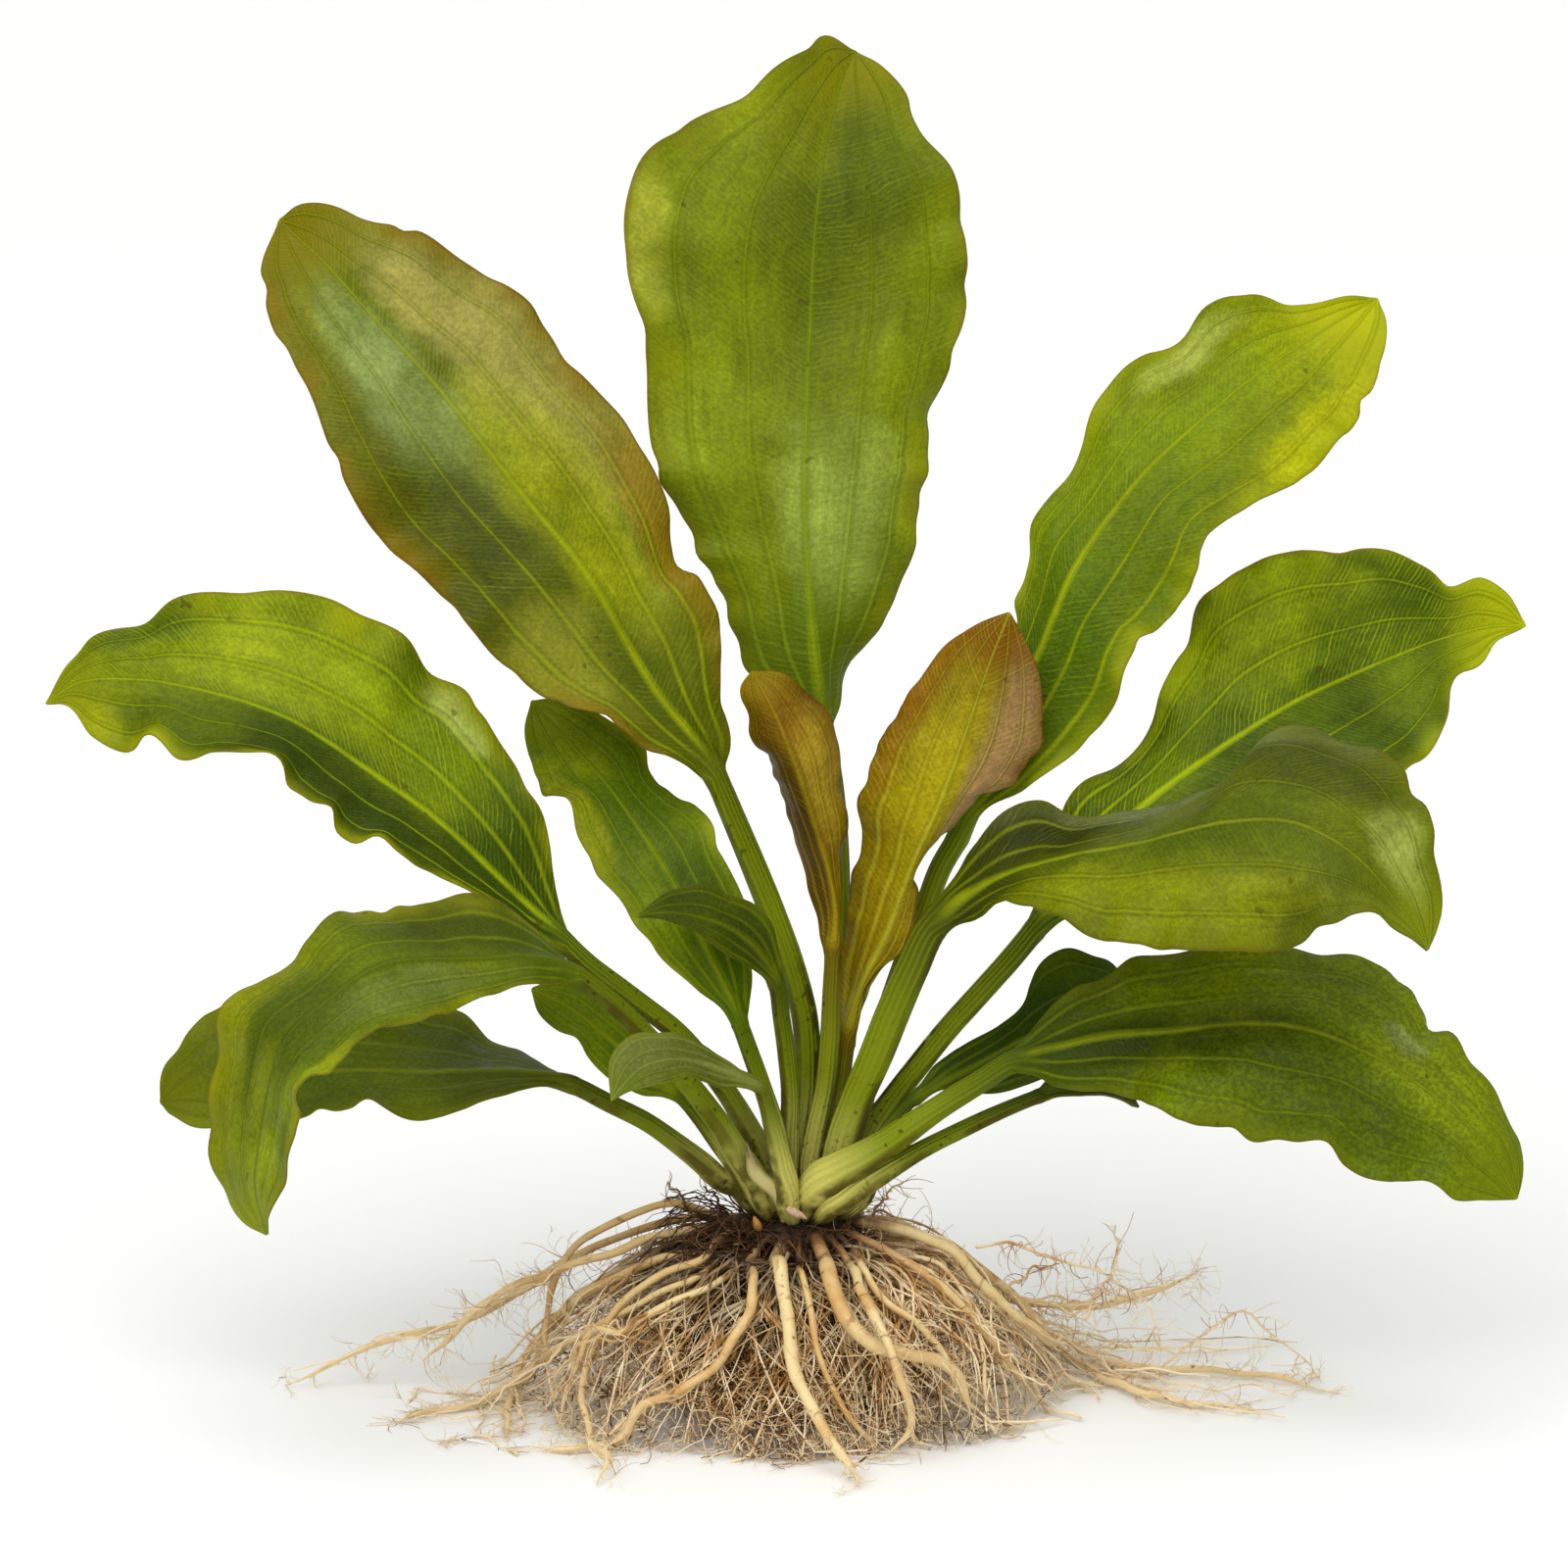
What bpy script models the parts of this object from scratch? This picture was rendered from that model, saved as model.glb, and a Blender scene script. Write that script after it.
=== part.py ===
"""Amazon sword plant, bare-rooted, standing on its root mass.

Every leaf is one closed solid, a stalk that widens into a blade, lofted through
oval sections. The crown is a turned knob, the fine roots are one ridged mound
with a flat underside, and the thick roots are tapered tubes that arch over it.

Points are written as they are seen from the front, in millimetres: across, up
and, where it isn't found from the mound, the depth behind the crown's middle.
"""

import math

import bmesh
import bpy
from mathutils import Vector
from mathutils.kdtree import KDTree

MM = 0.001

# The front view that the outlines are drawn in.
VIEW_TILT = math.radians(12.0)
VIEW_DISTANCE = 1600.0
VIEW_CENTRE = (-6.0, 126.0)

# Crown and root mass.
CROWN_X = -2.5
CROWN_Y = -1.5
CROWN_RADIUS = 15.5
CROWN_TOP = 40.0
CROWN_BOTTOM = 26.4
MOUND_HEIGHT = 31.0
MOUND_SHOULDER = 18.5
MOUND_LEFT = 59.0
MOUND_RIGHT = 50.0
MOUND_BACK = 46.0
MOUND_FRONT = 38.0
MOUND_RIDGES = 20
RIDGE_DEPTH = 1.2
GAP = 0.4

# Leaf sections.
ACROSS = 5
LAMINA = 0.9
MARGIN = 0.5
STALK_STEPS = 5

UP_ON_VIEW = Vector((0.0, math.sin(VIEW_TILT), math.cos(VIEW_TILT)))
INTO_VIEW = Vector((0.0, math.cos(VIEW_TILT), -math.sin(VIEW_TILT)))


def on_view(across, up):
    """Point of the upright drawing plane through the plant's origin."""
    return Vector((across, 0.0, 0.0)) + UP_ON_VIEW * up


EYE = on_view(*VIEW_CENTRE) - INTO_VIEW * VIEW_DISTANCE


def seen(across, up, back):
    """Point that shows at (across, up) from the front, at the depth back."""
    target = on_view(across, up)
    share = (back - EYE.y) / (target.y - EYE.y)
    return EYE + (target - EYE) * share


def mound_reach(x, y):
    """Distance from the crown's axis to the mound's foot, towards (x, y)."""
    ray = Vector((x - CROWN_X, y - CROWN_Y)).normalized()
    side = MOUND_RIGHT if ray.x > 0.0 else MOUND_LEFT
    depth = MOUND_BACK if ray.y > 0.0 else MOUND_FRONT
    turn = math.atan2(ray.y, ray.x)
    uneven = 1.0 + 0.05 * math.sin(3.0 * turn + 1.0) + 0.04 * math.sin(7.0 * turn)
    return uneven / math.hypot(ray.x / side, ray.y / depth)


def mound_height(x, y):
    """Height of the root mass without its ridges and its hollow."""
    distance = math.hypot(x - CROWN_X, y - CROWN_Y) - MOUND_SHOULDER
    if distance <= 0.0:
        return MOUND_HEIGHT
    share = distance / (mound_reach(x, y) - MOUND_SHOULDER)
    if share >= 1.0:
        return 0.0
    return MOUND_HEIGHT * (1.0 - share**2) ** 0.9


def above_mound(point, radius):
    """The point, raised where a root of that radius would touch the mound."""
    x, y, z = point
    step = 0.5
    rise = (mound_height(x + step, y) - mound_height(x - step, y)) / (2.0 * step)
    fall = (mound_height(x, y + step) - mound_height(x, y - step)) / (2.0 * step)
    steep = min(math.sqrt(1.0 + rise * rise + fall * fall), 2.2)
    height = mound_height(x, y)
    clear = radius + 0.3
    if height > 0.0:
        clear = (radius + GAP + RIDGE_DEPTH) * steep
    return Vector((x, y, max(z, height + clear)))


def resting(across, up, lift):
    """Where the line of sight through (across, up) comes down onto the mound,
    or onto the surface around it, raised by lift."""
    target = on_view(across, up)
    near = (-130.0 - EYE.y) / (target.y - EYE.y)
    far = (130.0 - EYE.y) / (target.y - EYE.y)
    steps = 400
    for step in range(steps + 1):
        share = near + (far - near) * step / steps
        point = EYE + (target - EYE) * share
        if point.z <= mound_height(point.x, point.y) + lift:
            return point
    return point


def tangents(points):
    """Directions of a smooth curve at its points, with their lengths kept."""
    spans = [(b - a).length for a, b in zip(points, points[1:])]
    slopes = [(b - a) / s for a, b, s in zip(points, points[1:], spans)]
    result = [slopes[0]]
    for i in range(1, len(points) - 1):
        before = spans[i - 1]
        after = spans[i]
        mixed = slopes[i - 1] * after + slopes[i] * before
        result.append(mixed / (before + after))
    result.append(slopes[-1])
    return result, spans


def smooth_path(points, shares):
    """Points at the given shares of the length of a smooth curve."""
    directions, spans = tangents(points)
    fine = []
    for i, span in enumerate(spans):
        for k in range(12):
            t = k / 12.0
            a = (1.0 + 2.0 * t) * (1.0 - t) ** 2
            b = t * (1.0 - t) ** 2
            c = t * t * (3.0 - 2.0 * t)
            d = t * t * (t - 1.0)
            fine.append(
                points[i] * a
                + directions[i] * (b * span)
                + points[i + 1] * c
                + directions[i + 1] * (d * span)
            )
    fine.append(points[-1])
    run = [0.0]
    for a, b in zip(fine, fine[1:]):
        run.append(run[-1] + (b - a).length)
    result = []
    i = 0
    for share in shares:
        goal = min(max(share, 0.0), 1.0) * run[-1]
        while i < len(run) - 2 and run[i + 1] < goal:
            i += 1
        t = (goal - run[i]) / (run[i + 1] - run[i])
        result.append(fine[i].lerp(fine[i + 1], t))
    return result


def blend(values, share):
    """Value at a share of a list of evenly spaced values."""
    place = min(max(share, 0.0), 1.0) * (len(values) - 1)
    i = min(int(place), len(values) - 2)
    t = place - i
    t = t * t * (3.0 - 2.0 * t)
    return values[i] * (1.0 - t) + values[i + 1] * t


def linked(name, data, material):
    """Object in the plant's collection, with its own material."""
    obj = bpy.data.objects.new(name, data)
    PLANT.objects.link(obj)
    data.materials.append(material)
    return obj


def loft(name, rings, material):
    """Closed solid through rings of points in mm, with both ends capped."""
    around = len(rings[0])
    along = len(rings) - 1
    bm = bmesh.new()
    bmesh.ops.create_grid(bm, x_segments=around, y_segments=along, size=1.0)
    for vert in bm.verts:
        i = round((vert.co.x + 1.0) / 2.0 * around) % around
        j = round((vert.co.y + 1.0) / 2.0 * along)
        vert.co = rings[j][i] * MM
    bmesh.ops.remove_doubles(bm, verts=bm.verts, dist=1e-6)
    rims = [edge for edge in bm.edges if edge.is_boundary]
    bmesh.ops.holes_fill(bm, edges=rims, sides=0)
    bmesh.ops.recalc_face_normals(bm, faces=bm.faces)
    if bm.calc_volume(signed=True) < 0.0:
        bmesh.ops.reverse_faces(bm, faces=bm.faces)
    mesh = bpy.data.meshes.new(name)
    bm.to_mesh(mesh)
    bm.free()
    mesh.shade_smooth()
    mesh.set_sharp_from_angle(angle=math.radians(50.0))
    return linked(name, mesh, material)


def surface(name, colour, roughness):
    """Principled material with a colour and a roughness."""
    material = bpy.data.materials.new(name)
    material.use_nodes = True
    shader = material.node_tree.nodes["Principled BSDF"]
    shader.inputs["Base Color"].default_value = (*colour, 1.0)
    shader.inputs["Roughness"].default_value = roughness
    shader.inputs["Metallic"].default_value = 0.0
    return material


class Leaf:
    """One leaf, drawn from the front.

    base: where the stalk leaves the crown, seen from above.
    stalk: points (across, up, back) of the stalk's middle, from the crown up.
    widths: the stalk's width, evenly spaced from the crown to the blade.
    rib: points (across, up, back) of the blade's middle, to its tip.
    left, right: points (across, up) of its two margins, without the ends.
    left_back, right_back: how far behind the rib each margin runs.
    """

    def __init__(self, base, stalk, widths, rib, left, right, left_back, right_back, steps):
        foot = Vector((base[0], base[1], CROWN_TOP + 1.2 * GAP))
        rise = Vector((base[0] * 1.02, base[1] * 1.02, CROWN_TOP + 3.0))
        self.stalk = [foot, rise] + [seen(*point) for point in stalk]
        self.rib = [seen(*point) for point in rib]
        self.stalk.append(self.rib[0])
        self.widths = widths
        self.steps = steps
        self.left = self.margin(left, left_back)
        self.right = self.margin(right, right_back)

    def margin(self, outline, back):
        """Margin's points in space, as far behind the rib as back says."""
        result = []
        for i, (across, up) in enumerate(outline):
            share = (i + 1) / (len(outline) + 1)
            rib = smooth_path(self.rib, [share])[0]
            result.append(seen(across, up, rib.y + blend(back, share)))
        return result

    def sections(self):
        """Left edge, middle, right edge and direction of every section."""
        lift = self.rib[1] - self.rib[0]
        side = self.left[0] - self.right[0]
        side = (side - side.project(lift)).normalized()
        half = self.widths[-1] / 2.0
        result = []
        for i in range(STALK_STEPS):
            share = i / STALK_STEPS
            point, other = smooth_path(self.stalk, [share, share + 0.01])
            run = (other - point).normalized()
            turned = (side - side.project(run)).normalized()
            reach = turned * (blend(self.widths, share) / 2.0)
            result.append((point + reach, point, point - reach, run))
        tip = self.rib[-1]
        last = (self.left[-1] - self.right[-1]).normalized() * 0.5
        left = [self.rib[0] + side * half] + self.left + [tip + last]
        right = [self.rib[0] - side * half] + self.right + [tip - last]
        shares = [i / self.steps for i in range(self.steps + 1)]
        before = smooth_path(self.rib, [share - 0.03 for share in shares])
        after = smooth_path(self.rib, [share + 0.03 for share in shares])
        runs = [(b - a).normalized() for a, b in zip(before, after)]
        blade = [smooth_path(rail, shares) for rail in (left, self.rib, right)]
        result.extend(zip(*blade, runs))
        return result

    def rings(self):
        """Oval rings around the stalk and thin keeled ones around the blade."""
        result = []
        for i, (left, middle, right, run) in enumerate(self.sections()):
            across = left - right
            face = run.cross(across - across.project(run)).normalized()
            half = across.length / 2.0
            stem = self.widths[-1] / 2.0
            if i <= STALK_STEPS:
                oval = 1.0
                keel = half * 1.7
            else:
                share = (i - STALK_STEPS) / self.steps
                oval = min(max(2.0 - half / stem, 0.0), 1.0)
                keel = LAMINA + stem * 1.5 * max(1.0 - share * 1.5, 0.0) ** 1.5
                keel = min(keel, half * 1.7 + 0.2)
            top = []
            bottom = []
            for k in range(ACROSS):
                angle = math.pi * (0.9 - 0.8 * k / (ACROSS - 1))
                u = -math.cos(angle) / math.cos(math.pi * 0.1)
                rail = right if u > 0.0 else left
                point = middle.lerp(rail, abs(u))
                flat = MARGIN + (LAMINA - MARGIN) * (1.0 - abs(u))
                if k == ACROSS // 2:
                    flat = keel
                thick = oval * keel * math.sin(angle) + (1.0 - oval) * flat
                thick = max(thick, MARGIN)
                share_up = 0.5 * oval + 0.3 * (1.0 - oval)
                top.append(point + face * (thick * share_up))
                bottom.append(point - face * (thick * (1.0 - share_up)))
            result.append(top + bottom[::-1])
        return result


def upright_leaves():
    """The leaves that stand up from the middle of the crown."""
    return {
        "leaf_tall_back": Leaf(
            base=(1.0, 8.0),
            stalk=[(2.5, 55, 9), (4.5, 75, 10.5), (5.3, 95, 12), (5.2, 110, 13.5), (4, 126, 15)],
            widths=(4.2, 4.6, 4.4, 4.2),
            rib=[
                (2, 138, 17), (0, 155, 20), (-1.5, 175, 25), (-1.5, 200, 33),
                (-0.5, 220, 41), (0.5, 240, 50), (3, 259, 60), (6, 270, 68), (8.5, 275.5, 75),
            ],
            left=[
                (-6, 143), (-14, 150), (-20, 165), (-28, 183), (-33.5, 199), (-35, 219),
                (-38.5, 233), (-38, 246), (-35, 254), (-26, 261), (-15, 266.5), (-5, 274.5),
                (2, 278.8),
            ],
            right=[
                (5.5, 142), (7, 150), (14, 160), (20, 173), (24, 193), (27, 209), (31.5, 226),
                (31, 237), (28, 252), (22, 259), (19, 267), (14, 272.5),
            ],
            left_back=(0, 5, 8, 8, 6, 2, 0),
            right_back=(0, 4, 7, 8, 6, 2, 0),
            steps=15,
        ),
        "leaf_upper_left": Leaf(
            base=(-3.5, 3.0),
            stalk=[
                (-3.4, 50, 3), (-2.2, 58, 3.4), (-1.3, 68, 3.8), (-1.6, 77, 4.4), (-4.2, 88, 5),
                (-8.5, 100, 6), (-12.5, 110, 7), (-16.5, 119.5, 8),
            ],
            widths=(4.0, 5.4, 5.4, 4.8),
            rib=[
                (-20, 127.5, 9), (-31, 143.6, 9), (-39.6, 157.6, 10), (-50, 172.4, 12),
                (-61, 187, 15), (-70, 198.6, 19), (-80, 211, 24), (-90, 221.3, 31),
                (-100, 232.5, 38), (-109, 241, 45),
            ],
            left=[
                (-25, 129), (-35, 134), (-43, 139.5), (-53, 143), (-64, 151), (-70, 157.5),
                (-77, 165.5), (-89, 176.5), (-97, 190), (-103, 206), (-110, 218),
                (-112.8, 231),
            ],
            right=[
                (-17, 133), (-19, 145), (-19, 160), (-27, 170), (-30, 182), (-36, 198),
                (-50, 212.5), (-60, 226), (-71, 232), (-82, 239.5), (-90, 241), (-97, 244),
                (-104.5, 244.5),
            ],
            left_back=(0, -6, -10, -11, -9, -5, 0),
            right_back=(0, 6, 12, 14, 12, 7, 0),
            steps=15,
        ),
        "leaf_upper_right": Leaf(
            base=(7.0, 5.0),
            stalk=[(9, 56, 6), (11, 66, 7), (15, 79, 8.5), (19.5, 92, 10), (23, 101, 11), (26, 109, 12)],
            widths=(4.0, 4.6, 4.6, 4.6),
            rib=[
                (29.5, 115, 13), (35, 126, 15), (40, 140, 17), (46, 153, 19), (55, 172, 23),
                (65, 186, 27), (75, 196.5, 32), (90, 209, 39), (100, 216, 45), (108, 221, 50),
                (115, 225, 55),
            ],
            left=[
                (30, 123), (33, 135), (37, 147), (41, 158), (43, 172), (44, 180.5),
                (51, 187.5), (54, 195), (59, 206), (65, 212), (74, 216.5), (80, 223.5),
                (90, 225.7), (100, 223.7), (109, 225.7),
            ],
            right=[
                (34, 119.5), (43, 125), (54, 133), (62, 143), (65, 152), (72, 159), (79, 171),
                (80.5, 177), (90, 182.5), (98, 186), (106, 194), (111.5, 200.8), (116, 212),
                (117, 220),
            ],
            left_back=(0, 5, 9, 11, 9, 5, 0),
            right_back=(0, -5, -8, -9, -7, -3, 0),
            steps=15,
        ),
        "leaf_young_left": Leaf(
            base=(-0.6, -1.2),
            stalk=[(-0.6, 48, -1.2), (0.5, 55, -1.5), (2.5, 65, -2), (3.4, 75, -2.5), (3.7, 84, -3)],
            widths=(3.4, 3.8, 4.0, 3.4),
            rib=[
                (4, 91, -3), (4.5, 100, -3.2), (3.2, 108, -3.5), (0.8, 116, -3.5),
                (-2, 125, -3), (-5, 133.5, -2), (-8.5, 141.5, 0), (-12.5, 149, 3),
            ],
            left=[
                (1.6, 94), (0, 101), (-2.5, 110), (-4.8, 119), (-7, 126), (-9, 132),
                (-12, 135), (-13.2, 140), (-15, 145.5),
            ],
            right=[
                (5.6, 96), (6, 104), (5.8, 112), (7, 117), (6.3, 121), (5, 130), (5.2, 135),
                (3, 140), (-1, 144), (-6, 148.5),
            ],
            left_back=(0, 5, 8, 8, 5, 0),
            right_back=(0, 4, 8, 9, 6, 0),
            steps=11,
        ),
        "leaf_young_right": Leaf(
            base=(3.6, 3.0),
            stalk=[(3.6, 50, 2.8), (4.5, 58, 2.5), (5.8, 66, 2)],
            widths=(3.4, 3.6, 3.6, 3.4),
            rib=[
                (6.8, 73, 1.8), (9, 81, 1.5), (12, 88.5, 1.2), (15, 95, 1), (18, 103, 1),
                (21.5, 112, 1), (25.5, 121, 1.5), (29, 130.5, 2.5), (32.7, 141, 4),
                (36.5, 152, 6.5), (40, 161, 9),
            ],
            left=[
                (5.6, 79), (5.5, 87), (6.5, 98), (8, 109), (10, 116), (9.6, 122), (12, 130),
                (15, 138), (21, 147), (27, 154.5), (34, 159),
            ],
            right=[
                (9.3, 77), (10.8, 84), (14.5, 89), (18.5, 91.5), (20.7, 97), (21, 103),
                (20, 109), (26, 116), (34, 123), (41, 126.5), (45.5, 132), (46.3, 142),
                (44.5, 153),
            ],
            left_back=(0, 5, 8, 8, 6, 3, 0),
            right_back=(0, -1, -2, 2, 5, 5, 0),
            steps=14,
        ),
    }


def left_leaves():
    """The leaves that arch or hang to the left."""
    return {
        "leaf_arching_left": Leaf(
            base=(-9.8, 4.0),
            stalk=[
                (-10.6, 50, 3), (-14, 57, 2), (-18, 63.5, 1), (-23, 70, 0), (-28, 75.5, -1),
                (-34, 80.2, -2), (-40, 84.7, -3), (-46, 89.2, -4),
            ],
            widths=(3.8, 4.4, 4.2, 4.2),
            rib=[
                (-50.5, 93.3, -4), (-60, 101.5, -4), (-70, 111.5, -4), (-80, 120.5, -3),
                (-90, 128, -2), (-100, 134.5, 0), (-110, 140, 2), (-120, 144, 4),
                (-130, 146.3, 7), (-140, 147.3, 10), (-150, 146.5, 13), (-156.5, 142.5, 16),
            ],
            left=[
                (-58, 96.5), (-65, 100.5), (-73, 105), (-80, 110.5), (-87, 113.7), (-95, 115.5),
                (-103, 122), (-110, 129.7), (-120, 131.3), (-130, 131), (-135, 135.8),
                (-141, 132.5), (-147, 135.5), (-152.5, 142),
            ],
            right=[
                (-51, 98), (-53, 108), (-57, 123), (-64, 135), (-70, 144), (-76, 149),
                (-85, 157.5), (-98, 163.8), (-109, 165.8), (-120, 165.5), (-130, 163.7),
                (-136, 159), (-145, 156.8), (-151.5, 151.5),
            ],
            left_back=(0, -8, -13, -14, -9, -4, 0),
            right_back=(0, 8, 15, 16, 11, 5, 0),
            steps=15,
        ),
        "leaf_front_left": Leaf(
            base=(-10.6, -6.6),
            stalk=[
                (-11.8, 45, -8), (-15.5, 50.5, -10), (-19.5, 57, -12), (-24, 63, -14),
                (-30, 70, -17), (-36, 76.5, -19.5), (-42, 82, -22),
            ],
            widths=(4.0, 4.8, 4.4, 4.2),
            rib=[
                (-48, 86.5, -24), (-57, 90.3, -28), (-67, 90.8, -34), (-79, 90, -42),
                (-90.6, 87.2, -49), (-100, 80.8, -55), (-106.7, 75, -59), (-110.5, 67, -62),
                (-113, 58, -64), (-114, 47.5, -65), (-111.5, 34, -65),
            ],
            left=[
                (-53, 85.2), (-62, 84.3), (-70.4, 81.5), (-77, 77.7), (-85.6, 76.5),
                (-91, 75.5), (-96, 70), (-104, 62), (-105, 54), (-107.5, 45), (-111, 38.5),
            ],
            right=[
                (-52, 91.5), (-58, 97.5), (-65, 102.5), (-72, 104), (-80, 101.5), (-92, 99.3),
                (-101, 96.5), (-106, 89), (-113, 84.5), (-120.5, 80.5), (-123, 68),
                (-124.7, 56), (-121, 44), (-115.5, 36),
            ],
            left_back=(0, -6, -12, -13, -13, -9, 0),
            right_back=(0, 14, 19, 17, 16, 11, 0),
            steps=16,
        ),
        "leaf_low_left": Leaf(
            base=(-15.0, 0.5),
            stalk=[(-18.5, 45, 0), (-22.5, 48.5, 0), (-28, 52.8, -1), (-34, 57, -2), (-42, 61, -3)],
            widths=(3.6, 4.0, 3.8, 3.6),
            rib=[
                (-49, 64.5, -4), (-60, 67, -3), (-72, 67.5, -1), (-85, 67, 2),
                (-100, 66.5, 6), (-115, 65.5, 11), (-125, 64, 14), (-133.2, 61, 17),
            ],
            left=[
                (-57, 64), (-65, 61.5), (-73, 58.8), (-80, 57.8), (-88, 60), (-92, 61.5),
                (-100, 60), (-110, 57.5), (-120, 55.5), (-127, 56), (-131.5, 58.7),
            ],
            right=[
                (-53, 67.5), (-59, 71), (-65, 73.5), (-71, 79), (-82, 83), (-95, 85),
                (-109, 84), (-120, 81), (-129, 73.5), (-133.2, 66),
            ],
            left_back=(0, -7, -10, -10, -8, -4, 0),
            right_back=(0, 10, 16, 17, 14, 7, 0),
            steps=14,
        ),
        "leaf_inner_left": Leaf(
            base=(-6.6, -4.6),
            stalk=[
                (-6.6, 46, -4.6), (-7.2, 52, -5), (-8.5, 58, -5.5), (-10.7, 65, -6.2),
                (-13, 71.5, -7),
            ],
            widths=(3.4, 3.9, 3.6, 3.4),
            rib=[
                (-15, 77, -7.5), (-18.5, 85, -7), (-23, 94, -5), (-28.5, 105, -1),
                (-35, 116, 5), (-42, 125.5, 12), (-50, 134.5, 20), (-57.5, 142.8, 28),
            ],
            left=[
                (-18.5, 79.8), (-24, 84), (-31, 90.3), (-36, 96.5), (-39, 102), (-44.5, 108),
                (-48, 115.5), (-50, 122), (-55.5, 124), (-57.5, 130), (-59, 137),
            ],
            right=[
                (-13.2, 80), (-12.6, 86), (-12.8, 94), (-14.5, 103), (-18.5, 111.5),
                (-20.5, 117.5), (-24, 122), (-29.5, 124.5), (-33.2, 128.5), (-35, 134.5),
                (-41, 138.3), (-47, 141.8), (-53, 143.5),
            ],
            left_back=(0, -3, -5, -5, -3, 0),
            right_back=(0, 3, 5, 6, 5, 0),
            steps=14,
        ),
        "leaf_small_inner": Leaf(
            base=(-5.0, -0.4),
            stalk=[
                (-5.0, 48, -0.9), (-4.9, 56, -1.6), (-4.8, 63, -2.6), (-5.5, 71, -4.4),
                (-6.6, 79, -6.6),
            ],
            widths=(2.8, 3.2, 3.6, 3.4),
            rib=[
                (-7.5, 85, -8.6), (-10, 90, -11), (-14, 94.5, -13.5), (-19, 97.5, -16),
                (-25, 99.2, -18), (-30, 99.7, -19.5), (-35.8, 99, -21),
            ],
            left=[
                (-9.8, 86.2), (-13, 88.5), (-17, 90.7), (-21, 93.8), (-25, 96.5), (-29, 98),
                (-33, 98.8),
            ],
            right=[
                (-6.2, 88), (-7.2, 93), (-9, 98.5), (-12, 101.5), (-17, 103.7), (-23, 105.7),
                (-28, 104.8), (-33, 101.8),
            ],
            left_back=(0, -2, -4, -2, 0),
            right_back=(0, 3, 6, 4, 0),
            steps=10,
        ),
        "leaf_small_front": Leaf(
            base=(-5.2, -11.0),
            stalk=[(-5.4, 44, -12.5), (-6.8, 50, -13.5), (-8.2, 55.5, -14.5), (-9.4, 60, -15.5)],
            widths=(3.4, 4.0, 3.6, 2.8),
            rib=[
                (-10.8, 64, -17.5), (-16, 66.5, -22), (-22, 68.5, -27), (-29, 69.5, -33),
                (-35, 68, -38), (-41.3, 61.5, -42),
            ],
            left=[
                (-15, 64), (-19, 63.9), (-22, 65), (-25.5, 66.1), (-29, 65), (-33, 64.3),
                (-38, 63),
            ],
            right=[
                (-12.5, 66.3), (-18, 69.8), (-22, 72.3), (-26, 74.7), (-32, 75.5),
                (-38, 74.3), (-41.5, 70),
            ],
            left_back=(0, -2, -4, -2, 0),
            right_back=(0, 2, 4, 3, 0),
            steps=10,
        ),
        "leaf_small_left": Leaf(
            base=(-12.6, -3.0),
            stalk=[(-13.6, 44.5, -3.4), (-16, 48.5, -4.2), (-19.5, 53, -5.4), (-23, 57.7, -6.6)],
            widths=(3.2, 3.8, 3.4, 3.2),
            rib=[
                (-27, 62.3, -8), (-32, 66, -8.4), (-37, 70, -8.6), (-43, 75, -8.6),
                (-50, 80.5, -8), (-57.5, 84.2, -7),
            ],
            left=[
                (-30.5, 62), (-35, 62.4), (-39, 64), (-43, 67), (-46, 70.5), (-48.5, 74.2),
                (-52, 75.5), (-56, 79),
            ],
            right=[(-28.3, 65), (-31, 70), (-35, 76), (-41, 82), (-47, 85.8), (-53, 86)],
            left_back=(0, -2, -3, -2, 0),
            right_back=(0, 1, 2, 1, 0),
            steps=10,
        ),
    }


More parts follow.
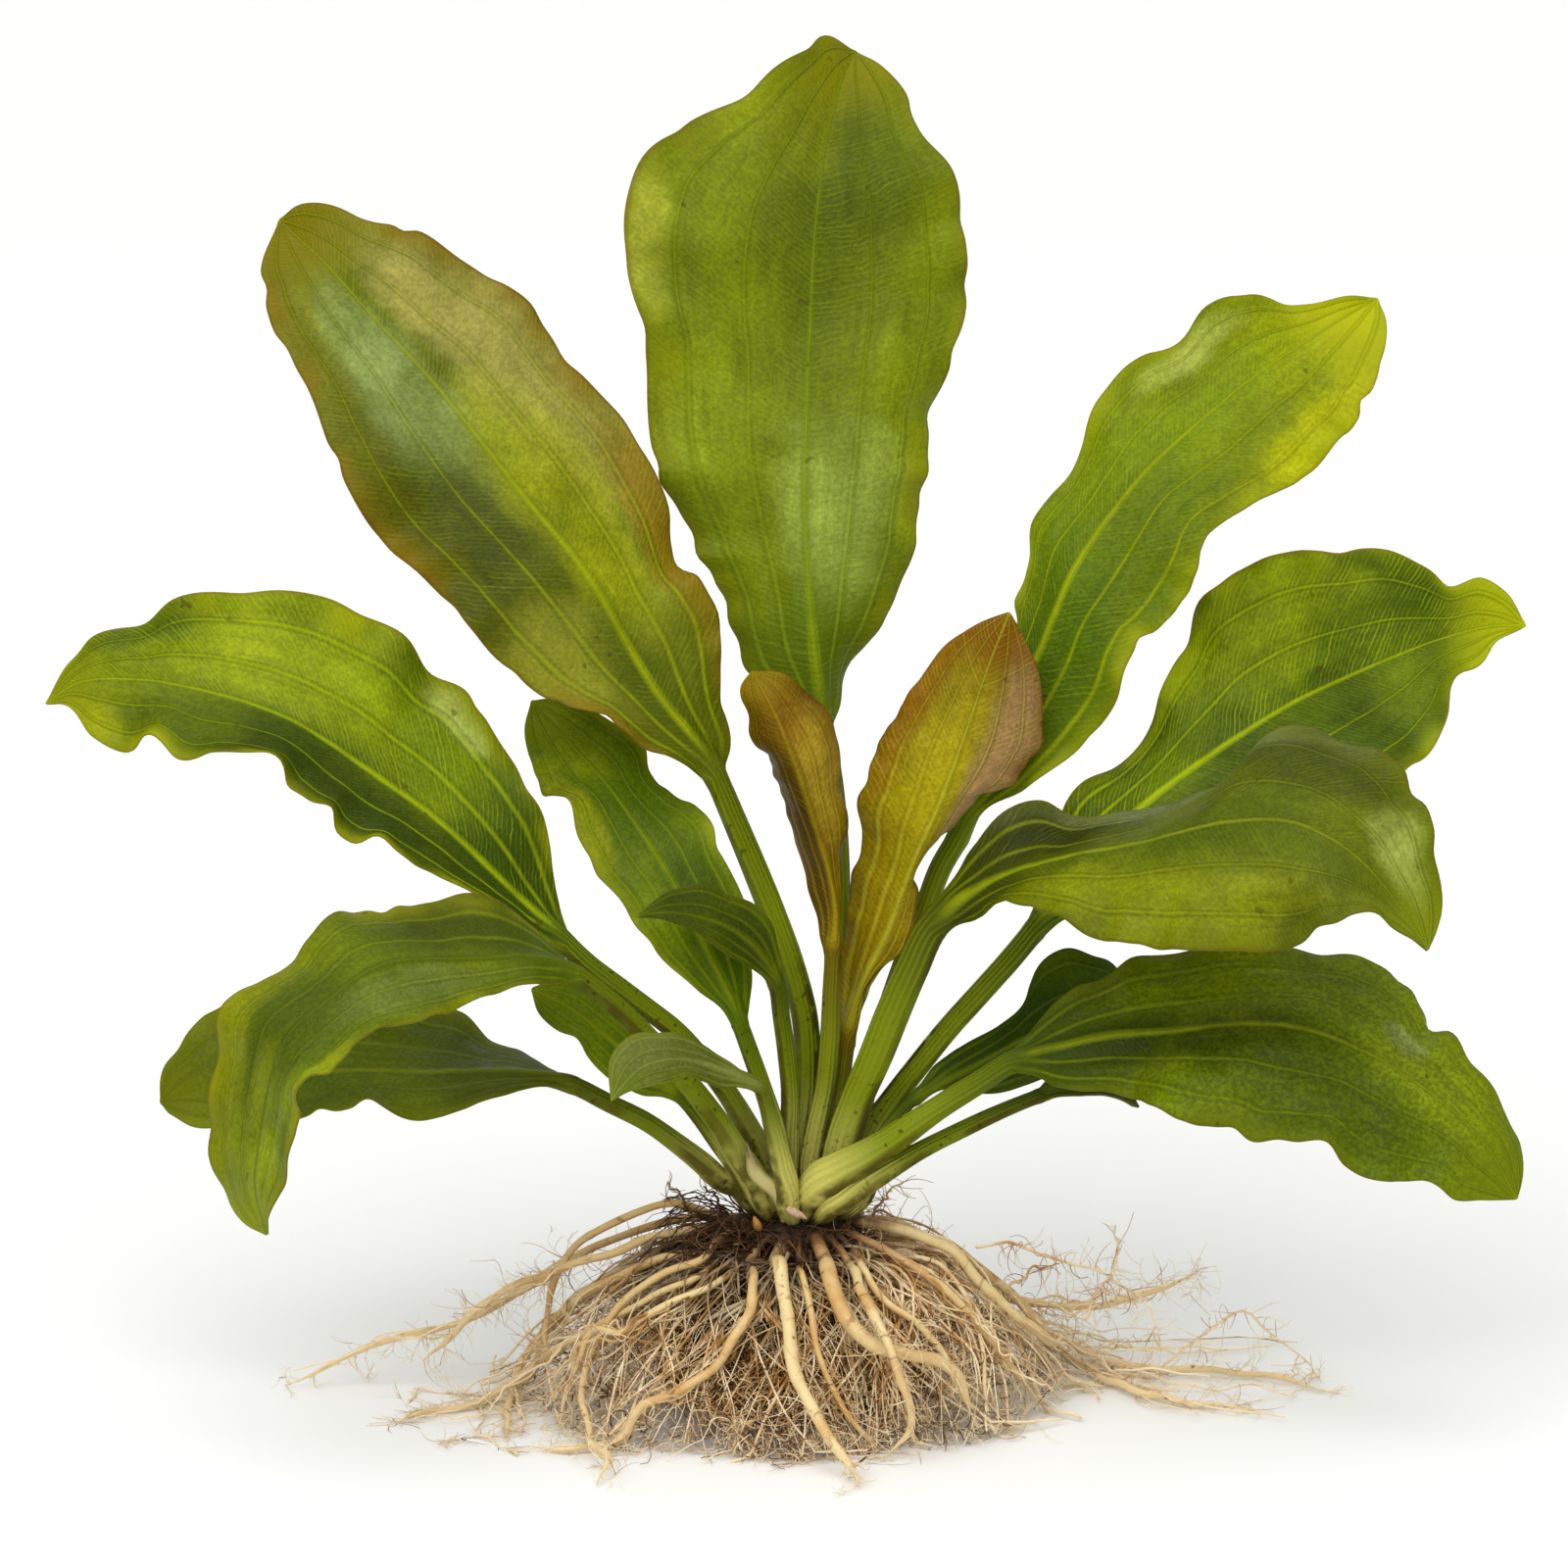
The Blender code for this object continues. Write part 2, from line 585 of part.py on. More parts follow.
def right_leaves():
    """The leaves that arch or hang to the right."""
    return {
        "leaf_arching_right": Leaf(
            base=(9.6, 0.6),
            stalk=[
                (10, 47, 0.6), (12, 55.5, 1), (16, 61.5, 1.5), (21, 68, 2), (27, 75.5, 3),
                (34, 83.3, 4), (40, 90, 5),
            ],
            widths=(3.8, 4.8, 4.6, 4.6),
            rib=[
                (45, 96, 6), (51, 103, 7), (57, 110.5, 9), (65, 119, 11), (72, 125, 14),
                (80, 131, 17), (90, 137.5, 21), (100, 143.5, 26), (110, 148.5, 31),
                (120, 152.5, 36), (130, 156, 41), (138, 158, 44), (145.3, 158.3, 47),
            ],
            left=[
                (45, 101), (47, 108), (49, 116), (53, 125), (61, 130.3), (67, 136), (72, 147),
                (76, 156), (79, 164), (85, 168.5), (92, 172), (100, 173.7), (108, 174),
                (117, 173.8), (124, 170.5), (131, 166.8), (136, 168.2), (141, 165.5),
            ],
            right=[
                (50, 97.5), (58, 101), (68, 106), (80, 110), (95, 114), (109, 119.5),
                (120, 127), (126, 133), (129.5, 139), (131, 147.5), (136.5, 151),
                (139.5, 155),
            ],
            left_back=(0, 6, 10, 12, 10, 5, 0),
            right_back=(0, -4, -8, -9, -7, -3, 0),
            steps=16,
        ),
        "leaf_front_right": Leaf(
            base=(4.8, -3.4),
            stalk=[
                (5, 47, -4.4), (6.7, 55, -5.4), (9, 62, -6.4), (12.5, 70, -7.4),
                (16.5, 80, -8.8), (20.5, 89, -10.4),
            ],
            widths=(4.4, 6.4, 7.0, 6.4),
            rib=[
                (24.5, 97, -12), (30, 101.5, -14.5), (37, 105.5, -18), (50, 109.5, -25),
                (62, 113, -31), (75, 116.5, -37), (88, 118.5, -42), (98, 118, -46),
                (105, 115, -49), (112, 110, -52), (118, 103.5, -54), (125.3, 92, -57),
            ],
            left=[
                (25.5, 103), (29, 107.5), (34, 115), (40, 121), (47, 122.7), (53, 119.8),
                (62, 119.8), (70, 121.5), (80, 124), (90, 131), (95, 137), (101, 138.2),
                (108, 136.8), (115, 133), (120, 127.5), (125, 121), (126.5, 112),
                (128.3, 103), (126.8, 95),
            ],
            right=[
                (29, 97), (33, 98.5), (37, 100.5), (41, 102.3), (46, 100.5), (52, 97),
                (60, 94), (72, 92.3), (85, 91.7), (97, 92.5), (106, 97), (113, 99.8),
                (119, 97), (123.5, 93.3),
            ],
            left_back=(0, 8, 18, 22, 18, 14, 8, 0),
            right_back=(0, 3, -8, -12, -14, -12, -8, 0),
            steps=17,
        ),
        "leaf_low_right": Leaf(
            base=(-0.8, -7.6),
            stalk=[
                (-0.4, 42.2, -9.4), (2, 45.3, -11), (5.5, 47.3, -12), (10, 49.7, -13),
                (16, 53.3, -13.5), (22, 57.5, -14), (28, 61.5, -14), (34, 65.2, -14),
            ],
            widths=(4.2, 6.6, 6.0, 4.8, 4.4),
            rib=[
                (40, 69, -14), (50, 72, -16), (60, 74.5, -18), (70, 75.8, -21),
                (80, 76.3, -24), (90, 76.2, -27), (100, 75.5, -30), (110, 72.5, -33),
                (120, 67.5, -36), (130, 60, -38), (137, 52.5, -40), (143.5, 41.3, -41),
            ],
            left=[
                (43, 74), (47, 79), (53, 84), (61, 88.3), (70, 91.5), (80, 92.3), (92, 92.5),
                (102, 92), (112, 89.8), (119, 87), (123, 81), (125, 76), (130, 75),
                (135, 68), (140, 61), (144, 53), (144.8, 46.5),
            ],
            right=[
                (45, 66.5), (51, 63.2), (60, 63), (66, 61.5), (71, 58.7), (79, 56),
                (85, 55.3), (90, 52.8), (98, 52.4), (103, 52.3), (108.5, 48), (114, 45.2),
                (120, 44.8), (127, 44), (131, 41), (137, 41),
            ],
            left_back=(0, 9, 15, 16, 14, 9, 0),
            right_back=(0, -8, -13, -14, -11, -5, 0),
            steps=16,
        ),
        "leaf_small_right": Leaf(
            base=(10.4, -5.0),
            stalk=[(11.5, 46, -5.2), (13.5, 52.5, -5.2), (16, 56.5, -5)],
            widths=(2.8, 3.0, 2.8),
            rib=[
                (18.5, 59.5, -4.5), (26, 64.5, -1), (34, 69, 3), (44, 74.5, 8), (54, 78, 14),
                (63, 79, 20), (71, 77, 25),
            ],
            left=[
                (21, 63.8), (25, 69), (31, 73), (38, 77), (42.5, 81), (44.5, 86), (47, 90.2),
                (52, 92.7), (58, 91.3), (63, 87), (68, 82),
            ],
            right=[
                (22, 62.5), (26.5, 63.8), (32, 62.9), (38, 63), (43, 64.5), (50, 67),
                (58, 69), (66, 73),
            ],
            left_back=(0, 2, 4, 5, 4, 0),
            right_back=(0, -1, -3, -3, -2, 0),
            steps=10,
        ),
        "leaf_under_right": Leaf(
            base=(3.0, -11.2),
            stalk=[
                (5.5, 40.8, -12.2), (10, 44, -12.4), (15.5, 47.5, -12), (22, 51.3, -10),
                (30, 55.3, -8), (39, 59.5, -6),
            ],
            widths=(3.4, 4.2, 3.4, 2.8),
            rib=[(46, 62.3, -5), (51, 64, -4), (57, 64.5, -3), (62, 63.2, -2), (66.3, 60.2, -1)],
            left=[(48, 66), (53, 68.5), (58, 69), (63, 66.5)],
            right=[(49, 62.2), (54, 62.5), (60, 62.4), (64, 61.2)],
            left_back=(0, 3, 4, 3, 0),
            right_back=(0, -2, -3, -2, 0),
            steps=9,
        ),
    }


def make_leaves():
    """Every leaf, each with its own green."""
    colours = {
        "leaf_tall_back": (0.10, 0.20, 0.03),
        "leaf_upper_left": (0.12, 0.15, 0.03),
        "leaf_upper_right": (0.16, 0.25, 0.02),
        "leaf_young_left": (0.17, 0.09, 0.03),
        "leaf_young_right": (0.24, 0.15, 0.04),
        "leaf_arching_left": (0.13, 0.23, 0.02),
        "leaf_front_left": (0.14, 0.20, 0.04),
        "leaf_low_left": (0.09, 0.16, 0.02),
        "leaf_inner_left": (0.11, 0.20, 0.02),
        "leaf_small_inner": (0.08, 0.15, 0.02),
        "leaf_small_front": (0.12, 0.17, 0.07),
        "leaf_small_left": (0.11, 0.18, 0.02),
        "leaf_arching_right": (0.19, 0.24, 0.02),
        "leaf_front_right": (0.14, 0.17, 0.03),
        "leaf_low_right": (0.09, 0.14, 0.02),
        "leaf_small_right": (0.07, 0.16, 0.02),
        "leaf_under_right": (0.11, 0.16, 0.03),
    }
    leaves = {**upright_leaves(), **left_leaves(), **right_leaves()}
    for name, leaf in leaves.items():
        loft(name, leaf.rings(), surface(name, colours[name], 0.4))


def make_old_sheath():
    """Pale hollow-sided stub left by a dead leaf."""
    route = [
        Vector((-9.2, -11.2, CROWN_TOP + 1.8 * GAP)),
        seen(-10.0, 41.5, -12.4),
        seen(-11.7, 46.5, -13.0),
        seen(-13.6, 52.0, -13.6),
    ]
    widths = (2.8, 3.6, 3.4, 1.6)
    shares = [i / 6 for i in range(7)]
    middle = smooth_path(route, shares)
    ahead = smooth_path(route, [share + 0.03 for share in shares[:-1]] + [1.0])
    run = Vector((-0.3, 0.0, 1.0))
    rings = []
    for share, point, other in zip(shares, middle, ahead):
        if (other - point).length > 0.0:
            run = (other - point).normalized()
        side = run.cross(Vector((0.0, 1.0, 0.0))).normalized()
        face = run.cross(side)
        half = blend(widths, share) / 2.0
        ring = []
        for k in range(8):
            turn = 2.0 * math.pi * k / 8
            ring.append(point + side * half * math.cos(turn) + face * half * 0.6 * math.sin(turn))
        rings.append(ring)
    loft("old_sheath", rings, surface("old_sheath", (0.45, 0.36, 0.20), 0.6))


def make_crown():
    """Turned knob that carries the leaves on its flat top."""
    profile = [
        (0.0, CROWN_TOP),
        (14.2, CROWN_TOP),
        (CROWN_RADIUS, CROWN_TOP - 1.5),
        (CROWN_RADIUS, CROWN_TOP - 6.0),
        (12.5, CROWN_TOP - 10.5),
        (8.0, CROWN_BOTTOM),
        (0.0, CROWN_BOTTOM),
    ]
    mesh = bpy.data.meshes.new("crown")
    points = [(radius * MM, 0.0, height * MM) for radius, height in profile]
    edges = [(i, i + 1) for i in range(len(points) - 1)]
    mesh.from_pydata(points, edges, [])
    obj = linked("crown", mesh, surface("crown", (0.05, 0.03, 0.015), 0.8))
    obj.location = (CROWN_X * MM, CROWN_Y * MM, 0.0)
    turn = obj.modifiers.new("turn", "SCREW")
    turn.steps = 24
    turn.render_steps = 24
    turn.use_merge_vertices = True
    turn.merge_threshold = 0.00005
    turn.use_smooth_shade = True


def make_fine_roots():
    """Ridged mound with a flat underside and a hollow for the crown."""
    count = MOUND_RIDGES * 2
    levels = [0.0, 0.45, 0.7, 0.86, 0.96]
    hollow = [
        (MOUND_SHOULDER, MOUND_HEIGHT),
        (MOUND_SHOULDER - 1.2, MOUND_HEIGHT - 1.5),
        (CROWN_RADIUS + 1.2, CROWN_BOTTOM - GAP),
    ]
    rings = [[] for _ in range(len(levels) + len(hollow))]
    for k in range(count):
        angle = 2.0 * math.pi * k / count
        ray = Vector((math.cos(angle), math.sin(angle), 0.0))
        ridge = RIDGE_DEPTH if k % 2 else -RIDGE_DEPTH
        slope = mound_reach(CROWN_X + ray.x, CROWN_Y + ray.y) - MOUND_SHOULDER
        for row, level in enumerate(levels):
            share = math.sqrt(1.0 - level ** (1.0 / 0.9))
            distance = MOUND_SHOULDER + slope * share + ridge * share
            rise = ridge * (1.0 - share) if row else 0.0
            point = Vector((CROWN_X, CROWN_Y, MOUND_HEIGHT * level + rise))
            rings[row].append(point + ray * distance)
        for row, (radius, height) in enumerate(hollow):
            point = Vector((CROWN_X, CROWN_Y, height))
            rings[len(levels) + row].append(point + ray * radius)
    loft("fine_roots", rings, surface("fine_roots", (0.33, 0.22, 0.11), 0.8))


def leave_crown(azimuth, height, radius):
    """The first two points of a root that grows out of the crown's side."""
    turn = math.radians(azimuth)
    ray = Vector((math.cos(turn), math.sin(turn), 0.0))
    reach = CROWN_RADIUS + GAP
    reach -= max(CROWN_TOP - 6.0 - height - radius, 0.0) * 0.6
    start = Vector((CROWN_X, CROWN_Y, height)) + ray * reach
    return [start, start + ray * (radius + 1.0)]


def clear_of_roots(points, radii):
    """The points of a root, raised until it passes over the roots it crosses."""
    if not LAID:
        return points
    tree = KDTree(len(LAID))
    for i, (place, _) in enumerate(LAID):
        tree.insert(place, i)
    tree.balance()
    last = len(points) - 1
    for _ in range(60):
        pushes = [0.0] * len(points)
        for i in range(1, last):
            for k in range(6):
                t = k / 5.0
                place = points[i].lerp(points[i + 1], t)
                radius = blend(radii, (i + t) / last)
                for _, index, distance in tree.find_range(place, 5.0):
                    short = radius + LAID[index][1] + GAP - distance
                    if short > 0.0:
                        pushes[i] = max(pushes[i], short * (1.0 - t) + 0.05)
                        pushes[i + 1] = max(pushes[i + 1], short * t + 0.05)
        if max(pushes) == 0.0:
            break
        for i in range(2, last + 1):
            points[i] = points[i] + Vector((0.0, 0.0, pushes[i]))
    return points


def make_root(name, start, route, radii, lift=0.0, points=10):
    """Tapered tube from the crown's side along a route.

    A route point (across, up) lies on the mound or on the surface around it,
    and (across, up, back) hangs free at that depth.
    """
    path = leave_crown(*start, radii[0])
    for i, point in enumerate(route):
        share = (i + 1) / len(route)
        radius = blend(radii, share)
        if len(point) == 3:
            path.append(seen(*point))
        else:
            ease = 1.0 - share**3
            path.append(resting(*point, radius + GAP + (RIDGE_DEPTH + lift) * ease))
    shares = [i / (points - 2) for i in range(points - 1)]
    thick_root(name, path[:1] + smooth_path(path[1:], shares), radii)


def make_back_root(name, start, reach, radii, lift=0.0, swing=8.0, points=10):
    """Tapered tube that runs over the back of the mound to the surface."""
    path = leave_crown(*start, radii[0])
    for i in range(1, 8):
        share = i / 7
        turn = math.radians(start[0] + swing * math.sin(share * 2.6))
        distance = CROWN_RADIUS + 4.0 + (reach - CROWN_RADIUS - 4.0) * share
        x = CROWN_X + distance * math.cos(turn)
        y = CROWN_Y + distance * math.sin(turn)
        radius = blend(radii, share)
        z = mound_height(x, y) + radius + GAP + (RIDGE_DEPTH + lift) * (1.0 - share**3)
        path.append(Vector((x, y, z)))
    shares = [i / (points - 2) for i in range(points - 1)]
    thick_root(name, path[:1] + smooth_path(path[1:], shares), radii)


def thick_root(name, path, radii):
    """Filled tube along a path in mm."""
    curve = bpy.data.curves.new(name, "CURVE")
    curve.dimensions = "3D"
    curve.bevel_depth = MM
    curve.bevel_resolution = 1
    curve.render_resolution_u = 0
    curve.use_fill_caps = True
    line = curve.splines.new("POLY")
    line.points.add(len(path) - 1)
    last = len(path) - 1
    raised = [above_mound(path[i], blend(radii, i / last)) for i in range(2, last + 1)]
    path = clear_of_roots(path[:2] + raised, radii)
    for i, point in enumerate(path):
        line.points[i].co = (*(point * MM), 1.0)
        line.points[i].radius = blend(radii, i / last)
    for i in range(last):
        for k in range(6):
            place = path[i].lerp(path[i + 1], k / 6.0)
            LAID.append((place, blend(radii, (i + k / 6.0) / last)))
    line.use_smooth = True
    linked(name, curve, surface(name, (0.52, 0.38, 0.16), 0.55))


def make_front_roots():
    """Thick roots that come down in front of the mass."""
    make_root(
        "root_front_long", (252, 34),
        [
            (-7.5, 30, -22), (-5.8, 21, -30), (-4.8, 12, -37), (-3, 4, -42), (1, -4, -47),
            (5, -9.5, -51), (9, -16.5),
        ],
        (1.4, 1.4, 1.25, 0.8),
    )
    make_root(
        "root_front_right", (286, 34.5),
        [
            (2.5, 28, -24), (5, 21, -31), (9, 14, -36), (14, 10.5, -38), (20, 9.3, -37),
            (26, 8.3, -34), (30, 4, -32), (32, -1, -30), (33.5, -6),
        ],
        (1.6, 1.6, 1.3, 0.8), points=11,
    )
    make_root(
        "root_front_branch", (304, 33.5),
        [
            (9.5, 23.5, -30), (14, 14, -41), (17.5, 6, -43.5), (19.5, -1, -43),
            (19, -7, -41), (15.5, -11),
        ],
        (0.9, 1.0, 0.9, 0.6),
    )
    make_root(
        "root_front_pale", (268, 33),
        [(-2.5, 27, -23), (-1, 19, -29.5), (1, 10, -35), (4, 2, -38), (9, -5, -39.5), (13, -10)],
        (0.7, 0.7, 0.6, 0.5),
    )
    make_root(
        "root_front_left", (232, 33.5),
        [
            (-12, 23, -25), (-14, 15, -31), (-18, 7), (-23, 0), (-30, -4), (-39, -8),
            (-48, -9.5), (-57, -9.5),
        ],
        (0.9, 1.0, 0.9, 0.6), points=11,
    )


def make_left_roots():
    """Thick roots that arch over the left side of the mass."""
    make_root(
        "root_left_flat", (212, 34.5),
        [
            (-25, 24), (-36, 18.5), (-48, 11), (-57, 4.5), (-64, 1), (-71, -0.7),
            (-79, -2.2), (-86, -4.4),
        ],
        (0.7, 0.7, 0.7, 0.5),
    )
    make_root(
        "root_left_hooked", (204.5, 37.3),
        [
            (-25, 27.5), (-33, 25), (-40, 19), (-45, 11), (-47, 3), (-46.3, -4),
            (-44, -10), (-41, -13.5), (-44, -16.5),
        ],
        (0.75, 0.75, 0.7, 0.6), lift=4.0, points=11,
    )
    make_root(
        "root_left_thick", (196, 34),
        [(-23, 31), (-32, 28.5), (-42, 24), (-51, 17), (-57, 10), (-60.5, 3), (-62.5, -3), (-62.5, -7.5)],
        (0.9, 0.95, 0.85, 0.6), lift=0.5,
    )
    make_root(
        "root_left_low", (220, 33),
        [(-18, 24), (-27, 20), (-36, 14.5), (-43, 8), (-48, 1), (-52, -5)],
        (0.7, 0.75, 0.7, 0.5),
    )
    make_root(
        "root_left_high", (170, 38),
        [
            (-26, 40.5, 2), (-33, 39.3, 4), (-40, 37, 5), (-46, 33.5, 5), (-51, 29, 4),
            (-53.5, 22, 2), (-54.6, 13), (-54.4, 4),
        ],
        (0.8, 0.8, 0.75, 0.55), lift=3.0,
    )
    make_root(
        "root_left_knobbed", (183, 37),
        [
            (-27, 35, -2), (-35, 32.5, -3), (-44, 29.5, -3), (-53, 26.5, -2), (-62, 23.2, 0),
            (-69, 18.5, 2), (-74, 13.5, 3), (-79.5, 8, 5),
        ],
        (0.85, 0.85, 0.75, 0.6),
    )
    make_root(
        "root_left_longest", (154, 37),
        [
            (-28, 37, 14), (-40, 33.5, 16), (-52, 27.5, 15), (-62, 21, 12), (-72, 16.2, 10),
            (-82, 13.4, 10), (-91, 11.3, 10), (-98, 7.5, 9), (-104, 4.8), (-108, 3.4),
        ],
        (0.85, 0.85, 0.7, 0.5), points=11,
    )


def make_right_roots():
    """Thick roots that arch over the right side of the mass."""
    make_root(
        "root_right_inner", (330, 35.5),
        [(19, 28.5), (26, 23), (32, 16.5), (37, 9), (41, 3), (44.5, -1.5)],
        (0.9, 0.9, 0.8, 0.6), lift=1.0,
    )
    make_root(
        "root_right_bow", (317, 33),
        [(10, 25), (14, 19.5), (19, 14.5), (24, 9.5), (28, 3), (30, -4)],
        (0.75, 0.75, 0.7, 0.5),
    )
    make_root(
        "root_right_thick", (348, 38),
        [
            (17, 37.5, -4), (24, 34, -5), (30, 28.5, -6), (36, 22, -6), (43, 16.5, -6),
            (51, 10), (60, 4.5), (70, 1), (80, -0.6), (89, -1.5),
        ],
        (1.1, 1.1, 0.9, 0.6), points=11,
    )
    make_root(
        "root_right_longest", (8, 37.5),
        [
            (18, 36.5, 4), (26, 31.5, 6), (34, 24.5, 8), (43, 18, 9), (52, 12), (62, 7.5),
            (73, 6.5), (84, 6.5), (94, 5), (104, 2.4),
        ],
        (1.0, 1.0, 0.8, 0.55), points=11,
    )
    make_root(
        "root_right_raised", (28, 36),
        [
            (20, 35, 14), (30, 26, 17), (40, 21, 18), (50, 19.5, 18), (60, 19.8, 17),
            (69, 22.4, 16), (78, 26, 15),
        ],
        (0.9, 0.9, 0.75, 0.55),
    )


def make_back_roots():
    """Thick roots behind the plant, in the manner of the ones that show."""
    make_back_root("root_back_right", (52, 36), 66, (0.9, 0.9, 0.8, 0.6), swing=-9.0)
    make_back_root("root_back_middle", (86, 35), 74, (1.0, 1.0, 0.8, 0.6), swing=7.0)
    make_back_root("root_back_left", (122, 36), 68, (0.9, 0.9, 0.8, 0.6), swing=-8.0)


def make_thick_roots():
    """Every thick root, each a solid of its own."""
    make_front_roots()
    make_left_roots()
    make_right_roots()
    make_back_roots()


def make_plant():
    """The whole plant."""
    make_leaves()
    make_old_sheath()
    make_crown()
    make_fine_roots()
    make_thick_roots()


LAID = []
for old in list(bpy.data.objects):
    bpy.data.objects.remove(old, do_unlink=True)
PLANT = bpy.data.collections.new("amazon_sword_plant")
bpy.context.scene.collection.children.link(PLANT)
make_plant()
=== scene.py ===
"""Amazon sword plant: leaves with veins and ruffled margins, fleshy and matted
roots, rootstock and stage.

Points are written as they are seen from the front, in millimetres: across, up
and, where it isn't found from the root mass, the depth behind the crown's middle.
"""
import functools
import math

import bpy
import numpy as np
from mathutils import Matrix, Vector
from mathutils.kdtree import KDTree


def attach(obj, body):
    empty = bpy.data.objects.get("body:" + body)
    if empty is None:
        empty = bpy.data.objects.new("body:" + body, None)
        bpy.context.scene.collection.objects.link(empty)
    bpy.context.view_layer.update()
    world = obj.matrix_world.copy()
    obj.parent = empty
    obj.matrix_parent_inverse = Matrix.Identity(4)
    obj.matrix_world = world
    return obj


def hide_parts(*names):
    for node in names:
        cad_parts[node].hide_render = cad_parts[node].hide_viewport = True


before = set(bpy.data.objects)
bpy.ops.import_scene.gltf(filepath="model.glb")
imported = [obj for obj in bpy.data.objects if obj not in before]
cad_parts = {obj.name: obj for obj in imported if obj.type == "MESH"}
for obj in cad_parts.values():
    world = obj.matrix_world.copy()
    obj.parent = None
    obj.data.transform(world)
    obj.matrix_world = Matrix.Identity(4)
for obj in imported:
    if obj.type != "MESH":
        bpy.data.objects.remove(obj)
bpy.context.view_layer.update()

bl_info = {
    "name": "Amazon Sword Plant",
    "version": (1, 0, 0),
    "blender": (4, 5, 0),
    "location": "3D View > Sidebar > Plant",
    "description": "Builds a bare-rooted amazon sword plant, piece by piece",
    "category": "Add Mesh",
}

MM = 0.001

# The front view that the outlines are drawn in.
VIEW_TILT = math.radians(12.0)
VIEW_DISTANCE = 1600.0
VIEW_CENTRE = (-6.0, 126.0)

# Crown and root mass.
CROWN_X = -2.5
CROWN_Y = -1.5
CROWN_RADIUS = 15.5
CROWN_TOP = 40.0
MOUND_HEIGHT = 31.0
MOUND_SHOULDER = 18.5
MOUND_LEFT = 59.0
MOUND_RIGHT = 50.0
MOUND_BACK = 46.0
MOUND_FRONT = 38.0
RIDGE_DEPTH = 1.2
GAP = 0.4
# Middle of the soil left under the crown, and mean unevenness of its edge.
SOIL_HEIGHT = 35.0
SOIL_UNEVEN = 11.0

# How finely a leaf and a root are divided.
STALK_STATIONS = 44
BLADE_STATIONS = 130
ACROSS = 49
ROOT_STATIONS = 90
ROOT_SIDES = 14
# Least radius of a fine root, and how low its skin may lie.
THINNEST = 0.03
LOWEST = 0.06

UP_ON_VIEW = Vector((0.0, math.sin(VIEW_TILT), math.cos(VIEW_TILT)))
INTO_VIEW = Vector((0.0, math.cos(VIEW_TILT), -math.sin(VIEW_TILT)))


def on_view(across, up):
    """Point of the upright drawing plane through the plant's origin."""
    return Vector((across, 0.0, 0.0)) + UP_ON_VIEW * up


EYE = on_view(*VIEW_CENTRE) - INTO_VIEW * VIEW_DISTANCE


def seen(across, up, back):
    """Point that shows at (across, up) from the front, at the depth back."""
    target = on_view(across, up)
    share = (back - EYE.y) / (target.y - EYE.y)
    return EYE + (target - EYE) * share


def mound_reach(x, y):
    """Distance from the crown's axis to the mound's foot, towards (x, y)."""
    ray = np.array([x - CROWN_X, y - CROWN_Y])
    ray = ray / np.maximum(np.sqrt((ray**2).sum(axis=0)), 1e-6)
    side = np.where(ray[0] > 0.0, MOUND_RIGHT, MOUND_LEFT)
    depth = np.where(ray[1] > 0.0, MOUND_BACK, MOUND_FRONT)
    turn = np.arctan2(ray[1], ray[0])
    uneven = 1.0 + 0.05 * np.sin(3.0 * turn + 1.0) + 0.04 * np.sin(7.0 * turn)
    return uneven / np.hypot(ray[0] / side, ray[1] / depth)


def mound_height(x, y):
    """Height of the root mass at (x, y), of numbers or of arrays."""
    distance = np.hypot(x - CROWN_X, y - CROWN_Y) - MOUND_SHOULDER
    share = np.clip(distance / (mound_reach(x, y) - MOUND_SHOULDER), 0.0, 1.0)
    return MOUND_HEIGHT * (1.0 - share**2) ** 0.9


def above_mound(point, radius):
    """The point, raised where a root of that radius would touch the mound."""
    x, y, z = point
    step = 0.5
    steepest = 2.2
    rise = (mound_height(x + step, y) - mound_height(x - step, y)) / (2.0 * step)
    fall = (mound_height(x, y + step) - mound_height(x, y - step)) / (2.0 * step)
    steep = min(math.sqrt(1.0 + rise * rise + fall * fall), steepest)
    height = mound_height(x, y)
    clear = radius + 0.3
    if height > 0.0:
        clear = (radius + GAP + RIDGE_DEPTH) * steep
    return Vector((x, y, max(z, height + clear)))


def resting(across, up, lift):
    """Where the line of sight through (across, up) comes down onto the mound,
    or onto the surface around it, raised by lift."""
    target = on_view(across, up)
    near, far = [(back - EYE.y) / (target.y - EYE.y) for back in (-130.0, 130.0)]
    steps = 400
    for step in range(steps + 1):
        share = near + (far - near) * step / steps
        point = EYE + (target - EYE) * share
        if point.z <= mound_height(point.x, point.y) + lift:
            return point
    return point


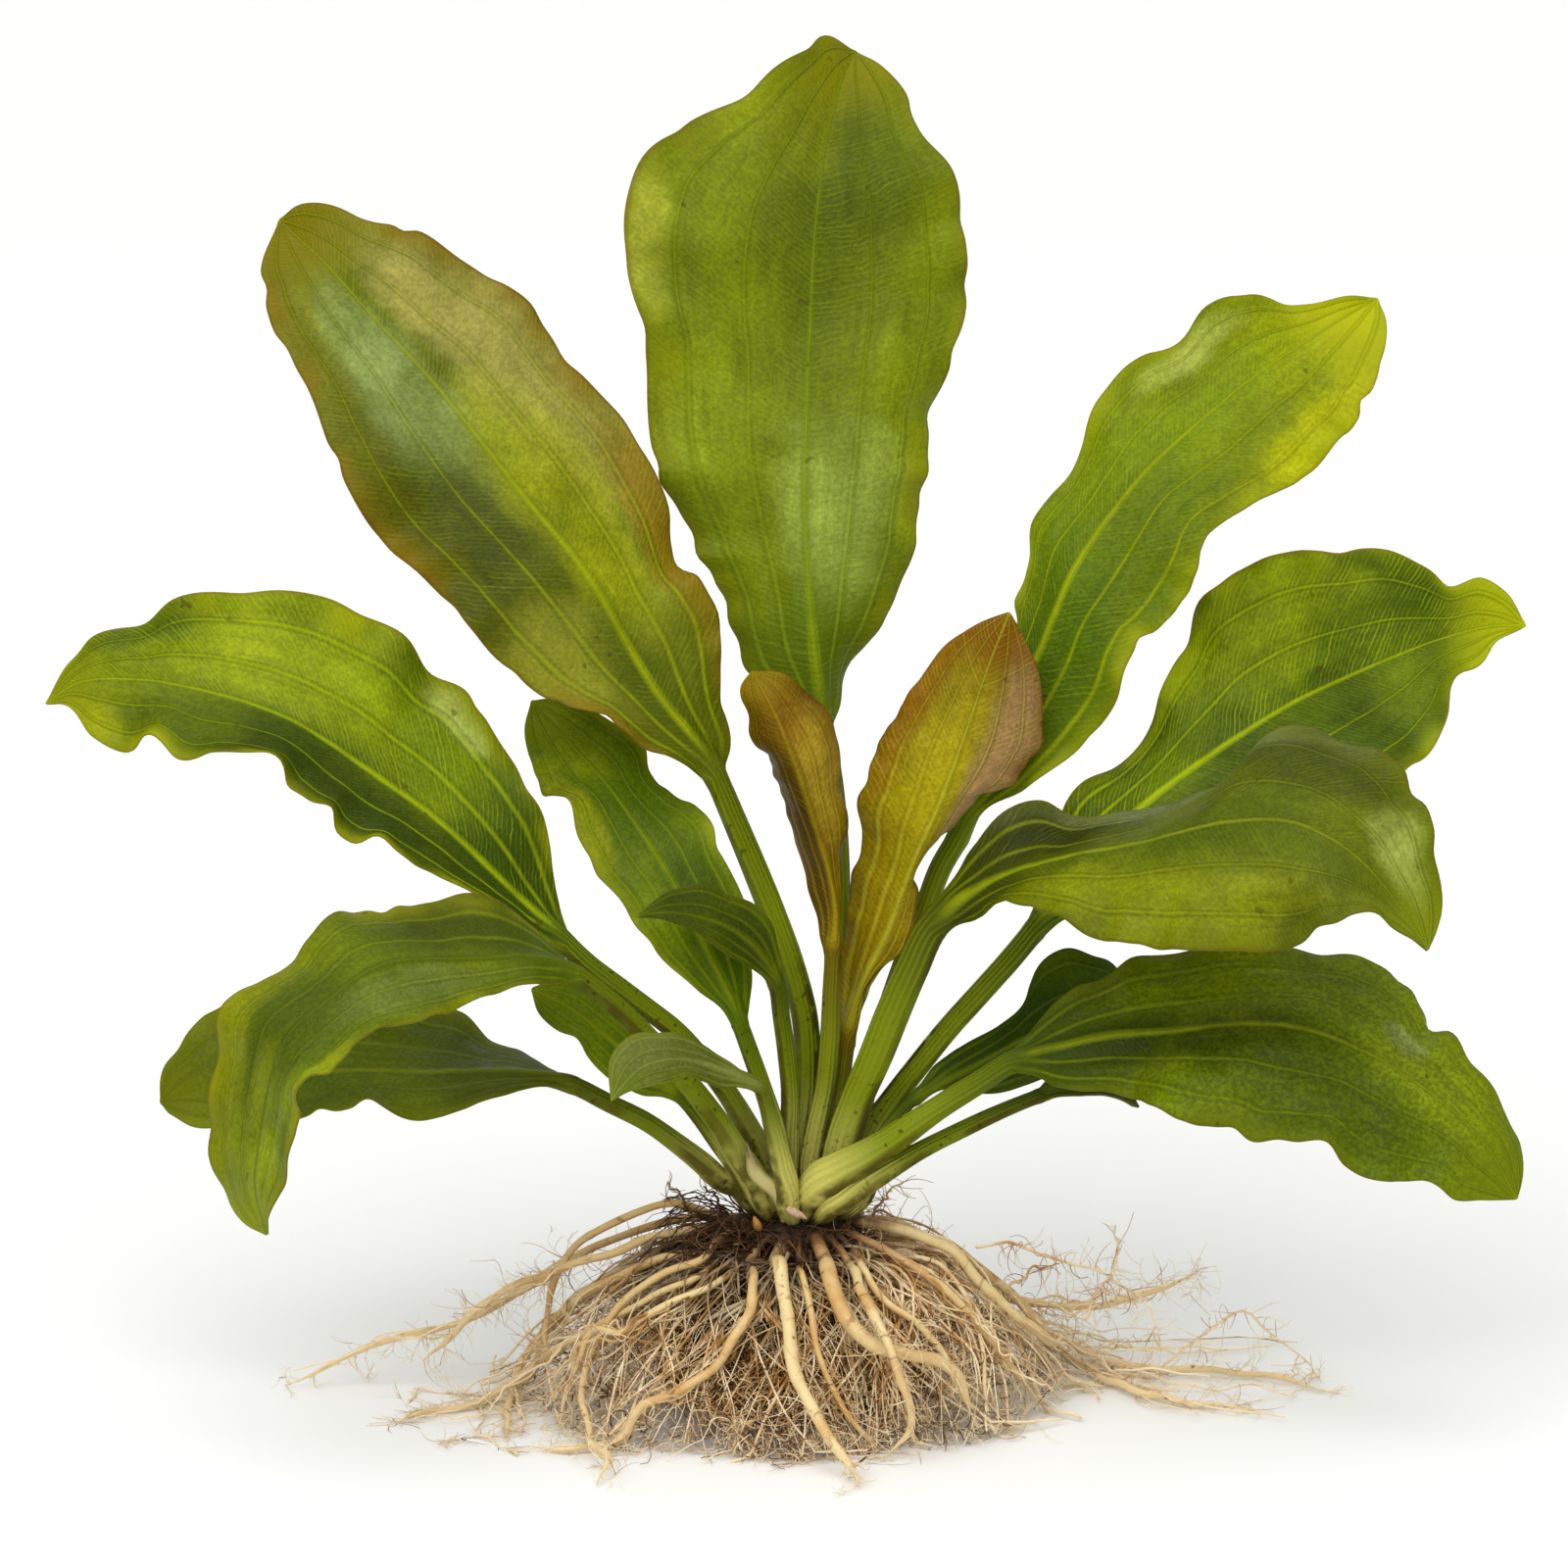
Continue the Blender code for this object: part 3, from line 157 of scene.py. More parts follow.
def smooth_path(points, shares, first=0, last=None):
    """Points at the given shares of the length of a smooth curve, between its
    points numbered first and last."""
    points = np.array([tuple(point) for point in points])
    steps = np.diff(points, axis=0)
    spans = np.linalg.norm(steps, axis=1)
    slopes = steps / spans[:, None]
    mixed = slopes[:-1] * spans[1:, None] + slopes[1:] * spans[:-1, None]
    mixed = mixed / (spans[:-1] + spans[1:])[:, None]
    bends = np.vstack([slopes[:1], mixed, slopes[-1:]])
    last = len(spans) if last is None else last
    t = (np.arange(16) / 16.0)[:, None]
    fine = []
    for i in range(first, last):
        fine.append(
            points[i] * (1.0 + 2.0 * t) * (1.0 - t) ** 2
            + bends[i] * spans[i] * t * (1.0 - t) ** 2
            + points[i + 1] * t * t * (3.0 - 2.0 * t)
            + bends[i + 1] * spans[i] * t * t * (t - 1.0)
        )
    fine = np.vstack(fine + [points[last][None]])
    run = np.concatenate([[0.0], np.cumsum(np.linalg.norm(np.diff(fine, axis=0), axis=1))])
    goals = np.clip(shares, 0.0, 1.0) * run[-1]
    return np.stack([np.interp(goals, run, fine[:, k]) for k in range(3)], axis=1)


def blend(values, share):
    """Value at a share of a list of evenly spaced values."""
    values = np.array(values, float)
    place = np.clip(share, 0.0, 1.0) * (len(values) - 1)
    i = np.minimum(np.array(place, int), len(values) - 2)
    t = place - i
    t = t * t * (3.0 - 2.0 * t)
    return values[i] * (1.0 - t) + values[i + 1] * t


def unit(vectors):
    """Vectors of length one, along an array's last axis."""
    return vectors / np.maximum(np.linalg.norm(vectors, axis=-1, keepdims=True), 1e-9)


def ease(values, low, high):
    """Smooth step from 0 at low to 1 at high."""
    t = np.clip((values - low) / (high - low), 0.0, 1.0)
    return t * t * (3.0 - 2.0 * t)


def circle(count):
    """Angles of so many evenly spaced directions all round."""
    return 2.0 * math.pi * np.arange(count) / count


# Options that the materials' nodes have most often.
PLUS = {"operation": "ADD"}
LESS = {"operation": "SUBTRACT"}
TIMES = {"operation": "MULTIPLY"}
OVER = {"operation": "DIVIDE"}
SINE = {"operation": "SINE"}
SIZE = {"operation": "ABSOLUTE"}
RGBA = {"data_type": "RGBA"}
SOFT = {"interpolation_type": "SMOOTHSTEP"}


def linear(colour):
    """Linear colour of an sRGB hex value."""
    parts = [int(colour[i : i + 2], 16) / 255.0 for i in (1, 3, 5)]
    parts = [c / 12.92 if c <= 0.04045 else ((c + 0.055) / 1.055) ** 2.4 for c in parts]
    return (*parts, 1.0)


def feed(node, values):
    """Sets or links a node's inputs, by number or name."""
    for key, value in values.items():
        if isinstance(value, bpy.types.NodeSocket):
            node.id_data.links.new(value, node.inputs[key])
        else:
            node.inputs[key].default_value = value


def add_node(tree, kind, *values, **settings):
    """Adds a node with its settings and links, and gives its first output in use.

    values: numbers, colours or outputs for the inputs, in the order they show in;
    settings: the node's options, and inputs by name, which starts with a capital.
    """
    node = tree.nodes.new("ShaderNode" + kind)
    for name, value in settings.items():
        if name[0].islower():
            setattr(node, name, value)
    shown = [i for i, socket in enumerate(node.inputs) if socket.enabled]
    feed(node, dict(zip(shown, values)))
    feed(node, {name: value for name, value in settings.items() if name[0].isupper()})
    return [socket for socket in node.outputs if socket.enabled][0]


def layer(add, under, tint, strength, *where):
    """The colour under with a tint over it, where all that where lists is high.

    where: outputs, or (output, low, high) with the strength at both if not 0 and 1.
    """
    share = None
    for high in where:
        if isinstance(high, tuple):
            high = add("MapRange", *high, **SOFT)
        share = high if share is None else add("Math", share, high, **TIMES)
    if strength != 1.0:
        share = add("Math", share, strength, **TIMES)
    return add("Mix", share, under, tint, **RGBA)


def trait_of(add, name):
    """The three values that a piece's trait, an attribute of its mesh, has."""
    node = add("Attribute", attribute_name=name).node
    return add("SeparateXYZ", node.outputs["Vector"]).node.outputs


def new_material(name):
    """Material with only its Principled shader and output, its way to add nodes,
    its shader and the Object coordinates."""
    material = bpy.data.materials.new(name)
    material.use_nodes = True
    tree = material.node_tree
    add = functools.partial(add_node, tree)
    return material, add, tree.nodes["Principled BSDF"], add("TexCoord").node.outputs["Object"]


def deselect():
    """Leaves nothing selected, so that the next operator acts on new geometry only."""
    if bpy.context.view_layer.objects.active and bpy.context.object.mode != "OBJECT":
        bpy.ops.object.mode_set(mode="OBJECT")
    bpy.ops.object.select_all(action="DESELECT")


def rolled(name, rings, traits):
    """Grid rolled up into a closed skin through rings of points in mm.

    traits: name of an attribute and its three values at every point of the rings.
    """
    rings = np.asarray(rings)
    along, around = rings.shape[:2]
    deselect()
    bpy.ops.mesh.primitive_grid_add(
        x_subdivisions=around, y_subdivisions=along - 1, size=2.0, calc_uvs=True
    )
    piece = bpy.context.object
    piece.name = name
    mesh = piece.data
    mesh.name = name
    count = len(mesh.vertices)
    places = np.empty(count * 3)
    mesh.vertices.foreach_get("co", places)
    places = places.reshape(-1, 3)
    i = np.rint((places[:, 0] + 1.0) / 2.0 * around).astype(int) % around
    j = np.rint((places[:, 1] + 1.0) / 2.0 * (along - 1)).astype(int)
    mesh.vertices.foreach_set("co", (rings[j, i] * MM).ravel())
    for trait, values in traits.items():
        data = mesh.attributes.new(trait, "FLOAT_VECTOR", "POINT").data
        data.foreach_set("vector", np.asarray(values, float)[j, i].ravel())
    bpy.ops.object.mode_set(mode="EDIT")
    bpy.ops.mesh.select_all(action="SELECT")
    bpy.ops.mesh.remove_doubles(threshold=0.000001)
    bpy.ops.mesh.fill_holes(sides=0)
    bpy.ops.mesh.normals_make_consistent(inside=False)
    bpy.ops.object.mode_set(mode="OBJECT")
    bpy.ops.object.shade_smooth_by_angle(angle=math.radians(60.0))
    return piece


def finish_piece(piece, material, slot, *nodes):
    """Gives a piece its material and its place in the plant."""
    piece.data.materials.clear()
    piece.data.materials.append(material)
    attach(piece, "root")
    if nodes:
        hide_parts(*nodes)


class Leaf:
    """One leaf, drawn from the front.

    base: where the stalk leaves the crown, seen from above.
    stalk: points (across, up, back) of the stalk's middle, from the crown up.
    widths: the stalk's width, evenly spaced from the crown to the blade.
    rib: points (across, up, back) of the blade's middle, to its tip.
    left, right: points (across, up) of its two margins, without the ends.
    left_back, right_back: how far behind the rib each margin runs.
    """

    def __init__(self, base, stalk, widths, rib, left, right, left_back, right_back):
        axis = Vector((CROWN_X, CROWN_Y, 0.0))
        out = Vector((base[0], base[1], 0.0)) - axis
        stalk = [seen(*point) for point in stalk]
        under = axis + out * 0.36 + Vector((0.0, 0.0, CROWN_TOP - 1.2))
        foot = axis + out * 0.82 + Vector((0.0, 0.0, CROWN_TOP + 2.0))
        top = max(min(CROWN_TOP + 5.4, stalk[0].z - 1.4), CROWN_TOP + 2.6)
        rise = Vector((base[0] * 1.02, base[1] * 1.02, top))
        self.stalk = [under, foot, rise] + stalk
        self.rib = [seen(*point) for point in rib]
        self.stalk.append(self.rib[0])
        self.widths = widths
        self.left = self.margin(left, left_back)
        self.right = self.margin(right, right_back)

    def margin(self, outline, back):
        """Margin's points in space, as far behind the rib as back says."""
        shares = [(i + 1) / (len(outline) + 1) for i in range(len(outline))]
        depths = smooth_path(self.rib, shares)[:, 1] + blend(back, np.array(shares))
        return [seen(across, up, y) for (across, up), y in zip(outline, depths)]

    def stations(self):
        """Left edge, middle, right edge, growth and spread of every cross-section.

        Growth runs from -1 at the crown to 0 where the blade starts and 1 at its
        tip, and spread is the radius of the stalk or of the rib that it becomes.
        """
        lift = self.rib[1] - self.rib[0]
        side = self.left[0] - self.right[0]
        side = (side - side.project(lift)).normalized()
        half = self.widths[-1] / 2.0
        shares = np.arange(STALK_STATIONS) / STALK_STATIONS
        whole = self.stalk + self.rib[1:3]
        last = len(self.stalk) - 1
        middle = smooth_path(whole, shares, last=last)
        ahead, behind = [smooth_path(whole, shares + step, last=last) for step in (0.02, -0.02)]
        runs = unit(ahead - behind)
        turned = np.array(side)[None] - runs * (runs @ np.array(side))[:, None]
        # The foot of a stalk is a sheath that clasps its neighbours.
        run = shares * np.linalg.norm(np.diff(middle, axis=0), axis=1).sum()
        free = ease(run, 11.0, 32.0)
        sheath = 0.75 + 0.5 * ease(run, 0.0, 9.0) * (1.0 - free) + 0.25 * free
        stalk_half = blend(self.widths, shares) * sheath / 2.0
        reach = unit(turned) * stalk_half[:, None]
        lower = [middle + reach, middle, middle - reach]
        tip = self.rib[-1]
        end = (self.left[-1] - self.right[-1]).normalized() * 0.3
        before = [Vector(lower[0][-9]), Vector(lower[1][-9]), Vector(lower[2][-9])]
        rails = [
            [before[0], self.rib[0] + side * half] + self.left + [tip + end],
            [before[1]] + self.rib,
            [before[2], self.rib[0] - side * half] + self.right + [tip - end],
        ]
        places = np.linspace(0.0, 1.0, BLADE_STATIONS)
        upper = [smooth_path(rail, places, first=1) for rail in rails]
        left, centre, right = [np.vstack(pair) for pair in zip(lower, upper)]
        growth = np.concatenate([shares - 1.0, places])
        spread = np.concatenate([
            stalk_half,
            half * np.maximum(1.0 - places * 1.08, 0.0) ** 1.15 + 0.16,
        ])
        return left, centre, right, growth, spread


# The leaves that stand up from the middle of the crown.
UPRIGHT_LEAVES = {
    "leaf_tall_back": Leaf(
        base=(1.0, 8.0),
        stalk=[(2.5, 55, 9), (4.5, 75, 10.5), (5.3, 95, 12), (5.2, 110, 13.5), (4, 126, 15)],
        widths=(4.2, 4.6, 4.4, 4.2),
        rib=[(2, 138, 17), (0, 155, 20), (-1.5, 175, 25), (-1.5, 200, 33), (-0.5, 220, 41),
            (0.5, 240, 50), (3, 259, 60), (6, 270, 68), (8.5, 275.5, 75)],
        left=[(-6, 143), (-14, 150), (-20, 165), (-28, 183), (-33.5, 199), (-35, 219),
            (-38.5, 233), (-38, 246), (-35, 254), (-26, 261), (-15, 266.5), (-5, 274.5),
            (2, 278.8)],
        right=[(5.5, 142), (7, 150), (14, 160), (20, 173), (24, 193), (27, 209), (31.5, 226),
            (31, 237), (28, 252), (22, 259), (19, 267), (14, 272.5)],
        left_back=(0, 5, 8, 8, 6, 2, 0), right_back=(0, 4, 7, 8, 6, 2, 0),
    ),
    "leaf_upper_left": Leaf(
        base=(-3.5, 3.0),
        stalk=[(-3.4, 50, 3), (-2.2, 58, 3.4), (-1.3, 68, 3.8), (-1.6, 77, 4.4), (-4.2, 88, 5),
            (-8.5, 100, 6), (-12.5, 110, 7), (-16.5, 119.5, 8)],
        widths=(4.0, 5.4, 5.4, 4.8),
        rib=[(-20, 127.5, 9), (-31, 143.6, 9), (-39.6, 157.6, 10), (-50, 172.4, 12),
            (-61, 187, 15), (-70, 198.6, 19), (-80, 211, 24), (-90, 221.3, 31), (-100, 232.5, 38),
            (-109, 241, 45)],
        left=[(-25, 129), (-35, 134), (-43, 139.5), (-53, 143), (-64, 151), (-70, 157.5),
            (-77, 165.5), (-89, 176.5), (-97, 190), (-103, 206), (-110, 218), (-112.8, 231)],
        right=[(-17, 133), (-19, 145), (-19, 160), (-27, 170), (-30, 182), (-36, 198),
            (-50, 212.5), (-60, 226), (-71, 232), (-82, 239.5), (-90, 241), (-97, 244),
            (-104.5, 244.5)],
        left_back=(0, -6, -10, -11, -9, -5, 0), right_back=(0, 6, 12, 14, 12, 7, 0),
    ),
    "leaf_upper_right": Leaf(
        base=(7.0, 5.0),
        stalk=[(9, 56, 6), (11, 66, 7), (15, 79, 8.5), (19.5, 92, 10), (23, 101, 11),
            (26, 109, 12)],
        widths=(4.0, 4.6, 4.6, 4.6),
        rib=[(29.5, 115, 13), (35, 126, 15), (40, 140, 17), (46, 153, 19), (55, 172, 23),
            (65, 186, 27), (75, 196.5, 32), (90, 209, 39), (100, 216, 45), (108, 221, 50),
            (115, 225, 55)],
        left=[(30, 123), (33, 135), (37, 147), (41, 158), (43, 172), (44, 180.5), (51, 187.5),
            (54, 195), (59, 206), (65, 212), (74, 216.5), (80, 223.5), (90, 225.7), (100, 223.7),
            (109, 225.7)],
        right=[(34, 119.5), (43, 125), (54, 133), (62, 143), (65, 152), (72, 159), (79, 171),
            (80.5, 177), (90, 182.5), (98, 186), (106, 194), (111.5, 200.8), (116, 212),
            (117, 220)],
        left_back=(0, 5, 9, 11, 9, 5, 0), right_back=(0, -5, -8, -9, -7, -3, 0),
    ),
    "leaf_young_left": Leaf(
        base=(-0.6, -1.2),
        stalk=[(-0.6, 48, -1.2), (0.5, 55, -1.5), (2.5, 65, -2), (3.4, 75, -2.5), (3.7, 84, -3)],
        widths=(3.4, 3.8, 4.0, 3.4),
        rib=[(4, 91, -3), (4.5, 100, -3.2), (3.2, 108, -3.5), (0.8, 116, -3.5), (-2, 125, -3),
            (-5, 133.5, -2), (-8.5, 141.5, 0), (-12.5, 149, 3)],
        left=[(1.6, 94), (0, 101), (-2.5, 110), (-4.8, 119), (-7, 126), (-9, 132), (-12, 135),
            (-13.2, 140), (-15, 145.5)],
        right=[(5.6, 96), (6, 104), (5.8, 112), (7, 117), (6.3, 121), (5, 130), (5.2, 135),
            (3, 140), (-1, 144), (-6, 148.5)],
        left_back=(0, 5, 8, 8, 5, 0), right_back=(0, 4, 8, 9, 6, 0),
    ),
    "leaf_young_right": Leaf(
        base=(3.6, 3.0),
        stalk=[(3.6, 50, 2.8), (4.5, 58, 2.5), (5.8, 66, 2)],
        widths=(3.4, 3.6, 3.6, 3.4),
        rib=[(6.8, 73, 1.8), (9, 81, 1.5), (12, 88.5, 1.2), (15, 95, 1), (18, 103, 1),
            (21.5, 112, 1), (25.5, 121, 1.5), (29, 130.5, 2.5), (32.7, 141, 4), (36.5, 152, 6.5),
            (40, 161, 9)],
        left=[(5.6, 79), (5.5, 87), (6.5, 98), (8, 109), (10, 116), (9.6, 122), (12, 130),
            (15, 138), (21, 147), (27, 154.5), (34, 159)],
        right=[(9.3, 77), (10.8, 84), (14.5, 89), (18.5, 91.5), (20.7, 97), (21, 103), (20, 109),
            (26, 116), (34, 123), (41, 126.5), (45.5, 132), (46.3, 142), (44.5, 153)],
        left_back=(0, 5, 8, 8, 6, 3, 0), right_back=(0, -1, -2, 2, 5, 5, 0),
    ),
}


# The leaves that arch or hang to the left.
LEFT_LEAVES = {
    "leaf_arching_left": Leaf(
        base=(-9.8, 4.0),
        stalk=[(-10.6, 50, 3), (-14, 57, 2), (-18, 63.5, 1), (-23, 70, 0), (-28, 75.5, -1),
            (-34, 80.2, -2), (-40, 84.7, -3), (-46, 89.2, -4)],
        widths=(3.8, 4.4, 4.2, 4.2),
        rib=[(-50.5, 93.3, -4), (-60, 101.5, -4), (-70, 111.5, -4), (-80, 120.5, -3),
            (-90, 128, -2), (-100, 134.5, 0), (-110, 140, 2), (-120, 144, 4), (-130, 146.3, 7),
            (-140, 147.3, 10), (-150, 146.5, 13), (-156.5, 142.5, 16)],
        left=[(-58, 96.5), (-65, 100.5), (-73, 105), (-80, 110.5), (-87, 113.7), (-95, 115.5),
            (-103, 122), (-110, 129.7), (-120, 131.3), (-130, 131), (-135, 135.8), (-141, 132.5),
            (-147, 135.5), (-152.5, 142)],
        right=[(-51, 98), (-53, 108), (-57, 123), (-64, 135), (-70, 144), (-76, 149), (-85, 157.5),
            (-98, 163.8), (-109, 165.8), (-120, 165.5), (-130, 163.7), (-136, 159), (-145, 156.8),
            (-151.5, 151.5)],
        left_back=(0, -8, -13, -14, -9, -4, 0), right_back=(0, 8, 15, 16, 11, 5, 0),
    ),
    "leaf_front_left": Leaf(
        base=(-10.6, -6.6),
        stalk=[(-11.8, 45, -8), (-15.5, 50.5, -10), (-19.5, 57, -12), (-24, 63, -14),
            (-30, 70, -17), (-36, 76.5, -19.5), (-42, 82, -22)],
        widths=(4.0, 4.8, 4.4, 4.2),
        rib=[(-48, 86.5, -24), (-57, 90.3, -28), (-67, 90.8, -34), (-79, 90, -42),
            (-90.6, 87.2, -49), (-100, 80.8, -55), (-106.7, 75, -59), (-110.5, 67, -62),
            (-113, 58, -64), (-114, 47.5, -65), (-111.5, 34, -65)],
        left=[(-53, 85.2), (-62, 84.3), (-70.4, 81.5), (-77, 77.7), (-85.6, 76.5), (-91, 75.5),
            (-96, 70), (-104, 62), (-105, 54), (-107.5, 45), (-111, 38.5)],
        right=[(-52, 91.5), (-58, 97.5), (-65, 102.5), (-72, 104), (-80, 101.5), (-92, 99.3),
            (-101, 96.5), (-106, 89), (-113, 84.5), (-120.5, 80.5), (-123, 68), (-124.7, 56),
            (-121, 44), (-115.5, 36)],
        left_back=(0, -6, -12, -13, -13, -9, 0), right_back=(0, 14, 19, 17, 16, 11, 0),
    ),
    "leaf_low_left": Leaf(
        base=(-15.0, 0.5),
        stalk=[(-18.5, 45, 0), (-22.5, 48.5, 0), (-28, 52.8, -1), (-34, 57, -2), (-42, 61, -3)],
        widths=(3.6, 4.0, 3.8, 3.6),
        rib=[(-49, 64.5, -4), (-60, 67, -3), (-72, 67.5, -1), (-85, 67, 2), (-100, 66.5, 6),
            (-115, 65.5, 11), (-125, 64, 14), (-133.2, 61, 17)],
        left=[(-57, 64), (-65, 61.5), (-73, 58.8), (-80, 57.8), (-88, 60), (-92, 61.5), (-100, 60),
            (-110, 57.5), (-120, 55.5), (-127, 56), (-131.5, 58.7)],
        right=[(-53, 67.5), (-59, 71), (-65, 73.5), (-71, 79), (-82, 83), (-95, 85), (-109, 84),
            (-120, 81), (-129, 73.5), (-133.2, 66)],
        left_back=(0, -7, -10, -10, -8, -4, 0), right_back=(0, 10, 16, 17, 14, 7, 0),
    ),
    "leaf_inner_left": Leaf(
        base=(-6.6, -4.6),
        stalk=[(-6.6, 46, -4.6), (-7.2, 52, -5), (-8.5, 58, -5.5), (-10.7, 65, -6.2),
            (-13, 71.5, -7)],
        widths=(3.4, 3.9, 3.6, 3.4),
        rib=[(-15, 77, -7.5), (-18.5, 85, -7), (-23, 94, -5), (-28.5, 105, -1), (-35, 116, 5),
            (-42, 125.5, 12), (-50, 134.5, 20), (-57.5, 142.8, 28)],
        left=[(-18.5, 79.8), (-24, 84), (-31, 90.3), (-36, 96.5), (-39, 102), (-44.5, 108),
            (-48, 115.5), (-50, 122), (-55.5, 124), (-57.5, 130), (-59, 137)],
        right=[(-13.2, 80), (-12.6, 86), (-12.8, 94), (-14.5, 103), (-18.5, 111.5), (-20.5, 117.5),
            (-24, 122), (-29.5, 124.5), (-33.2, 128.5), (-35, 134.5), (-41, 138.3), (-47, 141.8),
            (-53, 143.5)],
        left_back=(0, -3, -5, -5, -3, 0), right_back=(0, 3, 5, 6, 5, 0),
    ),
    "leaf_small_inner": Leaf(
        base=(-5.0, -0.4),
        stalk=[(-5.0, 48, -0.9), (-4.9, 56, -1.6), (-4.8, 63, -2.6), (-5.5, 71, -4.4),
            (-6.6, 79, -6.6)],
        widths=(2.8, 3.2, 3.6, 3.4),
        rib=[(-7.5, 85, -8.6), (-10, 90, -11), (-14, 94.5, -13.5), (-19, 97.5, -16),
            (-25, 99.2, -18), (-30, 99.7, -19.5), (-35.8, 99, -21)],
        left=[(-9.8, 86.2), (-13, 88.5), (-17, 90.7), (-21, 93.8), (-25, 96.5), (-29, 98),
            (-33, 98.8)],
        right=[(-6.2, 88), (-7.2, 93), (-9, 98.5), (-12, 101.5), (-17, 103.7), (-23, 105.7),
            (-28, 104.8), (-33, 101.8)],
        left_back=(0, -2, -4, -2, 0), right_back=(0, 3, 6, 4, 0),
    ),
    "leaf_small_front": Leaf(
        base=(-5.2, -11.0),
        stalk=[(-5.4, 44, -12.5), (-6.8, 50, -13.5), (-8.2, 55.5, -14.5), (-9.4, 60, -15.5)],
        widths=(3.4, 4.0, 3.6, 2.8),
        rib=[(-10.8, 64, -17.5), (-16, 66.5, -22), (-22, 68.5, -27), (-29, 69.5, -33),
            (-35, 68, -38), (-41.3, 61.5, -42)],
        left=[(-15, 64), (-19, 63.9), (-22, 65), (-25.5, 66.1), (-29, 65), (-33, 64.3), (-38, 63)],
        right=[(-12.5, 66.3), (-18, 69.8), (-22, 72.3), (-26, 74.7), (-32, 75.5), (-38, 74.3),
            (-41.5, 70)],
        left_back=(0, -2, -4, -2, 0), right_back=(0, 2, 4, 3, 0),
    ),
    "leaf_small_left": Leaf(
        base=(-12.6, -3.0),
        stalk=[(-13.6, 44.5, -3.4), (-16, 48.5, -4.2), (-19.5, 53, -5.4), (-23, 57.7, -6.6)],
        widths=(3.2, 3.8, 3.4, 3.2),
        rib=[(-27, 62.3, -8), (-32, 66, -8.4), (-37, 70, -8.6), (-43, 75, -8.6), (-50, 80.5, -8),
            (-57.5, 84.2, -7)],
        left=[(-30.5, 62), (-35, 62.4), (-39, 64), (-43, 67), (-46, 70.5), (-48.5, 74.2),
            (-52, 75.5), (-56, 79)],
        right=[(-28.3, 65), (-31, 70), (-35, 76), (-41, 82), (-47, 85.8), (-53, 86)],
        left_back=(0, -2, -3, -2, 0), right_back=(0, 1, 2, 1, 0),
    ),
}


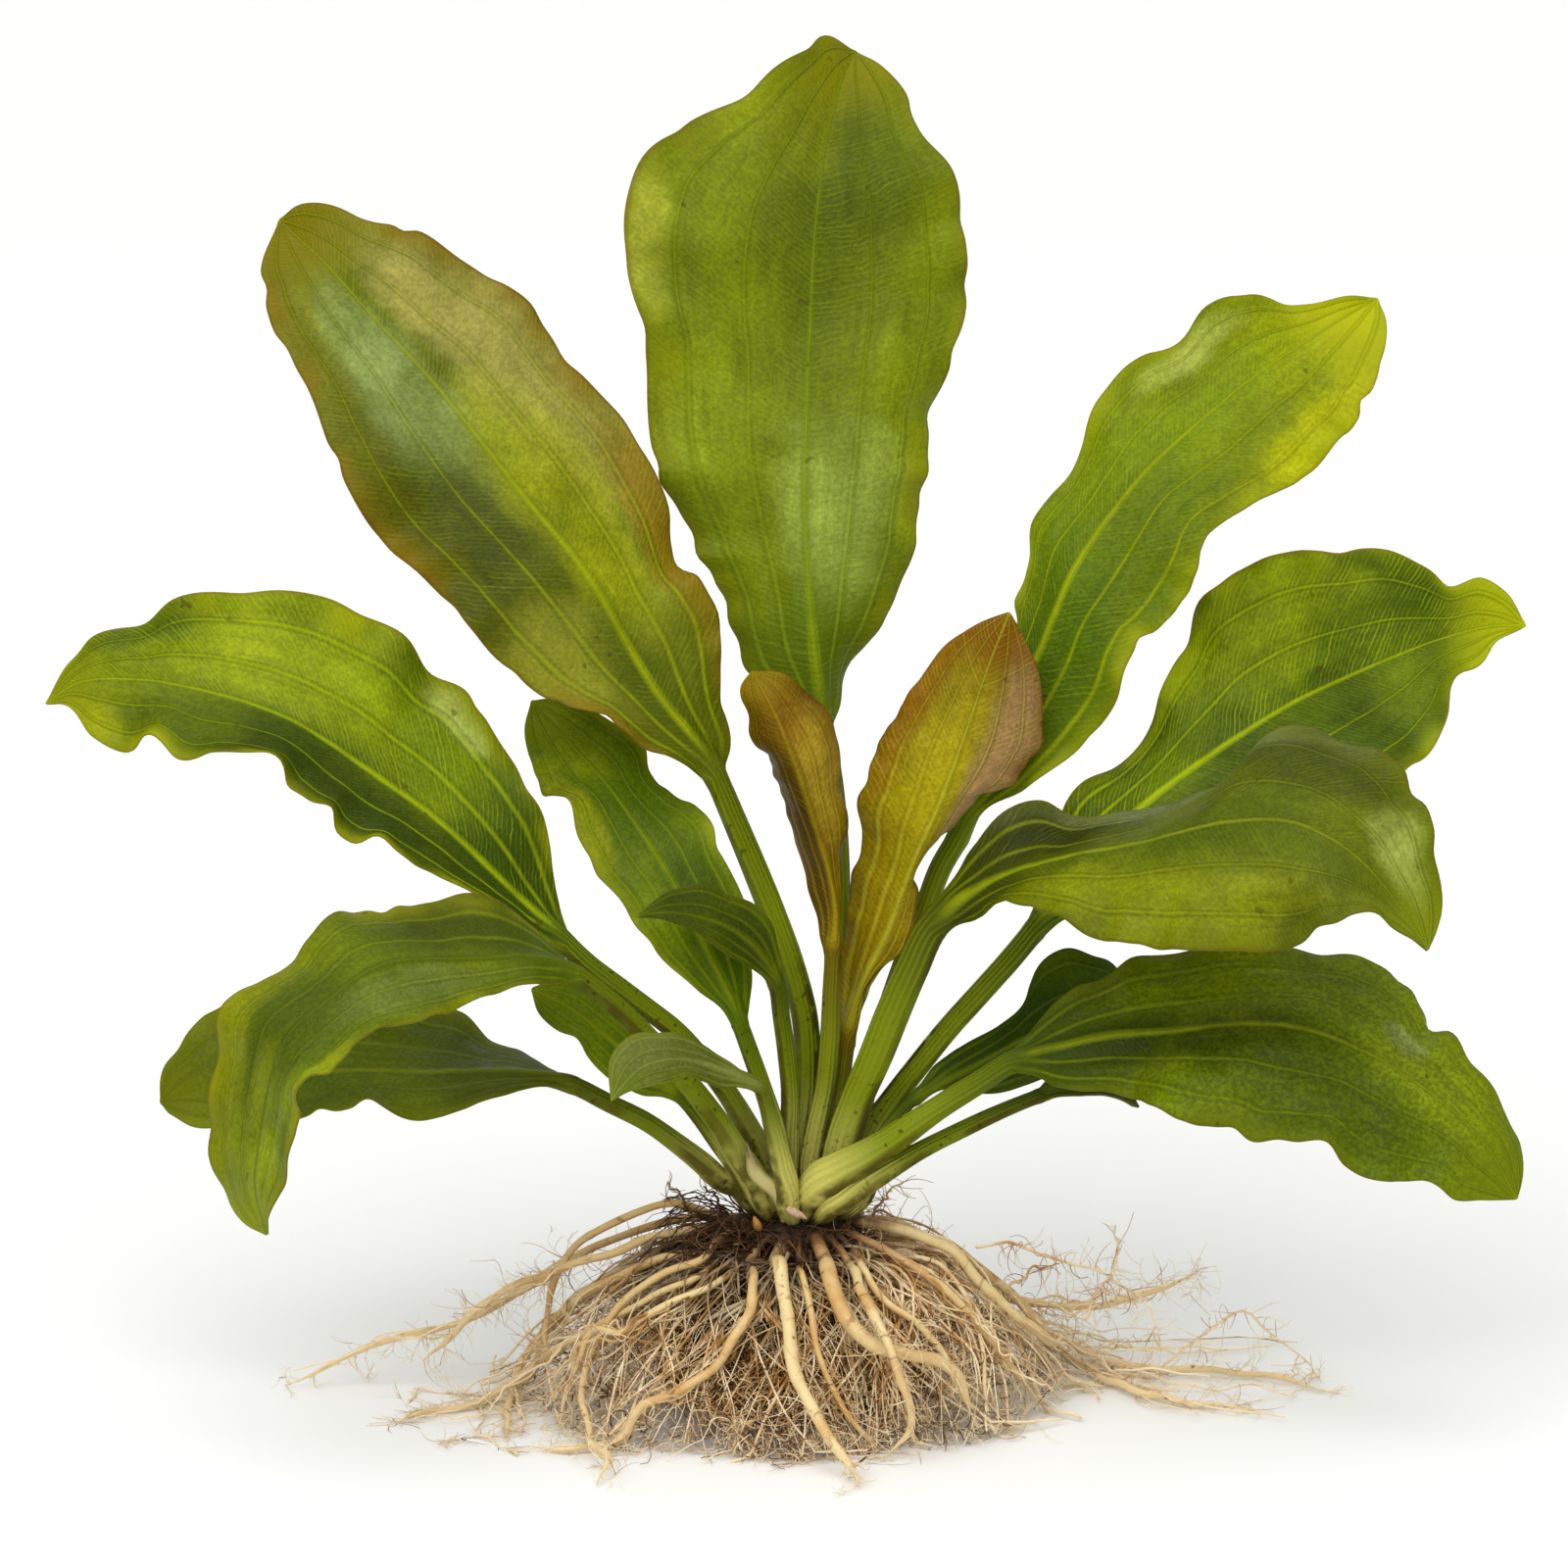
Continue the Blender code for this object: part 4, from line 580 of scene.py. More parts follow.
# The leaves that arch or hang to the right.
RIGHT_LEAVES = {
    "leaf_arching_right": Leaf(
        base=(9.6, 0.6),
        stalk=[(10, 47, 0.6), (12, 55.5, 1), (16, 61.5, 1.5), (21, 68, 2), (27, 75.5, 3),
            (34, 83.3, 4), (40, 90, 5)],
        widths=(3.8, 4.8, 4.6, 4.6),
        rib=[(45, 96, 6), (51, 103, 7), (57, 110.5, 9), (65, 119, 11), (72, 125, 14),
            (80, 131, 17), (90, 137.5, 21), (100, 143.5, 26), (110, 148.5, 31), (120, 152.5, 36),
            (130, 156, 41), (138, 158, 44), (145.3, 158.3, 47)],
        left=[(45, 101), (47, 108), (49, 116), (53, 125), (61, 130.3), (67, 136), (72, 147),
            (76, 156), (79, 164), (85, 168.5), (92, 172), (100, 173.7), (108, 174), (117, 173.8),
            (124, 170.5), (131, 166.8), (136, 168.2), (141, 165.5)],
        right=[(50, 97.5), (58, 101), (68, 106), (80, 110), (95, 114), (109, 119.5), (120, 127),
            (126, 133), (129.5, 139), (131, 147.5), (136.5, 151), (139.5, 155)],
        left_back=(0, 6, 10, 12, 10, 5, 0), right_back=(0, -4, -8, -9, -7, -3, 0),
    ),
    "leaf_front_right": Leaf(
        base=(4.8, -3.4),
        stalk=[(5, 47, -4.4), (6.7, 55, -5.4), (9, 62, -6.4), (12.5, 70, -7.4), (16.5, 80, -8.8),
            (20.5, 89, -10.4)],
        widths=(4.4, 6.4, 7.0, 6.4),
        rib=[(24.5, 97, -12), (30, 101.5, -14.5), (37, 105.5, -18), (50, 109.5, -25),
            (62, 113, -31), (75, 116.5, -37), (88, 118.5, -42), (98, 118, -46), (105, 115, -49),
            (112, 110, -52), (118, 103.5, -54), (125.3, 92, -57)],
        left=[(25.5, 103), (29, 107.5), (34, 115), (40, 121), (47, 122.7), (53, 119.8),
            (62, 119.8), (70, 121.5), (80, 124), (90, 131), (95, 137), (101, 138.2), (108, 136.8),
            (115, 133), (120, 127.5), (125, 121), (126.5, 112), (128.3, 103), (126.8, 95)],
        right=[(29, 97), (33, 98.5), (37, 100.5), (41, 102.3), (46, 100.5), (52, 97), (60, 94),
            (72, 92.3), (85, 91.7), (97, 92.5), (106, 97), (113, 99.8), (119, 97), (123.5, 93.3)],
        left_back=(0, 8, 18, 22, 18, 14, 8, 0), right_back=(0, 3, -8, -12, -14, -12, -8, 0),
    ),
    "leaf_low_right": Leaf(
        base=(-0.8, -7.6),
        stalk=[(-0.4, 42.2, -9.4), (2, 45.3, -11), (5.5, 47.3, -12), (10, 49.7, -13),
            (16, 53.3, -13.5), (22, 57.5, -14), (28, 61.5, -14), (34, 65.2, -14)],
        widths=(4.2, 6.6, 6.0, 4.8, 4.4),
        rib=[(40, 69, -14), (50, 72, -16), (60, 74.5, -18), (70, 75.8, -21), (80, 76.3, -24),
            (90, 76.2, -27), (100, 75.5, -30), (110, 72.5, -33), (120, 67.5, -36), (130, 60, -38),
            (137, 52.5, -40), (143.5, 41.3, -41)],
        left=[(43, 74), (47, 79), (53, 84), (61, 88.3), (70, 91.5), (80, 92.3), (92, 92.5),
            (102, 92), (112, 89.8), (119, 87), (123, 81), (125, 76), (130, 75), (135, 68),
            (140, 61), (144, 53), (144.8, 46.5)],
        right=[(45, 66.5), (51, 63.2), (60, 63), (66, 61.5), (71, 58.7), (79, 56), (85, 55.3),
            (90, 52.8), (98, 52.4), (103, 52.3), (108.5, 48), (114, 45.2), (120, 44.8), (127, 44),
            (131, 41), (137, 41)],
        left_back=(0, 9, 15, 16, 14, 9, 0), right_back=(0, -8, -13, -14, -11, -5, 0),
    ),
    "leaf_small_right": Leaf(
        base=(10.4, -5.0),
        stalk=[(11.5, 46, -5.2), (13.5, 52.5, -5.2), (16, 56.5, -5)],
        widths=(2.8, 3.0, 2.8),
        rib=[(18.5, 59.5, -4.5), (26, 64.5, -1), (34, 69, 3), (44, 74.5, 8), (54, 78, 14),
            (63, 79, 20), (71, 77, 25)],
        left=[(21, 63.8), (25, 69), (31, 73), (38, 77), (42.5, 81), (44.5, 86), (47, 90.2),
            (52, 92.7), (58, 91.3), (63, 87), (68, 82)],
        right=[(22, 62.5), (26.5, 63.8), (32, 62.9), (38, 63), (43, 64.5), (50, 67), (58, 69),
            (66, 73)],
        left_back=(0, 2, 4, 5, 4, 0), right_back=(0, -1, -3, -3, -2, 0),
    ),
    "leaf_under_right": Leaf(
        base=(3.0, -11.2),
        stalk=[(5.5, 40.8, -12.2), (10, 44, -12.4), (15.5, 47.5, -12), (22, 51.3, -10),
            (30, 55.3, -8), (39, 59.5, -6)],
        widths=(3.4, 4.2, 3.4, 2.8),
        rib=[(46, 62.3, -5), (51, 64, -4), (57, 64.5, -3), (62, 63.2, -2), (66.3, 60.2, -1)],
        left=[(48, 66), (53, 68.5), (58, 69), (63, 66.5)],
        right=[(49, 62.2), (54, 62.5), (60, 62.4), (64, 61.2)],
        left_back=(0, 3, 4, 3, 0), right_back=(0, -2, -3, -2, 0),
    ),
}


# Thick roots: bearing and height where each leaves the crown, its route, its
# radii, how far it is lifted off the mass and how many points its path has.
THICK_ROOTS = {
    "root_front_long": ((252, 34), [(-7.5, 30, -22), (-5.8, 21, -30), (-4.8, 12, -37),
        (-3, 4, -42), (1, -4, -47), (5, -9.5, -51), (9, -16.5)],
        (1.4, 1.4, 1.25, 0.8), 0.0, 10),
    "root_front_right": ((286, 34.5), [(2.5, 28, -24), (5, 21, -31), (9, 14, -36), (14, 10.5, -38),
        (20, 9.3, -37), (26, 8.3, -34), (30, 4, -32), (32, -1, -30), (33.5, -6)],
        (1.6, 1.6, 1.3, 0.8), 0.0, 11),
    "root_front_branch": ((304, 33.5), [(9.5, 23.5, -30), (14, 14, -41), (17.5, 6, -43.5),
        (19.5, -1, -43), (19, -7, -41), (15.5, -11)],
        (0.9, 1.0, 0.9, 0.6), 0.0, 10),
    "root_front_pale": ((268, 33), [(-2.5, 27, -23), (-1, 19, -29.5), (1, 10, -35), (4, 2, -38),
        (9, -5, -39.5), (13, -10)],
        (0.7, 0.7, 0.6, 0.5), 0.0, 10),
    "root_front_left": ((232, 33.5), [(-12, 23, -25), (-14, 15, -31), (-18, 7), (-23, 0),
        (-30, -4), (-39, -8), (-48, -9.5), (-57, -9.5)],
        (0.9, 1.0, 0.9, 0.6), 0.0, 11),
    "root_left_flat": ((212, 34.5), [(-25, 24), (-36, 18.5), (-48, 11), (-57, 4.5), (-64, 1),
        (-71, -0.7), (-79, -2.2), (-86, -4.4)],
        (0.7, 0.7, 0.7, 0.5), 0.0, 10),
    "root_left_hooked": ((204.5, 37.3), [(-25, 27.5), (-33, 25), (-40, 19), (-45, 11), (-47, 3),
        (-46.3, -4), (-44, -10), (-41, -13.5), (-44, -16.5)],
        (0.75, 0.75, 0.7, 0.6), 4.0, 11),
    "root_left_thick": ((196, 34), [(-23, 31), (-32, 28.5), (-42, 24), (-51, 17), (-57, 10),
        (-60.5, 3), (-62.5, -3), (-62.5, -7.5)],
        (0.9, 0.95, 0.85, 0.6), 0.5, 10),
    "root_left_low": ((220, 33), [(-18, 24), (-27, 20), (-36, 14.5), (-43, 8), (-48, 1),
        (-52, -5)],
        (0.7, 0.75, 0.7, 0.5), 0.0, 10),
    "root_left_high": ((170, 38), [(-26, 40.5, 2), (-33, 39.3, 4), (-40, 37, 5), (-46, 33.5, 5),
        (-51, 29, 4), (-53.5, 22, 2), (-54.6, 13), (-54.4, 4)],
        (0.8, 0.8, 0.75, 0.55), 3.0, 10),
    "root_left_knobbed": ((183, 37), [(-27, 35, -2), (-35, 32.5, -3), (-44, 29.5, -3),
        (-53, 26.5, -2), (-62, 23.2, 0), (-69, 18.5, 2), (-74, 13.5, 3), (-79.5, 8, 5)],
        (0.85, 0.85, 0.75, 0.6), 0.0, 10),
    "root_left_longest": ((154, 37), [(-28, 37, 14), (-40, 33.5, 16), (-52, 27.5, 15),
        (-62, 21, 12), (-72, 16.2, 10), (-82, 13.4, 10), (-91, 11.3, 10), (-98, 7.5, 9),
        (-104, 4.8), (-108, 3.4)],
        (0.85, 0.85, 0.7, 0.5), 0.0, 11),
    "root_right_inner": ((330, 35.5), [(19, 28.5), (26, 23), (32, 16.5), (37, 9), (41, 3),
        (44.5, -1.5)],
        (0.9, 0.9, 0.8, 0.6), 1.0, 10),
    "root_right_bow": ((317, 33), [(10, 25), (14, 19.5), (19, 14.5), (24, 9.5), (28, 3), (30, -4)],
        (0.75, 0.75, 0.7, 0.5), 0.0, 10),
    "root_right_thick": ((348, 38), [(17, 37.5, -4), (24, 34, -5), (30, 28.5, -6), (36, 22, -6),
        (43, 16.5, -6), (51, 10), (60, 4.5), (70, 1), (80, -0.6), (89, -1.5)],
        (1.1, 1.1, 0.9, 0.6), 0.0, 11),
    "root_right_longest": ((8, 37.5), [(18, 36.5, 4), (26, 31.5, 6), (34, 24.5, 8), (43, 18, 9),
        (52, 12), (62, 7.5), (73, 6.5), (84, 6.5), (94, 5), (104, 2.4)],
        (1.0, 1.0, 0.8, 0.55), 0.0, 11),
    "root_right_raised": ((28, 36), [(20, 35, 14), (30, 26, 17), (40, 21, 18), (50, 19.5, 18),
        (60, 19.8, 17), (69, 22.4, 16), (78, 26, 15)],
        (0.9, 0.9, 0.75, 0.55), 0.0, 10),
    "root_back_right": ((52, 36), [], (0.9, 0.9, 0.8, 0.6), 0.0, 10),
    "root_back_middle": ((86, 35), [], (1.0, 1.0, 0.8, 0.6), 0.0, 10),
    "root_back_left": ((122, 36), [], (0.9, 0.9, 0.8, 0.6), 0.0, 10),
}

# Reach and swing of the roots behind the plant.
BACK_ROOTS = {
    "root_back_right": (66, -9.0),
    "root_back_middle": (74, 7.0),
    "root_back_left": (68, -8.0),
}

# How many thin roots run along with each of these, and how far in mm they stray.
RUNNERS = {
    "root_right_thick": (9, 10.0), "root_right_longest": (8, 12.0),
    "root_right_raised": (4, 9.0), "root_right_inner": (6, 6.0),
    "root_left_longest": (3, 5.0), "root_left_knobbed": (3, 5.0),
    "root_left_flat": (5, 6.0), "root_left_low": (6, 6.0), "root_left_thick": (6, 6.0),
    "root_front_left": (4, 5.0), "root_back_right": (8, 8.0), "root_back_middle": (8, 8.0),
    "root_back_left": (8, 8.0),
}

# Thin roots that stray from the mat.
THIN_ROOTS = [
    [(33, 32, -2), (40, 32, -2), (50, 29, -3), (57, 27, -3), (63, 23.5, -3), (68, 20, -3),
        (70, 15, -3), (70.5, 10, -3)],
    [(40, 23, 2), (45, 27, 2), (50, 28, 2)],
    [(55, 17, 4), (58, 22, 4), (61, 27, 4), (62, 31, 4), (62, 36, 4)],
    [(58, 6), (64, 5.5), (68, 5), (73, 9, 6), (80, 14, 6), (84, 17, 6), (87, 18, 6), (92, 15, 6),
        (99, 10, 6), (103, 5)],
    [(12, 38, -6), (15, 42, -7), (18, 45, -7)],
    [(-24, 38, 0), (-30, 45, 0)],
    [(-18, 39, -3), (-22, 44, -4)],
    [(-62, 0), (-72, -0.5), (-80, -2), (-86, -4.5)],
    [(-83, 0), (-80, 2), (-75, 2), (-70, 0)],
    [(-60, -11), (-70, -7), (-77, -9)],
    [(-17, 27), (-19, 15), (-22, 7), (-22, 1), (-20, -3), (-15, -4.5), (-9, -3)],
]

# How a leaf looks where its own look says nothing else.
# veins: how far apart the long veins run, as a share of the half width;
# lean: how far the cross-veins climb towards the tip on each side;
# threads: how strongly they show on each side;
# plain: how strongly the long veins show; grain: how strongly the finest spots do.
COMMON_LOOK = dict(veins=0.37, lean=(0.9, 0.9), threads=(0.36, 0.36), plain=1.0, grain=0.6)

# How each leaf looks: sRGB colours from the middle outwards and its own habits.
# ruffle and wave: height and length of the margin's waves, in mm;
# slot: its colour group; contrast: how far its light and dark tones lie apart, if
# not as all leaves' do; rib: its middle vein's colour, if not that of the others;
# brown: side and strength of a bruised streak on the stalk;
# patches: paler and darker places, as middle (u, v), reach (u, v), colour, strength; some are the
# leaf's own tones, the greyish pale ones are painted sheen and highlights, and the dark bands and
# folds are painted shade.
LEAF_LOOKS = {
    "leaf_tall_back": dict(
        slot="green_leaf", base="#5F7008", deep="#707F1C", light="#909E38", margin="#8E8E28",
        tip="#918C2E", vein="#84982A", rim="#7A6A3A", lean=(0.45, 0.25), ruffle=1.7, wave=19.0,
        threads=(0.46, 0.42),
        patches=[(0.25, 0.3, 0.45, 0.12, "#98AA58", 0.75),
            (-0.55, 0.32, 0.3, 0.14, "#8A9C40", 0.5), (0.15, 0.75, 0.5, 0.2, "#4E5C12", 0.8),
            (-0.97, 0.6, 0.16, 0.07, "#B2B450", 0.8), (-0.35, 0.86, 0.4, 0.1, "#747A18", 0.6),
            (0, 0.08, 0.6, 0.1, "#4E6A08", 0.6)],
    ),
    "leaf_upper_left": dict(
        slot="bronze_leaf", contrast=0.6, base="#5E680A", deep="#677214", light="#8A9448",
        margin="#846838", tip="#7E7423", vein="#8E9A2A", rim="#74502A", lean=(0.8, 0.8),
        ruffle=1.6, wave=21.0, threads=(0.22, 0.34), brown=(0.3, 0.8),
        patches=[(-0.28, 0.68, 0.3, 0.17, "#86965C", 0.8),
            (-0.55, 0.44, 0.5, 0.16, "#4C5604", 0.9), (0.65, 0.66, 0.4, 0.26, "#9A9058", 0.75),
            (0.25, 0.42, 0.35, 0.18, "#90942E", 0.65), (0.85, 0.32, 0.2, 0.14, "#8A6A3C", 0.7),
            (-0.6, 0.24, 0.4, 0.1, "#92904A", 0.7), (-0.1, 0.14, 0.3, 0.12, "#4E6208", 0.8),
            (-0.8, 0.7, 0.2, 0.3, "#66680E", 0.7), (0.5, 0.93, 0.5, 0.06, "#6E7420", 0.7)],
    ),
    "leaf_upper_right": dict(
        slot="yellow_green_leaf", base="#62780A", deep="#6B7E0A", light="#7F9016",
        margin="#9CA61E", tip="#B9BA22", vein="#A9B530", rim="#8C7A30", veins=0.38, ruffle=1.3,
        wave=17.0, threads=(0.3, 0.22),
        patches=[(-0.5, 0.45, 0.35, 0.16, "#7C941C", 0.5), (0.2, 0.26, 0.7, 0.2, "#4C6A02", 0.85),
            (-0.2, 0.12, 0.8, 0.14, "#466202", 0.85), (0, 0.85, 0.9, 0.2, "#A0AA18", 0.6),
            (0.2, 0.6, 0.4, 0.16, "#73890A", 0.6), (-0.72, 0.72, 0.18, 0.07, "#B0BC5C", 0.75),
            (0.85, 0.74, 0.25, 0.14, "#B4B610", 0.8), (-0.2, 0.66, 0.3, 0.12, "#6F860C", 0.6)],
    ),
    "leaf_young_left": dict(
        slot="young_red_leaf", contrast=0.6, base="#6A4E0F", deep="#62440C", light="#8F6E36",
        margin="#86602A", tip="#8A7328", vein="#94803A", rim="#6E4A24", veins=0.36,
        lean=(0.7, 0.7), ruffle=0.8, wave=11.0,
        patches=[(-0.5, 0.5, 0.5, 0.5, "#503808", 0.8), (0.55, 0.55, 0.4, 0.3, "#A48C48", 0.8),
            (0.2, 0.85, 0.7, 0.12, "#865A30", 0.6)],
    ),
    "leaf_young_right": dict(
        slot="young_red_leaf", contrast=0.3, base="#7A5A14", deep="#8E7A28", light="#A89644",
        margin="#7D5414", tip="#824E1C", vein="#B4AE48", rim="#6A4020", veins=0.36,
        lean=(0.8, 0.8), ruffle=1.0, wave=12.0,
        patches=[(-0.2, 0.6, 0.4, 0.25, "#9E942E", 0.7), (0.7, 0.74, 0.4, 0.26, "#A68060", 0.9),
            (1.0, 0.36, 0.2, 0.2, "#5E3210", 0.95), (0, 0.95, 0.8, 0.08, "#84502A", 0.8),
            (-0.85, 0.78, 0.22, 0.2, "#8E5A26", 0.8), (-0.5, 0.2, 0.4, 0.16, "#A08C20", 0.5)],
    ),
    "leaf_arching_left": dict(
        slot="green_leaf", contrast=0.6, base="#465E08", deep="#5A6E0E", light="#84922A",
        margin="#94982A", tip="#8C9022", vein="#93A42E", rim="#857430", lean=(1.1, 1.1),
        ruffle=1.3, wave=18.0, threads=(0.08, 0.42),
        patches=[(0.1, 0.1, 0.8, 0.14, "#3E5604", 0.85), (0.4, 0.6, 0.35, 0.14, "#8E9C3A", 0.7),
            (0, 0.86, 0.5, 0.1, "#7C8A1A", 0.7), (-0.5, 0.42, 0.5, 0.3, "#40540A", 0.95),
            (0.5, 0.35, 0.35, 0.12, "#72860E", 0.6), (-0.4, 0.72, 0.4, 0.1, "#5E7030", 0.75),
            (0.85, 0.34, 0.12, 0.05, "#A6B266", 0.75), (-0.75, 0.9, 0.3, 0.06, "#9CA020", 0.7)],
    ),
    "leaf_front_left": dict(
        slot="dark_green_leaf", base="#52631A", deep="#637414", light="#87953A", margin="#8A8A20",
        tip="#8A9416", vein="#8A9838", rim="#7A6434", lean=(1.0, 1.0), ruffle=0.9, wave=16.0,
        threads=(0.06, 0.12), plain=0.6, rib="#5A6C14", contrast=0.45,
        patches=[(0.5, 0.22, 0.5, 0.16, "#465020", 0.9), (-0.42, 0.36, 0.3, 0.2, "#6E7C4C", 0.9),
            (0.25, 0.44, 0.3, 0.12, "#5E720C", 0.65), (0.15, 0.62, 0.6, 0.12, "#4C5C08", 0.6),
            (-0.1, 0.9, 0.6, 0.1, "#8A9A10", 0.75), (0.85, 0.72, 0.25, 0.2, "#868A18", 0.7),
            (-0.88, 0.62, 0.1, 0.05, "#8A942A", 0.6), (0.1, 0.74, 0.22, 0.08, "#7E8A26", 0.7)],
    ),
    "leaf_low_left": dict(
        slot="dark_green_leaf", base="#5A6724", deep="#5C6D10", light="#7A8924", margin="#7E861C",
        tip="#747A12", vein="#84922E", rim="#76702C", ruffle=1.0, wave=16.0, threads=(0.06, 0.1),
        plain=0.6,
        patches=[(0.0, 0.18, 0.9, 0.12, "#5A6634", 0.8), (0.4, 0.35, 0.5, 0.2, "#4C5A0E", 0.7),
            (-0.4, 0.6, 0.5, 0.2, "#4C5C0A", 0.7), (0.3, 0.8, 0.5, 0.14, "#6C761A", 0.5)],
    ),
    "leaf_inner_left": dict(
        slot="green_leaf", base="#526C06", deep="#5C740C", light="#7F921E", margin="#939A24",
        tip="#83901E", vein="#84962C", rim="#7C7030", veins=0.38, ruffle=1.1, wave=14.0,
        threads=(0.1, 0.14),
        patches=[(-0.8, 0.62, 0.3, 0.16, "#9A9C1E", 0.7), (0.3, 0.3, 0.5, 0.2, "#3E5604", 0.8),
            (0.1, 0.85, 0.6, 0.12, "#87921E", 0.6)],
    ),
    "leaf_small_inner": dict(
        slot="dark_green_leaf", base="#40500A", deep="#46540C", light="#5E6C1C", margin="#6A7420",
        tip="#58661A", vein="#748024", rim="#5E5A24", veins=0.4, ruffle=0.5, wave=10.0,
        threads=(0.14, 0.14),
        patches=[(0, 0.3, 0.6, 0.25, "#384806", 0.7)],
    ),
    "leaf_small_front": dict(
        slot="grey_green_leaf", base="#6A7418", deep="#66712A", light="#87905A", margin="#7C8440",
        tip="#73861A", vein="#909A58", rim="#6C6C30", veins=0.4, ruffle=0.5, wave=10.0,
        threads=(0.14, 0.14),
        patches=[(0.1, 0.45, 0.7, 0.25, "#6A7450", 0.7), (-0.3, 0.9, 0.5, 0.14, "#6C8610", 0.7)],
    ),
    "leaf_small_left": dict(
        slot="green_leaf", base="#52680A", deep="#567008", light="#788A1C", margin="#868C1C",
        tip="#80880E", vein="#8A962A", rim="#6E6A2A", veins=0.4, ruffle=0.5, wave=10.0,
        threads=(0.14, 0.14),
        patches=[(0, 0.3, 0.6, 0.2, "#465A04", 0.6)],
    ),
    "leaf_arching_right": dict(
        slot="yellow_green_leaf", contrast=0.6, base="#465C0A", deep="#50660A", light="#788A1A",
        margin="#94A01E", tip="#A2A626", vein="#9CAC30", rim="#8A7630", lean=(0.85, 0.85),
        ruffle=1.6, wave=18.0, threads=(0.44, 0.14), brown=(-0.7, 0.85),
        patches=[(0, 0.1, 0.8, 0.14, "#3E5608", 0.85), (-0.6, 0.55, 0.35, 0.16, "#86961A", 0.7),
            (0.4, 0.42, 0.4, 0.2, "#4E6606", 0.8), (-0.25, 0.35, 0.3, 0.14, "#647A06", 0.6),
            (-0.3, 0.74, 0.3, 0.1, "#5E740A", 0.7), (-0.85, 0.36, 0.12, 0.12, "#90A030", 0.6)],
    ),
    "leaf_front_right": dict(
        slot="dark_green_leaf", contrast=0.6, base="#4A5410", deep="#56641A", light="#78842E",
        margin="#767C22", tip="#7E8A2C", vein="#8A963A", rim="#6E6030", ruffle=0.9, wave=17.0,
        threads=(0.2, 0.16), plain=0.75,
        patches=[(-0.6, 0.2, 0.5, 0.14, "#353D08", 0.9), (-0.3, 0.48, 0.35, 0.16, "#64703C", 0.8),
            (0.62, 0.5, 0.36, 0.3, "#828A1C", 0.8), (-0.75, 0.66, 0.3, 0.12, "#525C2A", 0.8),
            (-0.5, 0.86, 0.3, 0.07, "#9AA85A", 0.8), (0.2, 0.12, 0.5, 0.1, "#4A5420", 0.7),
            (-0.9, 0.42, 0.16, 0.2, "#727A58", 0.85), (0.05, 0.6, 0.3, 0.16, "#566A0A", 0.7),
            (0.2, 0.86, 0.4, 0.1, "#5E6E10", 0.6)],
    ),
    "leaf_low_right": dict(
        slot="dark_green_leaf", contrast=0.45, base="#4C600A", deep="#667C0C", light="#87961C",
        margin="#707A12", tip="#78840E", vein="#8A9632", rim="#6E6A2C", ruffle=1.3, wave=17.0,
        threads=(0.06, 0.05), plain=0.8, grain=1.0,
        patches=[(0, 0.12, 0.8, 0.16, "#2E3E04", 0.85), (-0.5, 0.46, 0.4, 0.3, "#788A0E", 0.75),
            (0.1, 0.32, 0.3, 0.26, "#36480A", 0.85), (0.1, 0.88, 0.8, 0.12, "#7C8C0E", 0.75),
            (0.55, 0.6, 0.35, 0.2, "#52640C", 0.7), (-0.42, 0.68, 0.12, 0.04, "#8C9660", 0.7),
            (-0.2, 0.74, 0.2, 0.08, "#707A3C", 0.6)],
    ),
    "leaf_small_right": dict(
        slot="green_leaf", base="#365006", deep="#425E08", light="#5A6C16", margin="#5E6C14",
        tip="#5A6A14", vein="#728226", rim="#56561E", veins=0.4, ruffle=0.9, wave=12.0,
        threads=(0.08, 0.08),
        patches=[(0, 0.3, 0.8, 0.3, "#304206", 0.7)],
    ),
    "leaf_under_right": dict(
        slot="green_leaf", base="#3A4A08", deep="#425408", light="#56661A", margin="#5A6A18",
        tip="#56661A", vein="#6E7C26", rim="#56561E", veins=0.45, ruffle=0.3, wave=9.0,
        threads=(0.08, 0.08),
        patches=[],
    ),
}


def swell(across, along, seed, step):
    """Smooth unevenness between about -1 and 1 over a surface measured in mm."""
    chance = np.random.default_rng(seed)
    total = np.zeros(np.broadcast(across, along).shape)
    for _ in range(7):
        turn, phase = chance.uniform(0.0, 2.0 * math.pi, 2)
        pace = 2.0 * math.pi / (step * chance.uniform(0.7, 1.6))
        total += np.sin((across * math.cos(turn) + along * math.sin(turn)) * pace + phase)
    return total / 4.0


def notches(along, seed):
    """Shallow bites in a margin at uneven places along it, in mm."""
    chance = np.random.default_rng(seed)
    total = np.zeros_like(along)
    place = chance.uniform(3.0, 14.0)
    while place < along[-1, 0]:
        width = chance.uniform(1.6, 4.0)
        total -= chance.uniform(0.2, 1.1) * np.exp(-(((along - place) / width) ** 2))
        place += chance.uniform(9.0, 24.0)
    return total


